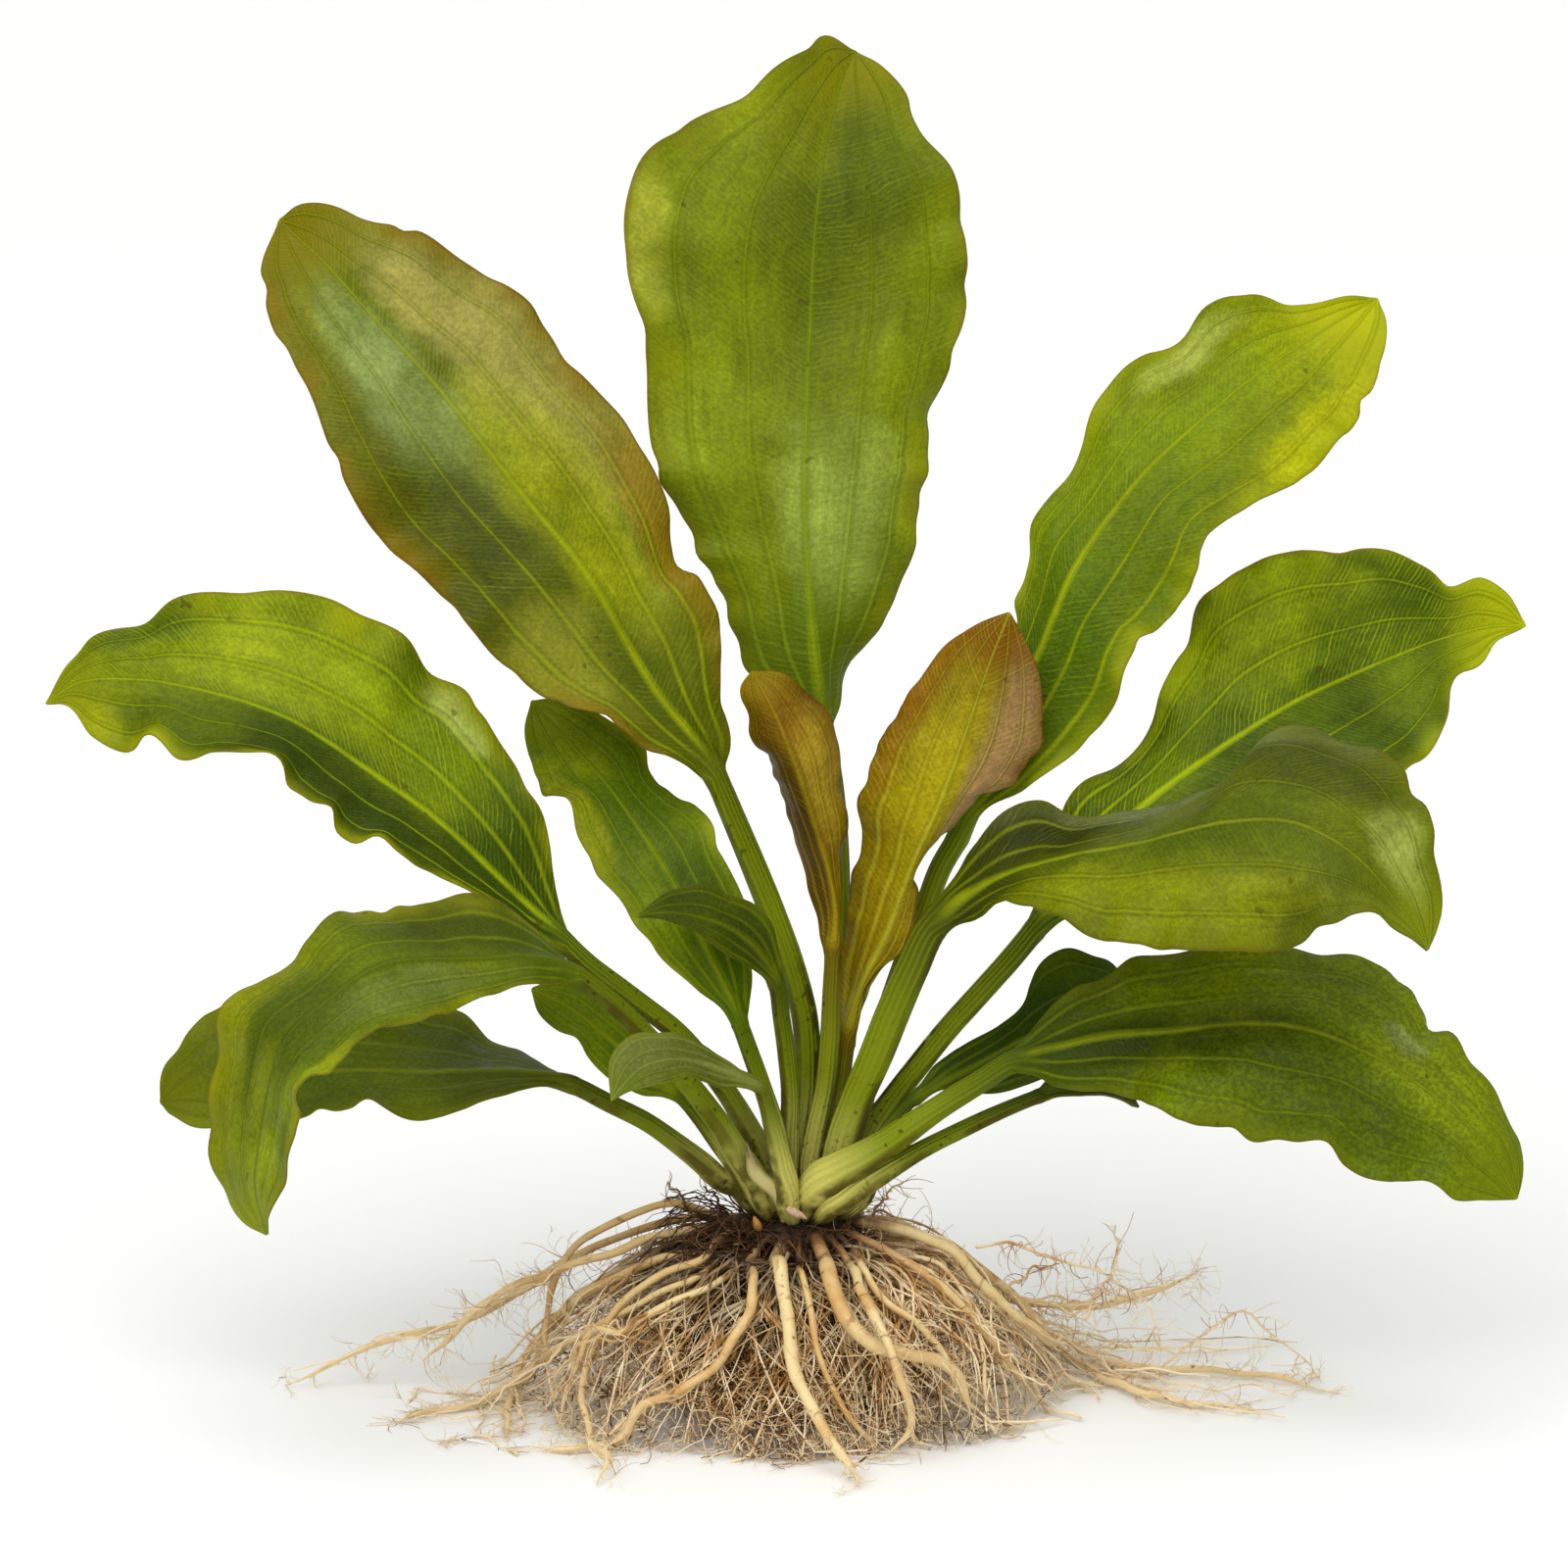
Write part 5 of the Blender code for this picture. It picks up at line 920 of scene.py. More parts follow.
def leaf_skin(leaf, look, props, seed):
    """Rings around a leaf, with what its material needs to know at every point."""
    left, middle, right, growth, spread = leaf.stations()
    # The lines along the leaf lie closer together near its margins.
    closer = 0.86
    u = np.sin(np.linspace(-1.0, 1.0, ACROSS) * math.pi / 2.0 * closer)
    u = u / math.sin(math.pi / 2.0 * closer)
    outer = np.abs(u)[None]
    blade = ease(growth, 0.0, 0.12)[:, None]
    w = u[None, :, None]
    centre = middle[:, None, :]
    swing = (right - left)[:, None, :] / 2.0
    bow = (right + left)[:, None, :] / 2.0 - centre
    along = np.concatenate([[0.0], np.cumsum(np.linalg.norm(np.diff(middle, axis=0), axis=1))])
    along = along[:, None] - np.interp(0.0, growth, along)
    half = np.linalg.norm(left - middle, axis=1) + np.linalg.norm(right - middle, axis=1)
    half = half[:, None] / 2.0
    v = np.clip(growth, 0.0, 1.0)[:, None]
    taper = ease(v, 0.0, 0.1) * (1.0 - ease(v, 0.9, 1.0))
    phase = np.where(u > 0.0, seed * 1.7, seed * 2.9)[None]
    bites = np.where(u[None] > 0.0, notches(along, seed + 70), notches(along, seed + 90))
    bites = bites * np.minimum(half / 16.0, 1.0) * taper / half
    w = w * (1.0 + (bites * outer**3)[:, :, None])
    curved = centre + swing * w + bow * w**2
    straight = centre + swing * w + bow * np.abs(w)
    sheet = curved * 0.55 + straight * 0.45
    across = u[None] * half
    d = np.abs(across)
    run = np.gradient(sheet, axis=0)
    side = -np.gradient(sheet, axis=1)
    face = unit(np.cross(run, side))
    wave = look["wave"]
    waver = along + 0.22 * wave * np.sin(along * 2.0 * math.pi / (wave * 3.1) + phase)
    ruffle = np.sin(waver * 2.0 * math.pi / wave + phase)
    ruffle = ruffle * (0.75 + 0.45 * np.sin(along / 13.0 + 1.3 * phase))
    frill = np.sin(waver * 2.0 * math.pi / (wave * 0.44) + 2.0 * phase)
    ruffle = ruffle + 0.32 * frill * (0.5 + 0.5 * np.sin(along / 17.0 + 2.1 * phase))
    edge = np.minimum(half * 0.055, 1.25)
    lift = ruffle * look["ruffle"] * props.ruffle * outer**2.8 * edge * taper
    pillow = np.sin(math.pi * np.clip(outer / look["veins"], 0.0, 4.0)) ** 2
    full_width = np.minimum(half / 20.0, 1.0)
    lift = lift + 0.34 * pillow * taper * full_width
    lift = lift + 1.7 * swell(across, along, seed, 38.0) * taper * full_width
    lift = lift + 0.12 * swell(across, along, seed + 50, 6.0) * taper
    r = spread[:, None]
    tube = r * np.sqrt(np.maximum(1.0 - (d / r) ** 2, 0.0))
    bell = r * np.exp(-1.5 * (d / r) ** 2)
    stem = tube * (1.0 - blade) + bell * blade
    ribs = 1.0 + 0.035 * (1.0 - blade) * np.cos(u * 19.0 + seed)[None]
    vein = 0.0
    for order in (1, 2, 3):
        place = order * look["veins"]
        if place < 0.95:
            vein = vein + np.exp(-(((np.abs(across) - place * half) / 0.6) ** 2))
    sheet_half = 0.16 + 0.12 * (1.0 - outer**2)
    over = stem * ribs * (0.85 - 0.55 * blade) + sheet_half + 0.10 * vein * taper
    under = stem * ribs * (0.85 + 0.15 * blade) + sheet_half + 0.20 * vein * taper
    top = sheet + face * (lift + over)[:, :, None]
    bottom = sheet + face * (lift - under)[:, :, None]
    rings = np.concatenate([top, bottom[:, ::-1]], axis=1)
    rings[:, :, 2] = np.maximum(rings[:, :, 2], 0.12)
    full = np.ones_like(across)
    place = np.stack([u[None] * full, growth[:, None] * full, full], axis=2)
    under_place = place[:, ::-1].copy()
    under_place[:, :, 2] = 0.0
    measure = np.stack([across, along * full, half * full], axis=2)
    traits = {
        "leaf_place": np.concatenate([place, under_place], axis=1),
        "leaf_mm": np.concatenate([measure, measure[:, ::-1]], axis=1),
    }
    return rings, traits


def make_leaf(name, leaf, props, seed):
    """One leaf, from its foot on the crown to its tip."""
    look = {**COMMON_LOOK, **LEAF_LOOKS[name]}
    rings, traits = leaf_skin(leaf, look, props, seed)
    piece = rolled(name + "_living", rings, traits)
    reach = -float(traits["leaf_mm"][0, 0, 1])
    finish_piece(piece, living_leaf(name, look, props, reach), look["slot"], name)


def living_leaf(name, look, props, reach):
    """Living leaf blade: a waxy skin over green tissue, grown, never polished.

    The eye sees paler veins that run from base to tip, fine cross-veins that climb
    between them, a yellower ruffled margin with a thin brown rim, a soft broken
    sheen, a dull paler underside, and a stalk that pales towards the crown. Painted
    sheen and highlights lie in greyish pale patches, and painted shade in darker
    patches, beside the long veins and along the stalk's edges near the crown.
    """
    material, add, shader, spot = new_material("waxy_living_" + name)
    u, v, top = trait_of(add, "leaf_place")
    across, along, half = trait_of(add, "leaf_mm")

    def tone(colour):
        red, green, blue, alpha = linear(colour)
        gain = props.depth * (max(red, green) / 0.16) ** look.get("contrast", props.contrast)
        # Greyish colours stand for sheen; the others hold next to no blue.
        share = 0.02 + 0.8 * float(ease(blue, 0.03, 0.12))
        return (red * gain, green * gain, blue * gain * share, alpha)

    base, deep, vein = tone(look["base"]), tone(look["deep"]), tone(look["vein"])
    up = add("Math", along, reach, **PLUS)
    outward = add("Math", u, **SIZE)
    aside = add("Math", across, **SIZE)
    broad = add("TexNoise", spot, Scale=42.0, Detail=1.0)
    patchy = add("TexNoise", spot, Scale=240.0, Detail=3.0)
    uneven = add("TexNoise", spot, Scale=75.0, Detail=4.0)
    # Groups of cells some 0.8 mm wide, real ones being far smaller, so that they show.
    cells = add("TexVoronoi", spot, Scale=1250.0)
    colour = layer(add, deep, tone(look["light"]), 1.0, (broad, 0.38, 0.7, 0.0, 0.75))
    # Patches: the leaf's own paler and darker tones, painted sheen and highlights in the greyish
    # pale ones, and painted shade in the dark bands and folds.
    for at_u, at_v, reach_u, reach_v, tint, strength in look["patches"]:
        off_u = add("Math", add("Math", u, at_u, **LESS), reach_u * 1.5, **OVER)
        off_v = add("Math", add("Math", v, at_v, **LESS), reach_v * 1.5, **OVER)
        off_u = add("Math", off_u, off_u, **TIMES)
        off_v = add("Math", off_v, off_v, **TIMES)
        frayed = add("Math", add("Math", uneven, 0.5, **LESS), 1.5, **TIMES)
        off = add("Math", add("Math", off_u, off_v, **PLUS), frayed, **PLUS)
        colour = layer(add, colour, tone(tint), 1.0, (off, 0.0, 1.0, strength, 0.0))
    colour = layer(add, colour, deep, 0.22, (patchy, 0.45, 0.75))
    mottle = add("TexNoise", spot, Scale=1100.0, Detail=3.0, Roughness=0.65)
    grain = look["grain"]
    # Soft streaks a few mm wide that run along the blade between the veins.
    drawn_out = [add("Math", u, 9.0, **TIMES), add("Math", along, 0.035, **TIMES), top]
    streak = add("TexNoise", add("CombineXYZ", *drawn_out), Scale=1.3, Detail=4.0, Roughness=0.6)
    for pattern, low, high, at_low, at_high, brightness in (
        (uneven, 0.5, 0.68, 0.0, 1.0, 0.84), (uneven, 0.32, 0.5, 1.0, 0.0, 1.17),
        (mottle, 0.46, 0.62, 0.0, grain, 0.74), (mottle, 0.34, 0.52, grain, 0.0, 1.28),
        (streak, 0.52, 0.72, 0.0, 1.0, 0.8), (streak, 0.28, 0.48, 1.0, 0.0, 1.2),
    ):
        share = add("MapRange", pattern, low, high, at_low, at_high, **SOFT)
        shade = (brightness, brightness, brightness * 0.96, 1.0)
        colour = add("Mix", share, colour, shade, blend_type="MULTIPLY", **RGBA)
    low = add("Math", 1.0, add("MapRange", v, 0.02, 0.34, **SOFT), **LESS)
    colour = layer(add, colour, base, 0.75, low)
    tipward = add("Math", v, add("Math", broad, 0.12, **TIMES), **PLUS)
    colour = layer(add, colour, tone(look["tip"]), 1.0, (tipward, 0.86, 1.06))
    rough_edge = add("Math", outward, add("Math", broad, 0.3, **TIMES), **PLUS)
    folds = add("TexNoise", spot, Scale=62.0, Detail=1.0)
    in_folds = (folds, 0.42, 0.64, 0.12, 0.85)
    colour = layer(add, colour, tone(look["margin"]), 1.0, (rough_edge, 0.84, 1.2), in_folds)

    # Cross-veins, drawn further apart than real ones so that they show.
    leaning = add("MapRange", u, -0.05, 0.05, *look["lean"])
    climb = add("Math", along, add("Math", aside, leaning, **TIMES), **LESS)
    climb = add("Math", climb, add("Math", patchy, 1.7, **TIMES), **PLUS)
    climb = add("Math", climb, add("Math", uneven, 3.2, **TIMES), **PLUS)
    stripe = add("Math", climb, 2.0 * math.pi / props.cross_vein_step, **TIMES)
    stripe = add("Math", stripe, **SINE)
    on_blade = add("MapRange", v, 0.0, 0.08, **SOFT)
    # Some are stout and most are faint, so their strength changes along the blade.
    stout = add("Math", climb, 0.9, **TIMES)
    stout = add("TexNoise", stout, Scale=1.0, Detail=1.0, noise_dimensions="1D")
    faint = add("TexNoise", spot, Scale=170.0, Detail=3.0)
    fade = add(
        "Math", add("MapRange", stout, 0.38, 0.62, 0.3, 1.0, **SOFT),
        add("MapRange", faint, 0.34, 0.6, 0.3, 1.0, **SOFT), **TIMES,
    )
    fade = add("Math", on_blade, fade, **TIMES)
    share = add("MapRange", u, -0.06, 0.06, *look["threads"], **SOFT)
    colour = layer(add, colour, vein, 1.0, (stripe, 0.1, 1.0), fade, share)

    # Long veins, each as far from the next as look["veins"] says.
    beside = add("Math", outward, look["veins"] / 2.0, operation="PINGPONG")
    beside = add("Math", beside, half, **TIMES)
    narrow = add("MapRange", v, 0.0, 1.0, 1.0, 0.4, **SOFT)
    narrow = add("Math", narrow, props.vein_width / 2.0, **TIMES)
    close = add("Math", beside, narrow, **OVER)
    long_vein = add("MapRange", close, 0.2, 1.5, 1.0, 0.0, **SOFT)
    long_vein = add("Math", long_vein, on_blade, **TIMES)
    # Painted shade: a darker band beside each long vein, where the grooves would lie in shade.
    vein_side_shade = ((close, 1.0, 1.9), (close, 1.9, 3.4, 1.0, 0.0), on_blade)
    colour = layer(add, colour, base, 0.35, *vein_side_shade)
    worn = add("TexNoise", spot, Scale=180.0, Detail=2.0)
    worn = add("MapRange", worn, 0.35, 0.6, 0.7, 1.0, **SOFT)
    strength = add("Math", add("MapRange", v, 0.1, 0.9, 0.55, 0.32, **SOFT), worn, **TIMES)
    strength = add("Math", strength, look["plain"], **TIMES)
    colour = layer(add, colour, vein, 1.0, long_vein, strength)
    rib = add("Math", aside, add("MapRange", v, 0.0, 0.95, 1.15, 0.35, **SOFT), **OVER)
    rib = add("Math", add("MapRange", rib, 0.3, 1.3, 1.0, 0.0, **SOFT), on_blade, **TIMES)
    strength = add("Math", add("MapRange", v, 0.1, 0.9, 0.7, 0.4, **SOFT), worn, **TIMES)
    colour = layer(add, colour, tone(look.get("rib", look["vein"])), 1.0, rib, strength)

    colour = layer(add, colour, tone(look["rim"]), 0.6, (outward, 0.962, 0.995), on_blade)
    speck = add("TexNoise", spot, Scale=420.0, Detail=1.0)
    crowded = add("TexNoise", spot, Scale=60.0, Detail=1.0)
    colour = layer(
        add, colour, tone("#5A4A1C"), 0.55, (speck, 0.7, 0.76), (crowded, 0.52, 0.66)
    )

    # The stalk: pale cream-green in its sheath at the crown, ridged lengthwise,
    # with brownish edges and painted shade along its edges near the crown. How far
    # up each colour reaches is in mm from its foot.
    sheath = add("Math", up, add("Math", broad, 10.0, **TIMES), **PLUS)
    foot, stem = (*props.sheath_colour, 1.0), (*props.stalk_colour, 1.0)
    stalk = layer(add, foot, stem, 1.0, (sheath, 14.0, 38.0))
    stalk = layer(add, stalk, base, 1.0, (v, -0.4, 0.0, 0.0, 0.7))
    ridges = add("Math", u, 17.0, **TIMES)
    ridges = add("Math", ridges, add("Math", broad, 5.0, **TIMES), **PLUS)
    ridges = add("Math", ridges, **SINE)
    stalk = layer(add, stalk, vein, 0.3, (ridges, -0.2, 1.0))
    browned = add("TexNoise", spot, Scale=90.0, Detail=2.0)
    stalk = layer(
        add, stalk, tone("#5B4414"), 0.7, (rough_edge, 0.9, 1.12), (up, 9.0, 24.0),
        (browned, 0.4, 0.62),
    )
    if "brown" in look:
        # A bruised streak along one side, a few cm above the crown.
        at_u, strength = look["brown"]
        beside_streak = add("Math", add("Math", u, at_u, **LESS), **SIZE)
        stalk = layer(
            add, stalk, tone("#513A12"), 1.0, (beside_streak, 0.12, 0.42, strength, 0.0),
            (up, 20.0, 30.0), (up, 46.0, 60.0, 1.0, 0.0), (patchy, 0.34, 0.5),
        )
    # Painted shade: darker along the stalk's edges low down, near the crown.
    stalk = layer(
        add, stalk, tone("#54401A"), 0.85, (rough_edge, 0.86, 1.1),
        (up, 12.0, 38.0, 1.0, 0.0), (patchy, 0.34, 0.55, 0.25, 1.0),
    )
    stalk = layer(
        add, stalk, tone("#40280E"), 0.85, (up, 3.5, 8.0, 1.0, 0.0), (patchy, 0.36, 0.56)
    )
    dots = add("TexNoise", spot, Scale=700.0, Detail=1.0)
    stalk = layer(add, stalk, tone("#3E3010"), 0.7, (dots, 0.66, 0.72), (broad, 0.45, 0.6))
    colour = layer(add, stalk, colour, 1.0, (v, -0.02, 0.05))
    dull = add("Mix", 0.45, colour, tone("#8B9258"), **RGBA)
    under = add("MapRange", top, 0.45, 0.55, 1.0, 0.0, **SOFT)
    under = add("Math", under, on_blade, **TIMES)
    colour = layer(add, colour, dull, 1.0, under)

    gloss = (props.roughness - 0.05, props.roughness + 0.14)
    gloss = add("MapRange", patchy, 0.3, 0.7, *gloss, **SOFT)
    gloss = add("Math", gloss, add("Math", under, 0.18, **TIMES), **PLUS)
    height = add("Math", fade, add("Math", share, 0.6, **TIMES), **TIMES)
    height = add("Math", stripe, height, **TIMES)
    for pattern, amount in ((long_vein, 1.6), (cells, -0.9), (patchy, 1.2)):
        height = add("Math", height, add("Math", pattern, amount, **TIMES), **PLUS)
    on_stalk = add("MapRange", v, -0.02, 0.04, 1.0, 0.0, **SOFT)
    ridges = add("Math", ridges, add("Math", on_stalk, 0.8, **TIMES), **TIMES)
    height = add("Math", height, ridges, **PLUS)
    bump = add("Bump", Height=height, Strength=0.75, Distance=0.00018)
    feed(shader, {
        "Base Color": colour, "Roughness": gloss, "Normal": bump, "IOR": 1.45,
        "Specular IOR Level": 0.1,
    })
    return material


def leave_crown(azimuth, height, radius):
    """The first two points of a root that grows out of the crown's side."""
    turn = math.radians(azimuth)
    ray = Vector((math.cos(turn), math.sin(turn), 0.0))
    reach = CROWN_RADIUS + GAP
    reach -= max(CROWN_TOP - 6.0 - height - radius, 0.0) * 0.6
    start = Vector((CROWN_X, CROWN_Y, height)) + ray * reach
    return [start, start + ray * (radius + 1.0)]


def clear_of_roots(points, radii, laid):
    """The points of a root, raised until it passes over the roots it crosses."""
    if not laid:
        return points
    tree = KDTree(len(laid))
    for i, (place, _) in enumerate(laid):
        tree.insert(place, i)
    tree.balance()
    last = len(points) - 1
    most_rounds, sight = 60, 5.0
    for _ in range(most_rounds):
        pushes = [0.0] * len(points)
        for i in range(1, last):
            for k in range(6):
                t = k / 5.0
                place = points[i].lerp(points[i + 1], t)
                radius = blend(radii, (i + t) / last)
                for _, index, distance in tree.find_range(place, sight):
                    short = radius + laid[index][1] + GAP - distance
                    if short > 0.0:
                        pushes[i] = max(pushes[i], short * (1.0 - t) + 0.05)
                        pushes[i + 1] = max(pushes[i + 1], short * t + 0.05)
        if max(pushes) == 0.0:
            break
        for i in range(2, last + 1):
            points[i] = points[i] + Vector((0.0, 0.0, pushes[i]))
    return points


def root_path(start, route, radii, lift):
    """Points of a root from the crown's side along a route.

    A route point (across, up) lies on the mass or on the surface around it,
    and (across, up, back) hangs free at that depth.
    """
    path = leave_crown(*start, radii[0])
    for i, point in enumerate(route):
        share = (i + 1) / len(route)
        radius = blend(radii, share)
        if len(point) == 3:
            path.append(seen(*point))
        else:
            left_over = 1.0 - share**3
            path.append(resting(*point, radius + GAP + (RIDGE_DEPTH + lift) * left_over))
    return path


def back_root_path(start, reach, swing, radii):
    """Points of a root that runs over the back of the mass to the surface."""
    path = leave_crown(*start, radii[0])
    for i in range(1, 8):
        share = i / 7
        turn = math.radians(start[0] + swing * math.sin(share * 2.6))
        distance = CROWN_RADIUS + 4.0 + (reach - CROWN_RADIUS - 4.0) * share
        x = CROWN_X + distance * math.cos(turn)
        y = CROWN_Y + distance * math.sin(turn)
        z = mound_height(x, y) + blend(radii, share) + GAP + RIDGE_DEPTH * (1.0 - share**3)
        path.append(Vector((x, y, z)))
    return path


def root_paths():
    """Path and radii of every thick root, each laid over the ones before it."""
    laid = []
    paths = {}
    for name, (start, route, radii, lift, points) in THICK_ROOTS.items():
        if name in BACK_ROOTS:
            path = back_root_path(start, *BACK_ROOTS[name], radii)
        else:
            path = root_path(start, route, radii, lift)
        shares = np.arange(points - 1) / (points - 2)
        path = path[:1] + [Vector(point) for point in smooth_path(path[1:], shares)]
        last = len(path) - 1
        raised = [above_mound(path[i], blend(radii, i / last)) for i in range(2, last + 1)]
        path = clear_of_roots(path[:2] + raised, radii, laid)
        for i in range(last):
            for k in range(6):
                place = path[i].lerp(path[i + 1], k / 6.0)
                laid.append((place, blend(radii, (i + k / 6.0) / last)))
        paths[name] = (path, radii)
    return paths


def frames(paths):
    """Directions across each of several paths, an array of paths by points by 3."""
    run = unit(np.gradient(paths, axis=1))
    guide = np.zeros_like(run)
    guide[..., 2] = 1.0
    guide[np.abs(run[..., 2]) > 0.92] = (1.0, 0.0, 0.0)
    side = unit(np.cross(run, guide))
    for i in range(1, paths.shape[1]):
        kept = side[:, i - 1] - run[:, i] * (side[:, i - 1] * run[:, i]).sum(-1, keepdims=True)
        side[:, i] = unit(kept)
    return side, np.cross(run, side)


def near_crown(add, spot, near, far, aside=0.0):
    """How close a spot is to the crown: 1 within near mm of it, 0 beyond far mm.

    aside: how far to the right of the crown its middle lies, in mm.
    """
    crown = ((CROWN_X + aside) * MM, CROWN_Y * MM, SOIL_HEIGHT * MM)
    gap = add("VectorMath", spot, crown, operation="DISTANCE")
    uneven = add("TexNoise", spot, Scale=220.0, Detail=2.0)
    gap = add("Math", uneven, 2.0 * SOIL_UNEVEN * MM, gap, operation="MULTIPLY_ADD")
    low, high = (near + SOIL_UNEVEN) * MM, (far + SOIL_UNEVEN) * MM
    return add("MapRange", gap, low, high, 1.0, 0.0, **SOFT)


def make_thick_root(name, path, radii, props, seed):
    """One fleshy root, a little uneven, with the faint rings it grew by."""
    chance = np.random.default_rng(seed)
    shares = np.linspace(0.0, 1.0, ROOT_STATIONS)
    axis = Vector((CROWN_X, CROWN_Y, 0.0))
    outward = (path[0] - axis) * Vector((1.0, 1.0, 0.0))
    top = min(path[0].z + 5.5, max(path[0].z + 1.0, 37.5))
    inside = axis + outward * 0.64 + Vector((0.0, 0.0, top))
    foot = path[0] * 0.5 + path[1] * 0.5 + Vector((0.0, 0.0, 0.4))
    line = smooth_path([inside, foot] + path[2:], shares)
    length = np.linalg.norm(np.diff(line, axis=0), axis=1).sum()
    along = shares * length
    bend = ease(shares, 0.05, 0.2)
    for k in range(3):
        pace = 2.0 * math.pi / chance.uniform(11.0, 22.0)
        line[:, k] += 0.22 * bend * np.sin(along * pace + chance.uniform(0.0, 6.0))
    radius = blend(radii, shares) * props.thickness
    radius = radius * (1.0 + 0.04 * np.sin(along / 3.1 + seed))
    for place in chance.uniform(0.15, 0.9, 4):
        radius = radius * (1.0 + 0.12 * np.exp(-(((along - place * length) / 0.8) ** 2)))
    radius = radius * (1.0 - 0.75 * ease(shares, 0.9, 1.0))
    side, face = frames(line[None])
    turn = circle(ROOT_SIDES)
    around = np.cos(turn)[None, :, None] * side[0][:, None]
    around = around + np.sin(turn)[None, :, None] * face[0][:, None]
    lumpy = 1.0 + 0.04 * np.sin(turn * 2.0 + seed)[None, :] * np.sin(along / 5.0)[:, None]
    rings = line[:, None] + around * (radius[:, None] * lumpy)[:, :, None]
    rings[:, :, 2] = np.maximum(rings[:, :, 2], 0.1)
    full = np.ones((ROOT_STATIONS, ROOT_SIDES))
    place = [shares[:, None] * full, (turn / 6.2832)[None] * full, chance.random() * full]
    place = np.stack(place, axis=2)
    measure = np.stack([along[:, None] * full, radius[:, None] * full, full], axis=2)
    piece = rolled(name + "_fleshy", rings, {"root_place": place, "root_mm": measure})
    finish_piece(piece, bpy.data.materials["fleshy_root"], "thick_root", name)


def fleshy_root(props):
    """Fleshy root skin: smooth living cork-free bark, washed clean of soil.

    The eye sees cream and straw yellow with a soft gloss, tan rings where growth
    paused, rust at the crown and small brown scars of side roots; painted light
    makes them paler far from the crown.
    """
    material, add, shader, spot = new_material("fleshy_root")
    chance = trait_of(add, "root_place")[2]
    along = trait_of(add, "root_mm")[0]
    patches = add("TexNoise", spot, Scale=95.0, Detail=3.0)
    grain = add("TexNoise", spot, Scale=900.0, Detail=3.0)
    cream, tan, rust = [(*part, 1.0) for part in (props.cream, props.tan, props.rust)]
    colour = layer(add, cream, tan, 1.0, (patches, 0.4, 0.75))
    colour = layer(add, colour, tan, 0.35, (chance, 0.3, 1.0))
    colour = layer(add, colour, rust, 0.2, (grain, 0.55, 0.8))
    shift = add("Math", patches, 14.0, **TIMES)
    rings = add("Math", add("Math", along, 0.9, **TIMES), shift, **PLUS)
    rings = add("MapRange", add("Math", rings, **SINE), 0.88, 1.0, **SOFT)
    sparse = add("TexNoise", spot, Scale=130.0, Detail=1.0)
    sparse = add("Math", rings, add("MapRange", sparse, 0.5, 0.66, **SOFT), **TIMES)
    colour = layer(add, colour, rust, 0.6, sparse)
    # Painted light: the roots are paler far from the crown, lifting the shade that the leaves cast
    # near it.
    near = near_crown(add, spot, 34.0, 78.0)
    colour = layer(add, colour, linear("#EFD6A4"), 1.0, (near, 0.0, 1.0, 0.75, 0.0))
    colour = layer(add, colour, rust, 0.8, near_crown(add, spot, 12.0, 27.0))
    soiled = near_crown(add, spot, 11.0, 20.0, aside=-2.5)
    colour = layer(add, colour, linear("#24150A"), 0.9, soiled)
    scars = add("TexNoise", spot, Scale=380.0, Detail=1.0)
    colour = layer(add, colour, linear("#5C3D1C"), 0.7, (scars, 0.69, 0.76))
    height = add("Math", grain, add("Math", sparse, -0.8, **TIMES), **PLUS)
    height = add("Math", height, add("Math", patches, 2.0, **TIMES), **PLUS)
    feed(shader, {
        "Base Color": colour, "Roughness": add("MapRange", grain, 0.3, 0.8, 0.42, 0.66, **SOFT),
        "IOR": 1.42, "Normal": add("Bump", Height=height, Strength=0.6, Distance=0.0002),
    })
    return material


def wander(chance, count, steps, length, size):
    """Smooth random offsets along many strands, of the given size in mm."""
    t = np.linspace(0.0, 1.0, steps)[None, :, None]
    total = np.zeros((count, steps, 3))
    for order in (1.0, 2.0, 3.3):
        pace = 2.0 * math.pi * order * (length / 34.0)[:, None, None]
        pace = pace * chance.uniform(0.7, 1.3, (count, 1, 3))
        total += np.sin(t * pace + chance.uniform(0.0, 2.0 * math.pi, (count, 1, 3))) / order
    return total * size


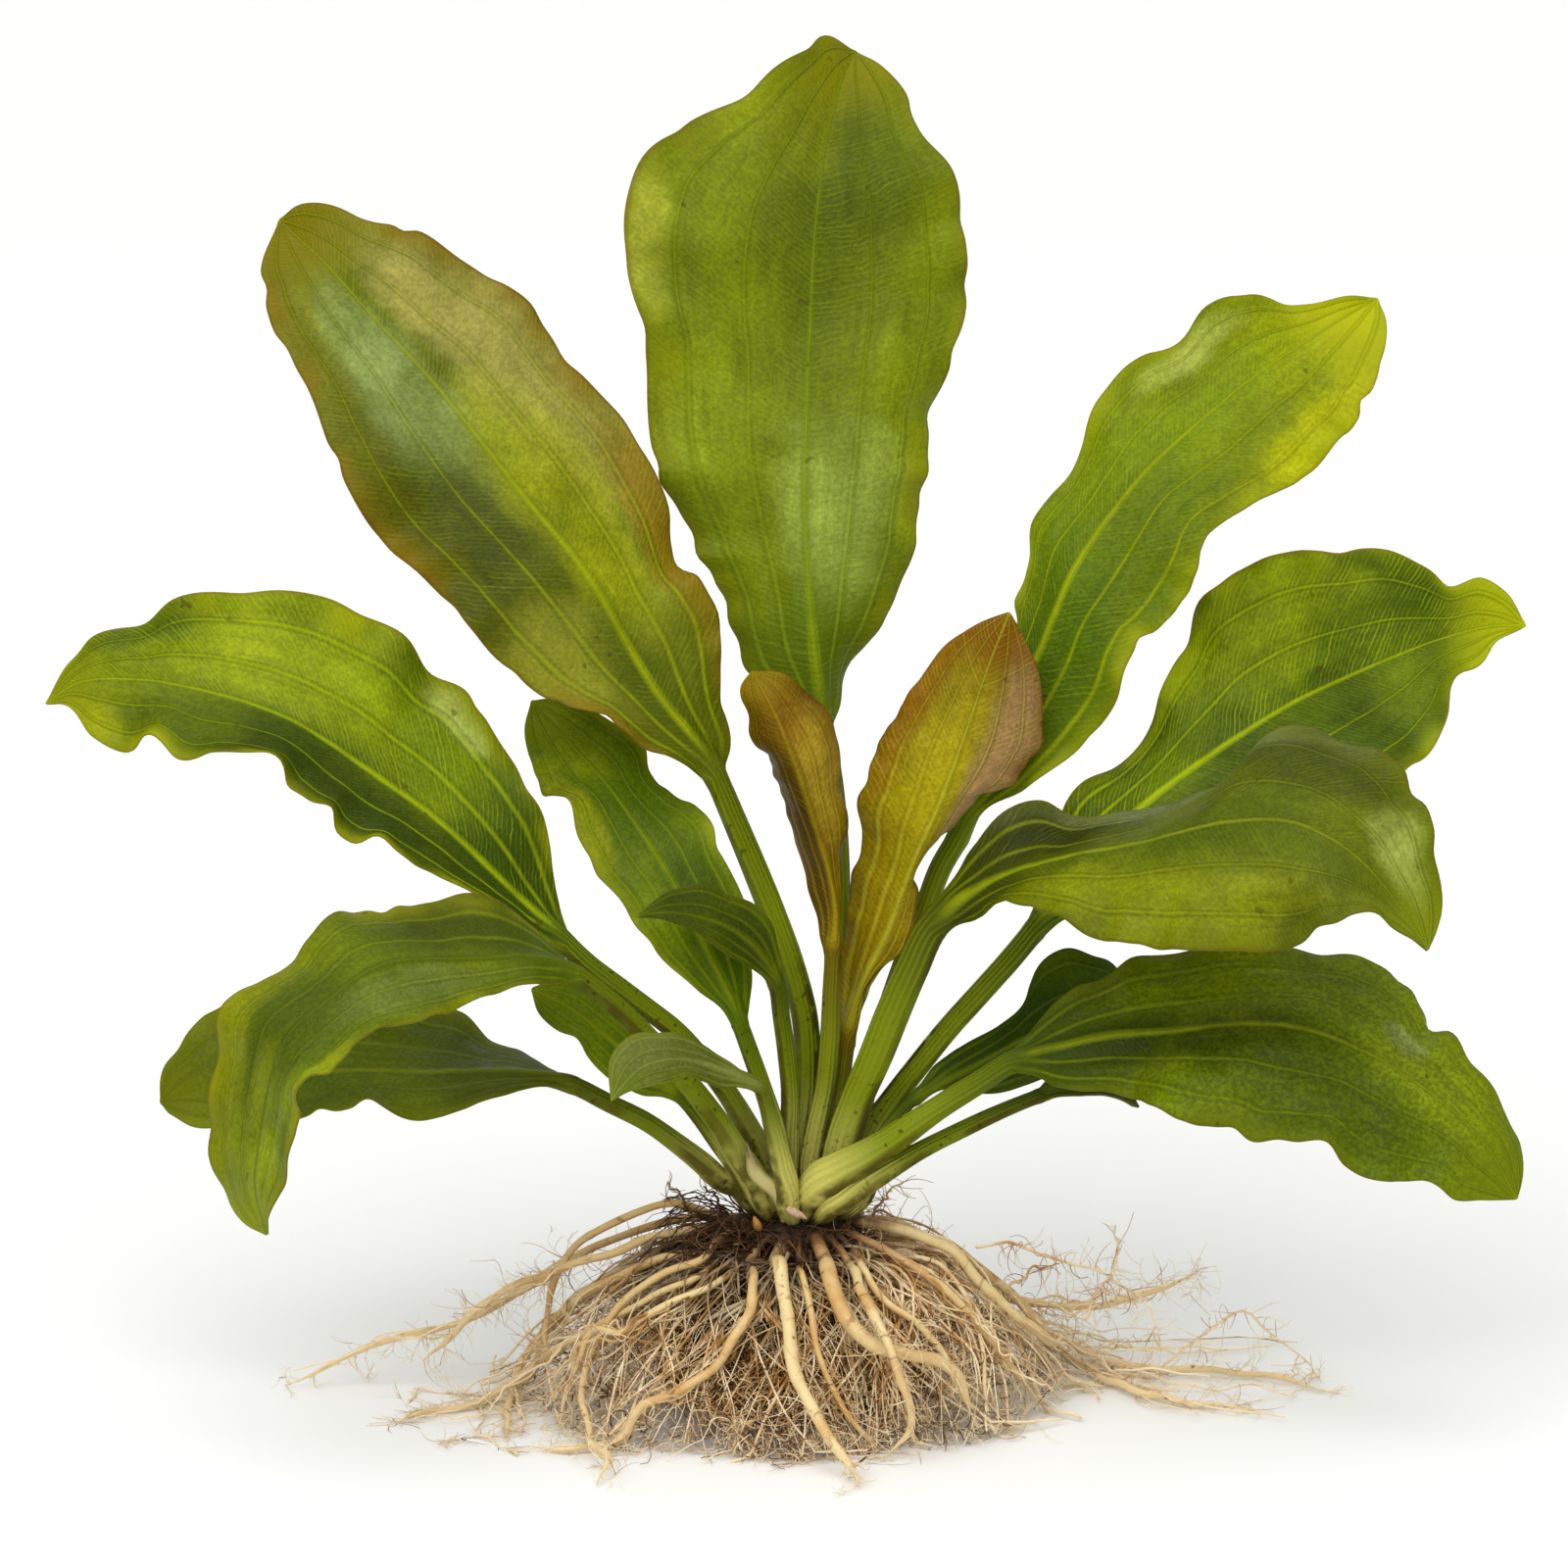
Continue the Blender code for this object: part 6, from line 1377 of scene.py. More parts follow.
def crown_strands(chance, count, steps, low, arch, trail, sway, side=None, spread=0.45):
    """Strands that leave the crown all round, arch over the mass and trail off.

    low: how deep in the mass the deepest lie, as a share of its height;
    arch: how far, in mm, the highest strands rise off the mass on their way down;
    trail: how far past the foot of the mass the longest run;
    sway: size in mm of the bends on their way;
    side: the direction, in radians, that they keep to, if any, and their spread.
    """
    turn = 2.0 * math.pi * (np.arange(count) + chance.uniform(0.0, 1.0, count)) / count
    chance.shuffle(turn)
    if side is not None:
        turn = side + chance.normal(0.0, spread, count)
    t = np.linspace(0.0, 1.0, steps)[None, :]
    swing = chance.normal(0.0, 0.4, count)[:, None] * t**0.8
    hook = chance.normal(0.0, 0.6, count)[:, None] * ease(t, 0.5, 1.15)
    angle = turn[:, None] + swing + hook
    ray_x, ray_y = np.cos(angle), np.sin(angle)
    reach = mound_reach(CROWN_X + ray_x, CROWN_Y + ray_y)
    start = chance.uniform(5.0, 11.5, count)[:, None]
    outer = reach * (0.62 + (trail - 0.62) * chance.random(count)[:, None] ** 1.4)
    distance = start + (outer - start) * t ** chance.uniform(0.9, 1.3, count)[:, None]
    x = CROWN_X + distance * ray_x
    y = CROWN_Y + distance * ray_y
    depth = chance.uniform(low, 1.0, count)[:, None]
    free = arch * chance.random(count)[:, None] ** 1.6 * np.sin(math.pi * t) ** 0.8
    first = chance.uniform(27.0, 37.0, count)[:, None]
    z = mound_height(x, y) * depth + free + 0.5
    z = first * (1.0 - ease(t, 0.0, 0.3)) + z * ease(t, 0.0, 0.3)
    z = z + 0.9 * chance.random(count)[:, None] * ease(t, 0.7, 1.0)
    paths = np.stack([x, y, z], axis=2)
    length = np.linalg.norm(np.diff(paths, axis=1), axis=2).sum(axis=1)
    bends = wander(chance, count, steps, length, 1.0) * (t**0.8)[:, :, None]
    return paths + bends * sway * chance.uniform(0.4, 1.6, count)[:, None, None]


def lace(chance, count, steps):
    """Fine roots in small loops that fill the mass down to the surface."""
    # Many of them hang at the front, where the mass is thickest.
    at_front = chance.random(count) < 0.45
    front = chance.normal(-1.6, 0.7, count)
    turn = np.where(at_front, front, chance.uniform(0.0, 6.28, count))
    ray_x, ray_y = np.cos(turn), np.sin(turn)
    reach = mound_reach(CROWN_X + ray_x, CROWN_Y + ray_y)
    share = 0.46 + 0.54 * chance.random(count) ** 0.65
    x = CROWN_X + ray_x * reach * share
    y = CROWN_Y + ray_y * reach * share
    z = mound_height(x, y) * chance.uniform(0.02, 0.94, count) ** 0.6
    z = z + chance.uniform(0.3, 2.2, count)
    starts = np.stack([x, y, z], axis=1)
    outward = np.stack([ray_x, ray_y, -0.5 * share], axis=1)
    headings = outward * 0.4 + chance.normal(0.0, 0.8, (count, 3))
    length = chance.uniform(4.0, 13.0, count)
    return curls(chance, starts, headings, length, steps, chance.uniform(0.3, 1.1, count))


def runners(chance, steps):
    """Thin roots that run along with the long ones and stray from them."""
    paths = root_paths()
    lines = []
    for name, (count, stray) in RUNNERS.items():
        path = paths[name][0]
        for _ in range(count):
            first = chance.uniform(0.15, 0.5)
            line = smooth_path(path, np.linspace(first, chance.uniform(0.72, 1.0), steps))
            t = np.linspace(0.0, 1.0, steps)[:, None]
            drift = chance.normal(0.0, 1.0, 3) * np.array([0.5, 1.0, 0.35])
            away = wander(chance, 1, steps, np.array([70.0]), 0.8)[0] + drift * stray * t
            line = line + away * ease(t, 0.0, 0.4)
            line[:, 2] = np.maximum(line[:, 2], 0.4 + chance.uniform(0.0, 1.2))
            lines.append(line)
    return np.array(lines)


def curls(chance, starts, headings, length, steps, curl):
    """Short side roots that start at points and bend at random."""
    count = len(starts)
    heading = unit(headings)
    swirl = unit(chance.normal(0.0, 1.0, (count, 3)))
    points = [starts]
    step = (length / (steps - 1))[:, None]
    for _ in range(steps - 1):
        swirl = unit(swirl + chance.normal(0.0, 0.3, (count, 3)))
        turning = np.cross(heading, swirl)
        heading = unit(heading + turning * curl[:, None] * step)
        heading[:, 2] -= 0.03 * step[:, 0]
        low = points[-1][:, 2] < 0.8
        heading[low, 2] = np.abs(heading[low, 2]) * 0.2
        points.append(points[-1] + unit(heading) * step)
    return np.stack(points, axis=1)


def strands_mesh(name, groups, slot="fine_root", nodes=("fine_roots",)):
    """Many fine closed tubes as one mesh, which no primitive can give the shape of.

    groups: (paths, radius at the start, the end's share of it, tone, sides) each;
    nodes: the solids that the mesh stands for.
    """
    verts, quads, tris, tone_values = [], [], [], []
    offset = 0
    for paths, radius, thin, tone, sides in groups:
        count, steps = paths.shape[:2]
        t = np.linspace(0.0, 1.0, steps)
        radius = radius[:, None] * (1.0 - t) + (radius * thin)[:, None] * t
        radius = np.maximum(radius, THINNEST)
        side, face = frames(paths)
        turn = circle(sides)
        around = (
            np.cos(turn)[None, None, :, None] * side[:, :, None]
            + np.sin(turn)[None, None, :, None] * face[:, :, None]
        )
        rings = paths[:, :, None] + around * radius[:, :, None, None]
        run = unit(np.gradient(paths, axis=1))
        first = paths[:, :1] - run[:, :1] * radius[:, :1, None] * 0.5
        end = paths[:, -1:] + run[:, -1:] * radius[:, -1:, None] * 1.5
        points = np.concatenate([first, rings.reshape(count, steps * sides, 3), end], axis=1)
        points[:, :, 2] = np.maximum(points[:, :, 2], LOWEST)
        per = steps * sides + 2
        base = offset + np.arange(count)[:, None] * per
        k = np.arange(sides)
        j = np.arange(steps - 1)[:, None]
        a = 1 + j * sides + k[None]
        b = 1 + j * sides + (k[None] + 1) % sides
        quad = np.stack([a, b, b + sides, a + sides], axis=2).reshape(-1, 4)
        quads.append((base[:, :, None] + quad[None]).reshape(-1, 4))
        start_fan = np.stack([np.zeros(sides, int), 1 + (k + 1) % sides, 1 + k], axis=1)
        ring = 1 + (steps - 1) * sides
        end_fan = np.stack([np.full(sides, per - 1), ring + k, ring + (k + 1) % sides], axis=1)
        fans = np.concatenate([start_fan, end_fan])
        tris.append((base[:, :, None] + fans[None]).reshape(-1, 3))
        share = np.concatenate([[0.0], np.repeat(t, sides), [1.0]])
        length = np.linalg.norm(np.diff(paths, axis=1), axis=2).sum(axis=1)
        tones = np.stack([
            np.broadcast_to(share, (count, per)),
            np.broadcast_to(tone[:, None], (count, per)),
            share[None] * length[:, None],
        ], axis=2)
        tone_values.append(tones.reshape(-1, 3))
        verts.append(points.reshape(-1, 3))
        offset += count * per
    verts = np.concatenate(verts) * MM
    quads = np.concatenate(quads)
    tris = np.concatenate(tris)
    mesh = bpy.data.meshes.new(name)
    mesh.vertices.add(len(verts))
    mesh.vertices.foreach_set("co", verts.ravel())
    loops = np.concatenate([quads.ravel(), tris.ravel()])
    mesh.loops.add(len(loops))
    mesh.loops.foreach_set("vertex_index", loops.astype(np.int32))
    starts = np.concatenate([np.arange(len(quads)) * 4, quads.size + np.arange(len(tris)) * 3])
    mesh.polygons.add(len(starts))
    mesh.polygons.foreach_set("loop_start", starts.astype(np.int32))
    mesh.update(calc_edges=True)
    data = mesh.attributes.new("strand", "FLOAT_VECTOR", "POINT").data
    data.foreach_set("vector", np.concatenate(tone_values).ravel())
    mesh.shade_smooth()
    piece = bpy.data.objects.new(name, mesh)
    bpy.context.scene.collection.objects.link(piece)
    finish_piece(piece, bpy.data.materials["fibrous_root"], slot, *nodes)


def fibrous_root(props):
    """Fibrous root skin: thin, dry to the touch and matt, with soil in its creases.

    The eye sees hairs from dark olive brown in the depths to straw and almost white
    at their tips, each a little uneven along its length. The pale ones are painted
    paler far from the crown and low down, partly their own bleaching and partly
    painted light.
    """
    material, add, shader, spot = new_material("fibrous_root")
    tone = trait_of(add, "strand")[1]
    broad = add("TexNoise", spot, Scale=160.0, Detail=3.0)
    fine = add("TexNoise", spot, Scale=1400.0, Detail=2.0)
    shift = add("MapRange", broad, 0.3, 0.7, -0.22, 0.22)
    tone = add("Math", tone, shift, use_clamp=True, **PLUS)
    colour = add("ValToRGB", tone)
    band = colour.node.color_ramp
    band.elements.new(0.3)
    band.elements.new(0.62)
    tints = (props.dark_fibre, props.olive_fibre, props.tan, props.pale_fibre)
    for element, tint in zip(band.elements, tints):
        element.color = (*tint, 1.0)
    speck = add("MapRange", fine, 0.62, 0.78, 0.0, 0.4)
    colour = layer(add, colour, linear("#7A5730"), 1.0, speck)
    # Pale fibres are made paler far from the crown and low down: partly their own bleaching,
    # partly painted light that lifts the shade in the mat there.
    far_off = add("MapRange", near_crown(add, spot, 34.0, 78.0), 0.0, 1.0, 0.85, 0.0)
    height = add("SeparateXYZ", spot).node.outputs["Z"]
    low = add("MapRange", height, 2.0 * MM, 13.0 * MM, 0.7, 0.0)
    bleach_and_painted_light = add("Math", far_off, low, operation="MAXIMUM")
    paler = add("MapRange", tone, 0.3, 0.75)
    colour = layer(add, colour, linear("#F8E6C0"), 1.0, bleach_and_painted_light, paler)
    soiled = near_crown(add, spot, 12.0, 39.0, aside=-9.0)
    colour = layer(add, colour, linear("#40260E"), 1.0, soiled)
    feed(shader, {
        "Base Color": colour, "Roughness": add("MapRange", fine, 0.3, 0.7, 0.6, 0.85),
        "IOR": 1.4, "Normal": add("Bump", Height=fine, Strength=0.5, Distance=0.0001),
    })
    return material


def root_bark(props):
    """Rootstock bark: old corky tissue with soil pressed into it.

    The eye sees near-black hollows, dull brown ridges, torn grain and no shine.
    """
    material, add, shader, spot = new_material("old_root_bark")
    lumps = add("TexNoise", spot, Scale=260.0, Detail=6.0, Roughness=0.65)
    crumbs = add("TexVoronoi", spot, Scale=620.0)
    light, dark = (*props.bark_light, 1.0), (*props.bark_dark, 1.0)
    colour = layer(add, dark, light, 1.0, add("MapRange", lumps, 0.38, 0.66))
    soil = add("MapRange", crumbs, 0.15, 0.6, 0.0, 0.75)
    colour = layer(add, colour, linear("#140C06"), 1.0, soil)
    height = add("Math", lumps, crumbs, **LESS)
    feed(shader, {
        "Base Color": colour, "Roughness": add("MapRange", lumps, 0.3, 0.7, 0.72, 0.95),
        "Specular IOR Level": 0.3,
        "Normal": add("Bump", Height=height, Strength=0.8, Distance=0.0008),
    })
    return material


def matted_heart():
    """Matted root heart: packed fine roots, washed but still soiled under the crown.

    The eye sees tan and grey-beige streaks that run down and outwards, with dark
    gaps between them that are painted shade, and wet black soil where it meets the
    crown. Its near-black is partly painted shade for the depths of the mat.
    """
    material, add, shader, spot = new_material("matted_root_heart")
    web = add("TexNoise", spot, Scale=750.0, Detail=5.0, Roughness=0.7)
    clumps = add("TexNoise", spot, Scale=150.0, Detail=3.0)
    # Painted shade: near-black in the gaps between the pale streaks of the web.
    light = add("MapRange", web, 0.44, 0.58)
    colour = layer(add, linear("#2E1A06"), linear("#A47C46"), 1.0, light)
    shade = add("MapRange", clumps, 0.35, 0.65, 0.75, 0.0)
    colour = layer(add, colour, linear("#5A3C1A"), 1.0, shade)
    soiled = near_crown(add, spot, 16.0, 42.0, aside=-8.0)
    colour = layer(add, colour, linear("#22150A"), 1.0, soiled)
    feed(shader, {
        "Base Color": colour, "Roughness": add("MapRange", web, 0.3, 0.7, 0.75, 0.95),
        "Specular IOR Level": 0.25,
        "Normal": add("Bump", Height=web, Strength=0.9, Distance=0.0012),
    })
    return material


def make_crown(props):
    """Short rootstock, lumpy and dark, closed over the feet of the stalks."""
    turn = circle(96)[None]
    t = np.linspace(0.0, 1.0, 40)
    stops = (0.0, 0.12, 0.4, 0.62, 0.78, 0.9, 1.0)
    radius = np.interp(t, stops, (0.6, 6.5, 10.2, 11.4, 10.8, 8.5, 0.6))[:, None]
    height = np.interp(t, stops, (25.9, 26.6, 31.0, 34.5, 37.2, 39.4, 41.0))[:, None]
    rise = t[:, None] * 30.0
    lumps = swell(turn * 15.0, rise, 5, 9.0) + 0.6 * swell(turn * 15.0, rise, 6, 4.0)
    closing = np.sin(math.pi * t)[:, None]
    lumps = lumps + 0.9 * np.cos(turn * 11.0) * closing
    r = radius * (1.0 + 0.06 * lumps * closing)
    rings = np.stack([
        CROWN_X + r * np.cos(turn),
        CROWN_Y + r * np.sin(turn),
        np.maximum(height + 0.5 * lumps * closing, 25.7),
    ], axis=2)
    piece = rolled("crown_rootstock", rings, {})
    finish_piece(piece, root_bark(props), "crown_bark", "crown")
    small_growth(
        "crown_torn_scale", seen(-3.4, 38.4, -13.4), (1.0, 0.1, -0.55), (0.3, -0.3, 1.0),
        (2.4, 0.95, 0.5), "#D2B28C",
    )
    small_growth(
        "crown_orange_bud", seen(-11.6, 36.2, -11.6), (-0.45, -0.2, 1.0), (1.0, -0.4, 0.3),
        (1.7, 0.85, 0.8), "#B07A2A",
    )


def small_growth(name, middle, run, wide, sizes, colour):
    """A bud or scale on the crown, blunt at its foot and pointed at its end.

    run, wide: directions along it and across it; sizes: half its length, breadth
    and thickness in mm.
    """
    turn = circle(24)
    t = np.linspace(0.0, 1.0, 20)
    girth = np.sin(math.pi * t**0.7) ** 0.7 + 0.02
    run = unit(np.array(run, float))
    wide = unit(np.array(wide, float) - run * np.dot(run, wide))
    thick = np.cross(run, wide)
    length, breadth, depth = sizes
    spine = np.array(middle) + run * ((t - 0.5) * 2.0 * length)[:, None]
    spine = spine + thick * (0.5 * depth * t**2)[:, None]
    rings = spine[:, None] + wide * (breadth * girth[:, None] * np.cos(turn)[None])[:, :, None]
    rings = rings + thick * (depth * girth[:, None] * np.sin(turn)[None])[:, :, None]
    piece = rolled(name, rings, {})
    # Soft young tissue, moist and faintly glossy, browned in small spots.
    material, add, shader, spot = new_material("moist_tissue_" + name)
    spots = add("TexNoise", spot, Scale=480.0, Detail=3.0)
    brown = add("MapRange", spots, 0.5, 0.66, 0.0, 0.6)
    feed(shader, {
        "Base Color": layer(add, linear(colour), linear("#6E3A16"), 1.0, brown),
        "Roughness": add("MapRange", spots, 0.3, 0.7, 0.4, 0.65),
    })
    finish_piece(piece, material, "crown_bark")


def dry_sheath(props):
    """Dry leaf base: papery dead tissue, torn by hand, left to bleach.

    The eye sees straw and cream with brown lines along its fibres and a burnt edge.
    """
    material, add, shader, spot = new_material("dry_papery_sheath")
    u, v, _ = trait_of(add, "leaf_place")
    noise = add("TexNoise", spot, Scale=300.0, Detail=4.0)
    bent = add("Math", noise, 6.0, **TIMES)
    lines = add("Math", u, 60.0, bent, operation="MULTIPLY_ADD")
    lines = add("Math", lines, **SINE)
    fibre = add("MapRange", lines, 0.1, 1.0, 0.0, 0.35)
    colour = layer(add, (*props.dry_sheath, 1.0), linear("#8F8440"), 1.0, fibre)
    green = add("MapRange", add("Math", u, **SIZE), 0.5, 0.95, 0.0, 0.85)
    colour = layer(add, colour, linear("#868A2C"), 1.0, green)
    burnt = add("Math", noise, 0.5, v, operation="MULTIPLY_ADD")
    burnt = add("MapRange", burnt, 0.98, 1.3, 0.0, 0.9)
    colour = layer(add, colour, linear("#5A3412"), 1.0, burnt)
    feed(shader, {
        "Base Color": colour, "Roughness": add("MapRange", noise, 0.3, 0.7, 0.5, 0.8),
        "Normal": add("Bump", Height=lines, Strength=0.6, Distance=0.0001),
    })
    return material


def make_old_sheath(props):
    """Stub of a dead leaf, a trough of dry tissue with a torn top."""
    route = [
        Vector((-5.6, -9.8, CROWN_TOP + 1.0)),
        seen(-7.4, 42.6, -12.2),
        seen(-11.7, 46.5, -13.0),
        seen(-13.6, 52.0, -13.6),
    ]
    shares = np.linspace(0.0, 1.0, 40)
    line = smooth_path(route, shares)
    run = unit(np.gradient(line, axis=0))
    side = unit(np.cross(run, np.array([0.0, 1.0, 0.0])))
    face = np.cross(run, side)
    half = blend((2.2, 3.4, 3.2, 1.0), shares) / 2.0
    turn = circle(32)
    open_side = np.maximum(-np.sin(turn), 0.0)[None] ** 2 * ease(shares, 0.15, 0.6)[:, None]
    across = np.cos(turn)[None] * half[:, None]
    deep = np.sin(turn)[None] * half[:, None] * 0.6 + open_side * half[:, None] * 0.75
    rings = line[:, None] + side[:, None] * across[:, :, None] + face[:, None] * deep[:, :, None]
    jagged = 0.9 * np.sin(turn * 3.0 + 1.0) + 0.5 * np.sin(turn * 7.0)
    torn = ease(shares, 0.8, 1.0)[:, None] * jagged[None]
    rings = rings + run[:, None] * torn[:, :, None]
    full = np.ones_like(torn)
    place = np.stack([np.cos(turn)[None] * full, shares[:, None] * full, full], axis=2)
    piece = rolled("old_sheath_papery", rings, {"leaf_place": place})
    finish_piece(piece, dry_sheath(props), "dead_sheath", "old_sheath")


def make_crown_rootlets(props):
    """Short dark hairs, a few of them pale, all over the rootstock's side."""
    chance = np.random.default_rng(props.seed + 30)
    count = int(900 * props.fullness)
    turn = chance.uniform(0.0, 2.0 * math.pi, count)
    height = chance.uniform(29.0, 40.5, count)
    reach = np.interp(height, (29.0, 34.0, 37.0, 40.5), (9.0, 11.2, 11.0, 7.0))
    reach = reach + chance.uniform(-0.4, 0.6, count)
    ray_x, ray_y = np.cos(turn), np.sin(turn)
    starts = np.stack([CROWN_X + reach * ray_x, CROWN_Y + reach * ray_y, height], axis=1)
    headings = np.stack([ray_x, ray_y, np.full(count, -0.6)], axis=1)
    headings = headings * 0.5 + chance.normal(0.0, 0.8, (count, 3))
    length = chance.uniform(1.5, 7.0, count)
    hairs = curls(chance, starts, headings, length, 9, chance.uniform(0.1, 0.6, count))
    radius = chance.uniform(0.08, 0.26, count) * props.fibre_width
    tone = np.where(chance.random(count) < 0.12, 1.0, chance.uniform(0.0, 0.5, count))
    strands_mesh("crown_rootlets", [(hairs, radius, 0.4, tone, 3)], "crown_bark", ())


def make_heart():
    """Dark furrowed heart of the mat, which shows between the fibres; its dark colour is partly
    painted shade for the depths of the mat.
    """
    turn = circle(150)
    t = np.linspace(0.0, 1.0, 46)
    rays_x, rays_y = np.cos(turn)[None], np.sin(turn)[None]
    reach = mound_reach(CROWN_X + rays_x, CROWN_Y + rays_y)[0]
    # The first rings are its flat underside.
    flat = 0.12
    rise = np.clip((t - flat) / (1.0 - flat), 0.0, 1.0) * 1.54
    share = np.where(t < flat, t / flat, np.cos(rise)) * 0.5 + 0.005
    reached = share[:, None] * reach[None]
    across, up = turn[None] * 30.0, t[:, None] * 18.0
    furrow = swell(across, up, 11, 7.0) + swell(across, up, 12, 3.0)
    reached = reached * (1.0 + 0.07 * furrow * np.sin(math.pi * t)[:, None] ** 0.5)
    z = 3.0 + 24.0 * np.sin(rise)[:, None] ** 0.7 + 0.9 * furrow
    z = np.clip(np.where(t[:, None] < flat, 3.0, z), 0.8, 28.0)
    rings = np.stack([CROWN_X + reached * rays_x, CROWN_Y + reached * rays_y, z], axis=2)
    heart = rolled("fine_roots_heart", rings, {})
    finish_piece(heart, matted_heart(), "fine_root", "fine_roots")


def make_fine_roots(props):
    """The mat of fine roots: a dark heart, arching strands and curled side roots."""
    make_heart()
    chance = np.random.default_rng(props.seed)
    width = props.fibre_width

    count = int(130 * props.fullness)
    stout = crown_strands(chance, count, 46, 0.86, 6.0, 1.25, 0.8)
    radius = (0.32 + 0.4 * chance.random(count) ** 1.6) * width
    tone = np.clip(chance.normal(0.85, 0.1, count), 0.55, 1.0)
    strands_mesh("fine_roots_stout", [(stout, radius, 0.6, tone, 8)])

    count = int(300 * props.fullness)
    arching = crown_strands(chance, count, 40, 0.45, 7.0, 1.15, 1.1)
    radius = (0.15 + 0.2 * chance.random(count) ** 1.5) * width
    tone = np.clip(chance.normal(0.8, 0.26, count), 0.1, 1.0)
    strands_mesh("fine_roots_arching", [(arching, radius, 0.5, tone, 5)])

    thin = crown_strands(chance, count, 32, 0.3, 4.0, 1.05, 2.0)
    radius = chance.uniform(0.08, 0.16, count) * width
    tone = np.clip(chance.normal(0.76, 0.18, count), 0.1, 1.0)
    strands_mesh("fine_roots_thin", [(thin, radius, 0.5, tone, 3)])

    # Long ones that hang over the front.
    draped = np.random.default_rng(props.seed + 50)
    count = int(190 * props.fullness)
    over = crown_strands(draped, count, 44, 0.95, 4.0, 1.1, 0.7, side=-1.5, spread=0.95)
    radius = (0.13 + 0.24 * draped.random(count) ** 1.4) * width
    tone = np.clip(draped.normal(0.84, 0.22, count), 0.15, 1.0)
    strands_mesh("fine_roots_draped", [(over, radius, 0.5, tone, 5)])

    count = int(2550 * props.fullness)
    net = lace(chance, count, 13)
    radius = chance.uniform(0.08, 0.2, count) * width
    pale = chance.random(count) < 0.7
    tone = np.where(pale, chance.uniform(0.5, 1.0, count), chance.uniform(0.0, 0.3, count))
    strands_mesh("fine_roots_lace", [(net, radius, 0.6, tone, 3)])

    count = int(1700 * props.fullness)
    hosts = np.concatenate([stout[:, 12:44].reshape(-1, 3), arching[:, 10:38].reshape(-1, 3)])
    picked = hosts[chance.integers(0, len(hosts), count)]
    outward = unit(picked - np.array([CROWN_X, CROWN_Y, 26.0])) + np.array([0.0, 0.0, -0.5])
    heading = outward + chance.normal(0.0, 0.7, (count, 3))
    length = chance.uniform(4.0, 15.0, count)
    hairs = curls(chance, picked, heading, length, 12, chance.uniform(0.08, 0.6, count))
    radius = chance.uniform(0.06, 0.13, count) * width
    tone = np.clip(chance.normal(0.72, 0.28, count), 0.0, 1.0)
    strands_mesh("fine_roots_curled", [(hairs, radius, 0.6, tone, 3)])

    count = int(150 * props.fullness)
    tuft = crown_strands(chance, count, 22, 1.0, 11.0, 0.75, 1.6, side=3.3)[:, :16]
    tuft[:, :, 2] += 1.5
    radius = chance.uniform(0.12, 0.32, count) * width
    tone = chance.uniform(0.05, 0.6, count)
    strands_mesh("fine_roots_tuft", [(tuft, radius, 0.4, tone, 4)])

    along = runners(chance, 48)
    radius = chance.uniform(0.18, 0.42, len(along)) * width
    tone = np.clip(chance.normal(0.8, 0.12, len(along)), 0.5, 1.0)
    strands_mesh("fine_roots_running", [(along, radius, 0.5, tone, 6)])
    make_outlying_roots(props, chance)


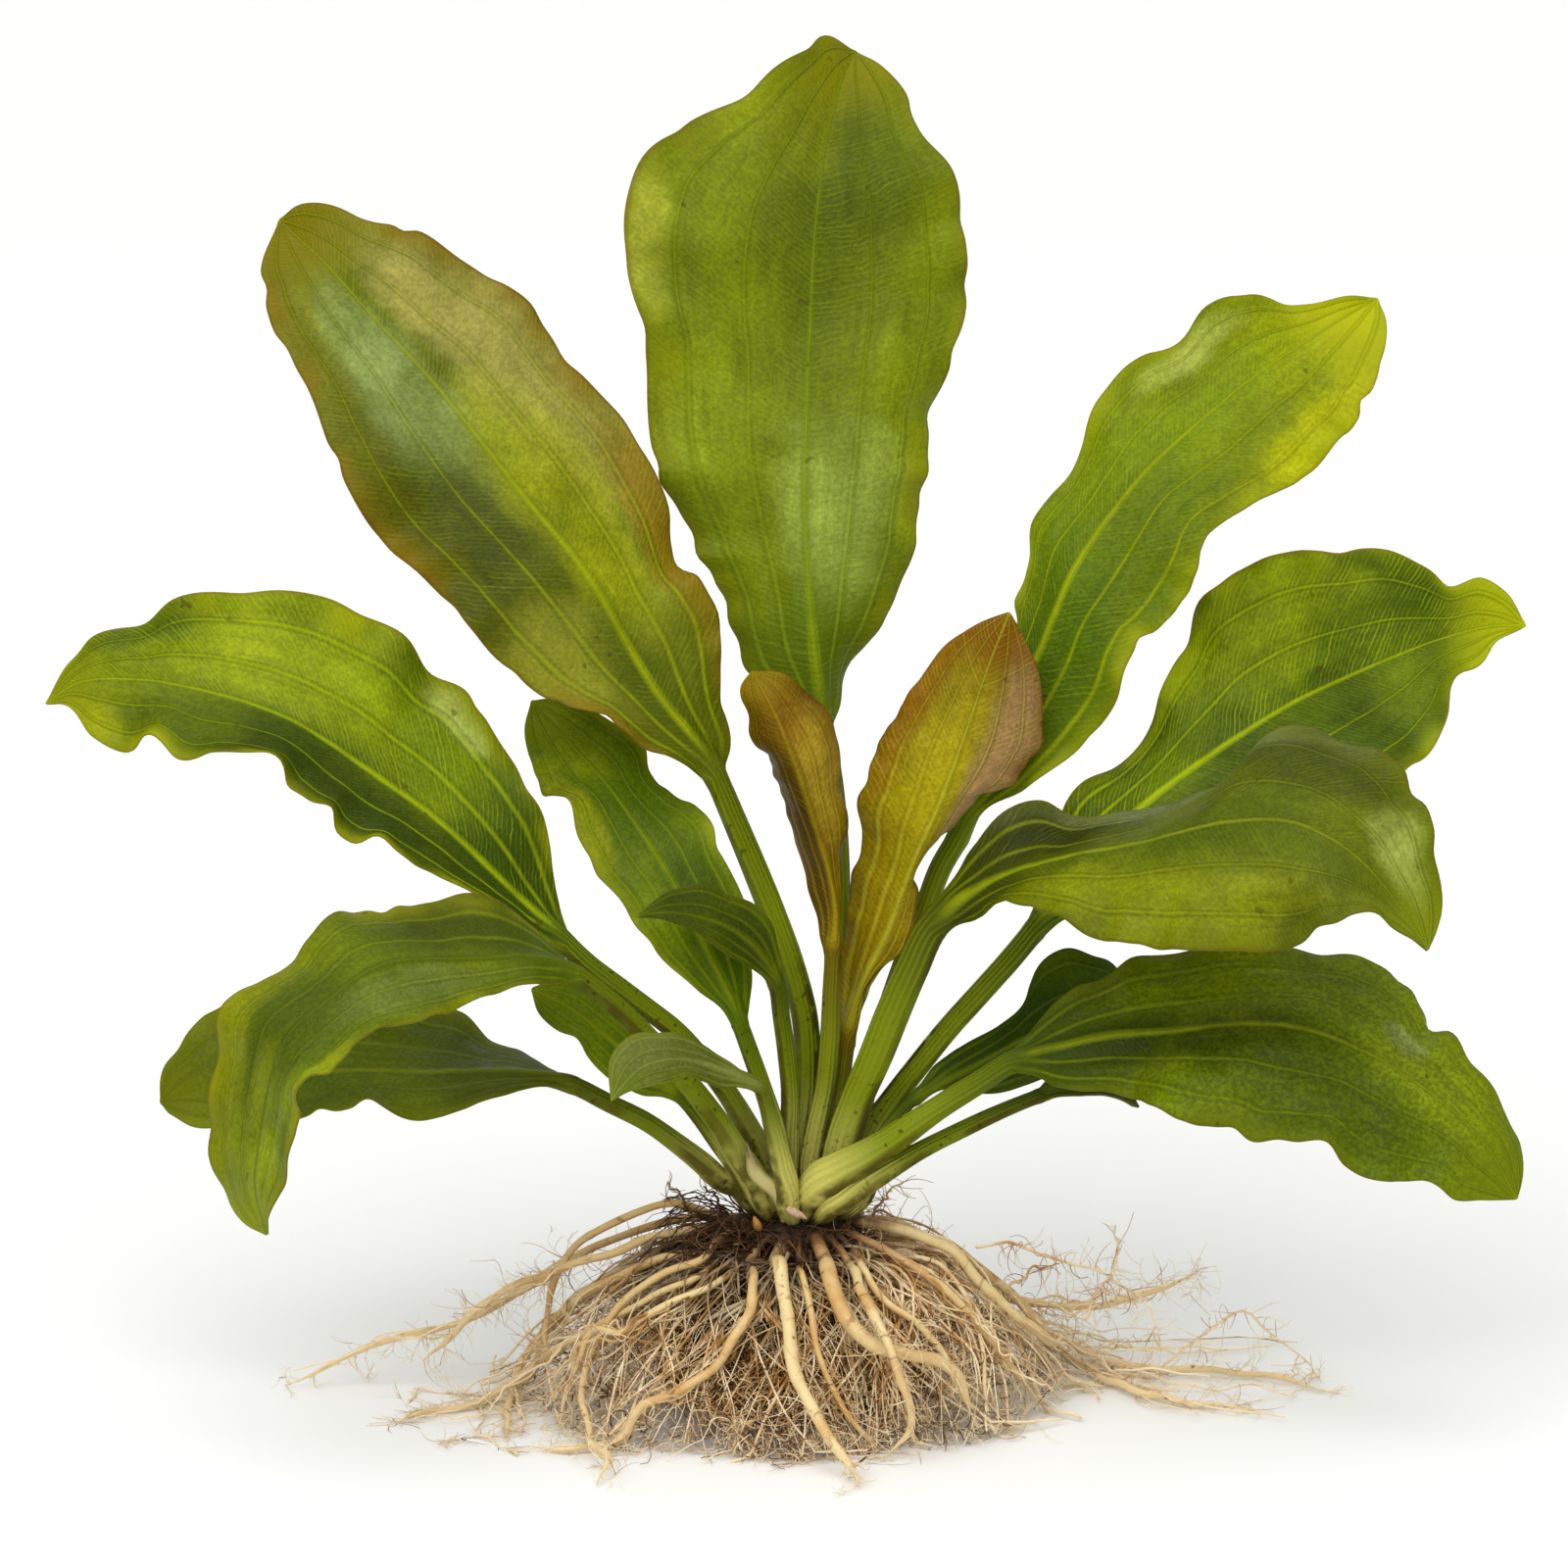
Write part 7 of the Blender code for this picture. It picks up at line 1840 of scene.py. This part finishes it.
def make_outlying_roots(props, chance):
    """Side roots of the long roots that reach out of the mat on both sides."""
    width = props.fibre_width
    # None of them grows past the tip of the hindmost root.
    hindmost = 75.0
    level = np.array([1.0, 1.0, 0.7])
    starts, headings = [], []
    share = np.linspace(0.0, 1.0, 90)
    for path, _ in root_paths().values():
        line = smooth_path(path, share)
        run = unit(np.gradient(line, axis=0))
        far = line[:, 0] ** 2 / 56.0**2 + line[:, 1] ** 2 / 44.0**2 > 0.75
        for i in np.nonzero(far | (share > 0.55))[0]:
            for _ in range(1 if line[i, 0] < 40.0 else 2):
                starts.append(line[i] + chance.normal(0.0, 0.3, 3))
                headings.append(run[i] * 0.8 + chance.normal(0.0, 0.8, 3) * level)
    starts, headings = np.array(starts), np.array(headings)
    kept = chance.random(len(starts)) < 0.62
    starts, headings = starts[kept], headings[kept]
    count = len(starts)
    length = chance.uniform(4.0, 18.0, count) * chance.uniform(0.5, 1.0, count)
    first = curls(chance, starts, headings, length, 16, chance.uniform(0.08, 0.42, count))
    first = first[first[:, :, 1].max(axis=1) < hindmost]
    count = len(first)
    radius = chance.uniform(0.08, 0.17, count) * width
    tone = np.clip(chance.normal(0.86, 0.16, count), 0.3, 1.0)
    groups = [(first, radius, 0.5, tone, 3)]
    picks = chance.integers(0, count, count * 2)
    joints = chance.integers(3, 15, count * 2)
    runs = unit(np.gradient(first, axis=1))[picks, joints]
    second = curls(
        chance, first[picks, joints], runs + chance.normal(0.0, 0.8, (count * 2, 3)),
        chance.uniform(1.5, 7.0, count * 2), 9, chance.uniform(0.1, 0.5, count * 2),
    )
    second = second[second[:, :, 1].max(axis=1) < hindmost + 1.0]
    radius = chance.uniform(0.05, 0.09, len(second)) * width
    tone = np.clip(chance.normal(0.74, 0.2, len(second)), 0.1, 1.0)
    groups.append((second, radius, 0.6, tone, 3))
    strands_mesh("fine_roots_outlying", groups)

    lines = []
    for route in THIN_ROOTS:
        points = [seen(*p) if len(p) == 3 else resting(*p, 0.5) for p in route]
        line = smooth_path(points, np.linspace(0.0, 1.0, 48))
        lines.append(line + wander(chance, 1, 48, np.array([60.0]), 0.35)[0])
    lines = np.array(lines)
    count = len(lines)
    groups = [(lines, np.full(count, 0.36) * width, 0.5, np.full(count, 0.72), 5)]
    # Twigs on them, more on the longer ones.
    twig_starts = lines[:, 4:].reshape(-1, 3)
    spans = np.linalg.norm(lines[:, -1] - lines[:, 0], axis=1)
    odds = np.repeat(spans / spans.sum() / 44.0, 44)
    count = 420
    picked = chance.choice(len(twig_starts), count, p=odds)
    twigs = curls(
        chance, twig_starts[picked], chance.normal(0.0, 1.0, (count, 3)),
        chance.uniform(2.0, 8.0, count), 8, chance.uniform(0.1, 0.45, count),
    )
    tone = np.clip(chance.normal(0.66, 0.15, count), 0.2, 1.0)
    groups.append((twigs, np.full(count, 0.12), 0.5, tone, 3))
    strands_mesh("fine_roots_stray", groups)


def make_stage(props):
    """Plain pale floor, soft light and the camera at the photograph's angle."""
    deselect()
    bpy.ops.mesh.primitive_plane_add(size=40.0)
    floor = bpy.context.object
    floor.name = "stage_floor"
    # Matt paper sweep: even, with no grain at this distance.
    material = bpy.data.materials.new("matt_white_paper")
    material.use_nodes = True
    feed(material.node_tree.nodes["Principled BSDF"], {
        "Base Color": (*props.floor, 1.0), "Roughness": 0.8, "Specular IOR Level": 0.2,
    })
    floor.data.materials.append(material)
    scene = bpy.context.scene
    world = bpy.data.worlds.new("studio")
    world.use_nodes = True
    # A white tent that is brightest overhead.
    sky = world.node_tree
    direction = add_node(sky, "TexCoord").node.outputs["Generated"]
    height = add_node(sky, "SeparateXYZ", direction).node.outputs["Z"]
    height = add_node(sky, "Math", height, 0.0, operation="MAXIMUM")
    height = add_node(sky, "Math", height, 2.0, operation="POWER")
    strength = add_node(sky, "MapRange", height, 0.0, 1.0, props.side, props.overhead)
    feed(sky.nodes["Background"], {"Strength": strength, "Color": (1.0, 1.0, 1.0, 1.0)})
    scene.world = world
    sun = bpy.data.lights.new("window_light", "SUN")
    sun.energy = props.sun
    sun.angle = math.radians(64.0)
    sun_lamp = bpy.data.objects.new("window_light", sun)
    sun_lamp.rotation_euler = Vector((0.2, 0.8, -1.1)).to_track_quat("-Z", "Y").to_euler()
    scene.collection.objects.link(sun_lamp)
    for name, place, size, power in (
        ("soft_light_left", (-0.9, -1.1, 1.1), 0.7, props.key),
        ("soft_light_right", (1.0, -0.9, 0.7), 0.7, props.key * 0.35),
        ("soft_light_back", (0.1, 1.2, 0.9), 0.9, props.key * 0.25),
    ):
        light = bpy.data.lights.new(name, "AREA")
        light.shape = "DISK"
        light.size = size
        light.energy = power
        lamp = bpy.data.objects.new(name, light)
        lamp.location = place
        aim = Vector((0.0, 0.0, 0.12)) - Vector(place)
        lamp.rotation_euler = aim.to_track_quat("-Z", "Y").to_euler()
        scene.collection.objects.link(lamp)
    camera_data = bpy.data.cameras.new("camera")
    camera_data.lens = 180.0
    camera_data.sensor_width = 36.0
    camera_data.clip_end = 60.0
    camera = bpy.data.objects.new("camera", camera_data)
    camera.location = EYE * MM
    camera.rotation_euler = (math.radians(90.0) - VIEW_TILT, 0.0, 0.0)
    scene.collection.objects.link(camera)
    scene.camera = camera
    scene.view_settings.view_transform = "Standard"


def colour_of(hex_value, name, description):
    """Colour property that starts from an sRGB hex value."""
    return bpy.props.FloatVectorProperty(
        name=name, description=description, subtype="COLOR", size=3, min=0.0, max=1.0,
        default=linear(hex_value)[:3],
    )


def number(name, description, default, least, most, **more):
    """Number property with its limits."""
    return bpy.props.FloatProperty(
        name=name, description=description, default=default, min=least, max=most, **more
    )


class SwordLeafProps(bpy.types.PropertyGroup):
    """Sizes and colours that all leaves share."""

    ruffle: number("Ruffle", "How strongly the margins wave", 1.0, 0.0, 2.0)
    vein_width: number(
        "Vein width", "Width of a long vein at the foot of a blade, in mm", 0.9, 0.3, 3.0
    )
    cross_vein_step: number(
        "Cross-vein step", "Distance between the fine cross-veins, in mm", 1.2, 0.5, 4.0
    )
    roughness: number(
        "Roughness", "Roughness of the waxy leaf skin", 0.38, 0.05, 1.0, subtype="FACTOR"
    )
    depth: number("Depth", "How light the leaf colours are", 0.66, 0.2, 1.5)
    contrast: number("Contrast", "How far light and dark places lie apart", 0.2, 0.0, 1.0)
    stalk_colour: colour_of("#727F0C", "Stalk", "Colour of the stalks half way up")
    sheath_colour: colour_of("#CAC264", "Stalk foot", "Colour of the stalks at the crown")


class SwordRootProps(bpy.types.PropertyGroup):
    """Sizes and colours of the crown and the roots."""

    seed: bpy.props.IntProperty(
        name="Seed", description="Chooses how the fine roots wander", default=7, min=0, max=999
    )
    fullness: number("Fullness", "Share of the fine roots that is made", 1.0, 0.1, 1.2)
    fibre_width: number("Fibre width", "Thickness of the fine roots", 1.0, 0.5, 2.0)
    thickness: number("Root thickness", "Thickness of the fleshy roots", 1.0, 0.5, 1.2)
    cream: colour_of("#E2CB92", "Cream", "Palest colour of the fleshy roots")
    tan: colour_of("#C4924C", "Tan", "Darker colour of the fleshy roots")
    rust: colour_of("#8A5424", "Rust", "Colour of root scars and root tops")
    dark_fibre: colour_of("#40240A", "Deep fibre", "Colour of fibres deep in the mat")
    olive_fibre: colour_of("#865820", "Middle fibre", "Colour of most fibres in the mat")
    pale_fibre: colour_of("#F6E2B8", "Pale fibre", "Colour of the palest fibres")
    bark_light: colour_of("#5A3C1E", "Bark", "Colour of the crown's ridges")
    bark_dark: colour_of("#2A190C", "Bark hollows", "Colour of the crown's hollows")
    dry_sheath: colour_of("#DACB86", "Dry sheath", "Colour of the dead leaf base")


class SwordStageProps(bpy.types.PropertyGroup):
    """Floor and lights."""

    floor: colour_of("#F3F3F1", "Floor", "Colour of the floor")
    side: number("Side", "Strength of the light from the horizon", 0.3, 0.0, 3.0)
    overhead: number("Overhead", "Strength of the light from above", 1.15, 0.0, 5.0)
    sun: number("Sun", "Strength of the soft light from the upper left", 1.6, 0.0, 20.0)
    key: number(
        "Key", "Strength of the main light", 4.0, 0.0, 500.0, subtype="POWER", unit="POWER"
    )


def build_leaves(leaves, first_seed):
    """Makes the leaves of one group."""
    props = bpy.context.scene.sword_leaf
    for i, (name, leaf) in enumerate(leaves.items()):
        make_leaf(name, leaf, props, first_seed + i)


class PLANT_OT_upright_leaves(bpy.types.Operator):
    """Builds the leaves that stand up from the middle of the crown"""

    bl_idname = "plant.upright_leaves"
    bl_label = "Upright Leaves"

    def execute(self, context):
        build_leaves(UPRIGHT_LEAVES, 1)
        return {"FINISHED"}


class PLANT_OT_left_leaves(bpy.types.Operator):
    """Builds the leaves that arch or hang to the left"""

    bl_idname = "plant.left_leaves"
    bl_label = "Left Leaves"

    def execute(self, context):
        build_leaves(LEFT_LEAVES, 11)
        return {"FINISHED"}


class PLANT_OT_right_leaves(bpy.types.Operator):
    """Builds the leaves that arch or hang to the right"""

    bl_idname = "plant.right_leaves"
    bl_label = "Right Leaves"

    def execute(self, context):
        build_leaves(RIGHT_LEAVES, 21)
        return {"FINISHED"}


class PLANT_OT_crown(bpy.types.Operator):
    """Builds the rootstock and the stub of a dead leaf"""

    bl_idname = "plant.crown"
    bl_label = "Crown"

    def execute(self, context):
        props = context.scene.sword_root
        make_crown(props)
        fibrous_root(props)
        make_crown_rootlets(props)
        make_old_sheath(props)
        return {"FINISHED"}


class PLANT_OT_fleshy_roots(bpy.types.Operator):
    """Builds every thick root"""

    bl_idname = "plant.fleshy_roots"
    bl_label = "Fleshy Roots"

    def execute(self, context):
        props = context.scene.sword_root
        fleshy_root(props)
        for i, (name, (path, radii)) in enumerate(root_paths().items()):
            make_thick_root(name, path, radii, props, 40 + i)
        return {"FINISHED"}


class PLANT_OT_fine_roots(bpy.types.Operator):
    """Builds the mat of fine roots and their side roots"""

    bl_idname = "plant.fine_roots"
    bl_label = "Fine Roots"

    def execute(self, context):
        make_fine_roots(context.scene.sword_root)
        return {"FINISHED"}


class PLANT_OT_stage(bpy.types.Operator):
    """Sets the floor, the lights and the camera"""

    bl_idname = "plant.stage"
    bl_label = "Stage"

    def execute(self, context):
        make_stage(context.scene.sword_stage)
        return {"FINISHED"}


class PLANT_PT_panel(bpy.types.Panel):
    """Lists the plant's sizes, colours and pieces"""

    bl_idname = "PLANT_PT_panel"
    bl_label = "Amazon Sword Plant"
    bl_space_type = "VIEW_3D"
    bl_region_type = "UI"
    bl_category = "Plant"

    def draw(self, context):
        for title, props in (
            ("Leaves", context.scene.sword_leaf),
            ("Roots", context.scene.sword_root),
            ("Stage", context.scene.sword_stage),
        ):
            box = self.layout.box()
            box.label(text=title)
            for name in props.__annotations__:
                box.prop(props, name)
        for operator in OPERATORS:
            self.layout.operator(operator.bl_idname)


PROPS = {
    "sword_leaf": SwordLeafProps,
    "sword_root": SwordRootProps,
    "sword_stage": SwordStageProps,
}
OPERATORS = (
    PLANT_OT_stage,
    PLANT_OT_upright_leaves,
    PLANT_OT_left_leaves,
    PLANT_OT_right_leaves,
    PLANT_OT_crown,
    PLANT_OT_fleshy_roots,
    PLANT_OT_fine_roots,
)


def register():
    """Adds the settings, operators and panel to Blender."""
    for name, group in PROPS.items():
        bpy.utils.register_class(group)
        setattr(bpy.types.Scene, name, bpy.props.PointerProperty(type=group))
    for operator in OPERATORS:
        bpy.utils.register_class(operator)
    bpy.utils.register_class(PLANT_PT_panel)


def unregister():
    """Takes them out again."""
    bpy.utils.unregister_class(PLANT_PT_panel)
    for operator in reversed(OPERATORS):
        bpy.utils.unregister_class(operator)
    for name, group in PROPS.items():
        delattr(bpy.types.Scene, name)
        bpy.utils.unregister_class(group)


def main():
    """Builds the whole plant on its stage."""
    register()
    bpy.ops.object.select_all(action="DESELECT")
    bpy.ops.plant.stage()
    bpy.ops.plant.upright_leaves()
    bpy.ops.plant.left_leaves()
    bpy.ops.plant.right_leaves()
    bpy.ops.plant.crown()
    bpy.ops.plant.fleshy_roots()
    bpy.ops.plant.fine_roots()


if __name__ == "__main__":
    main()
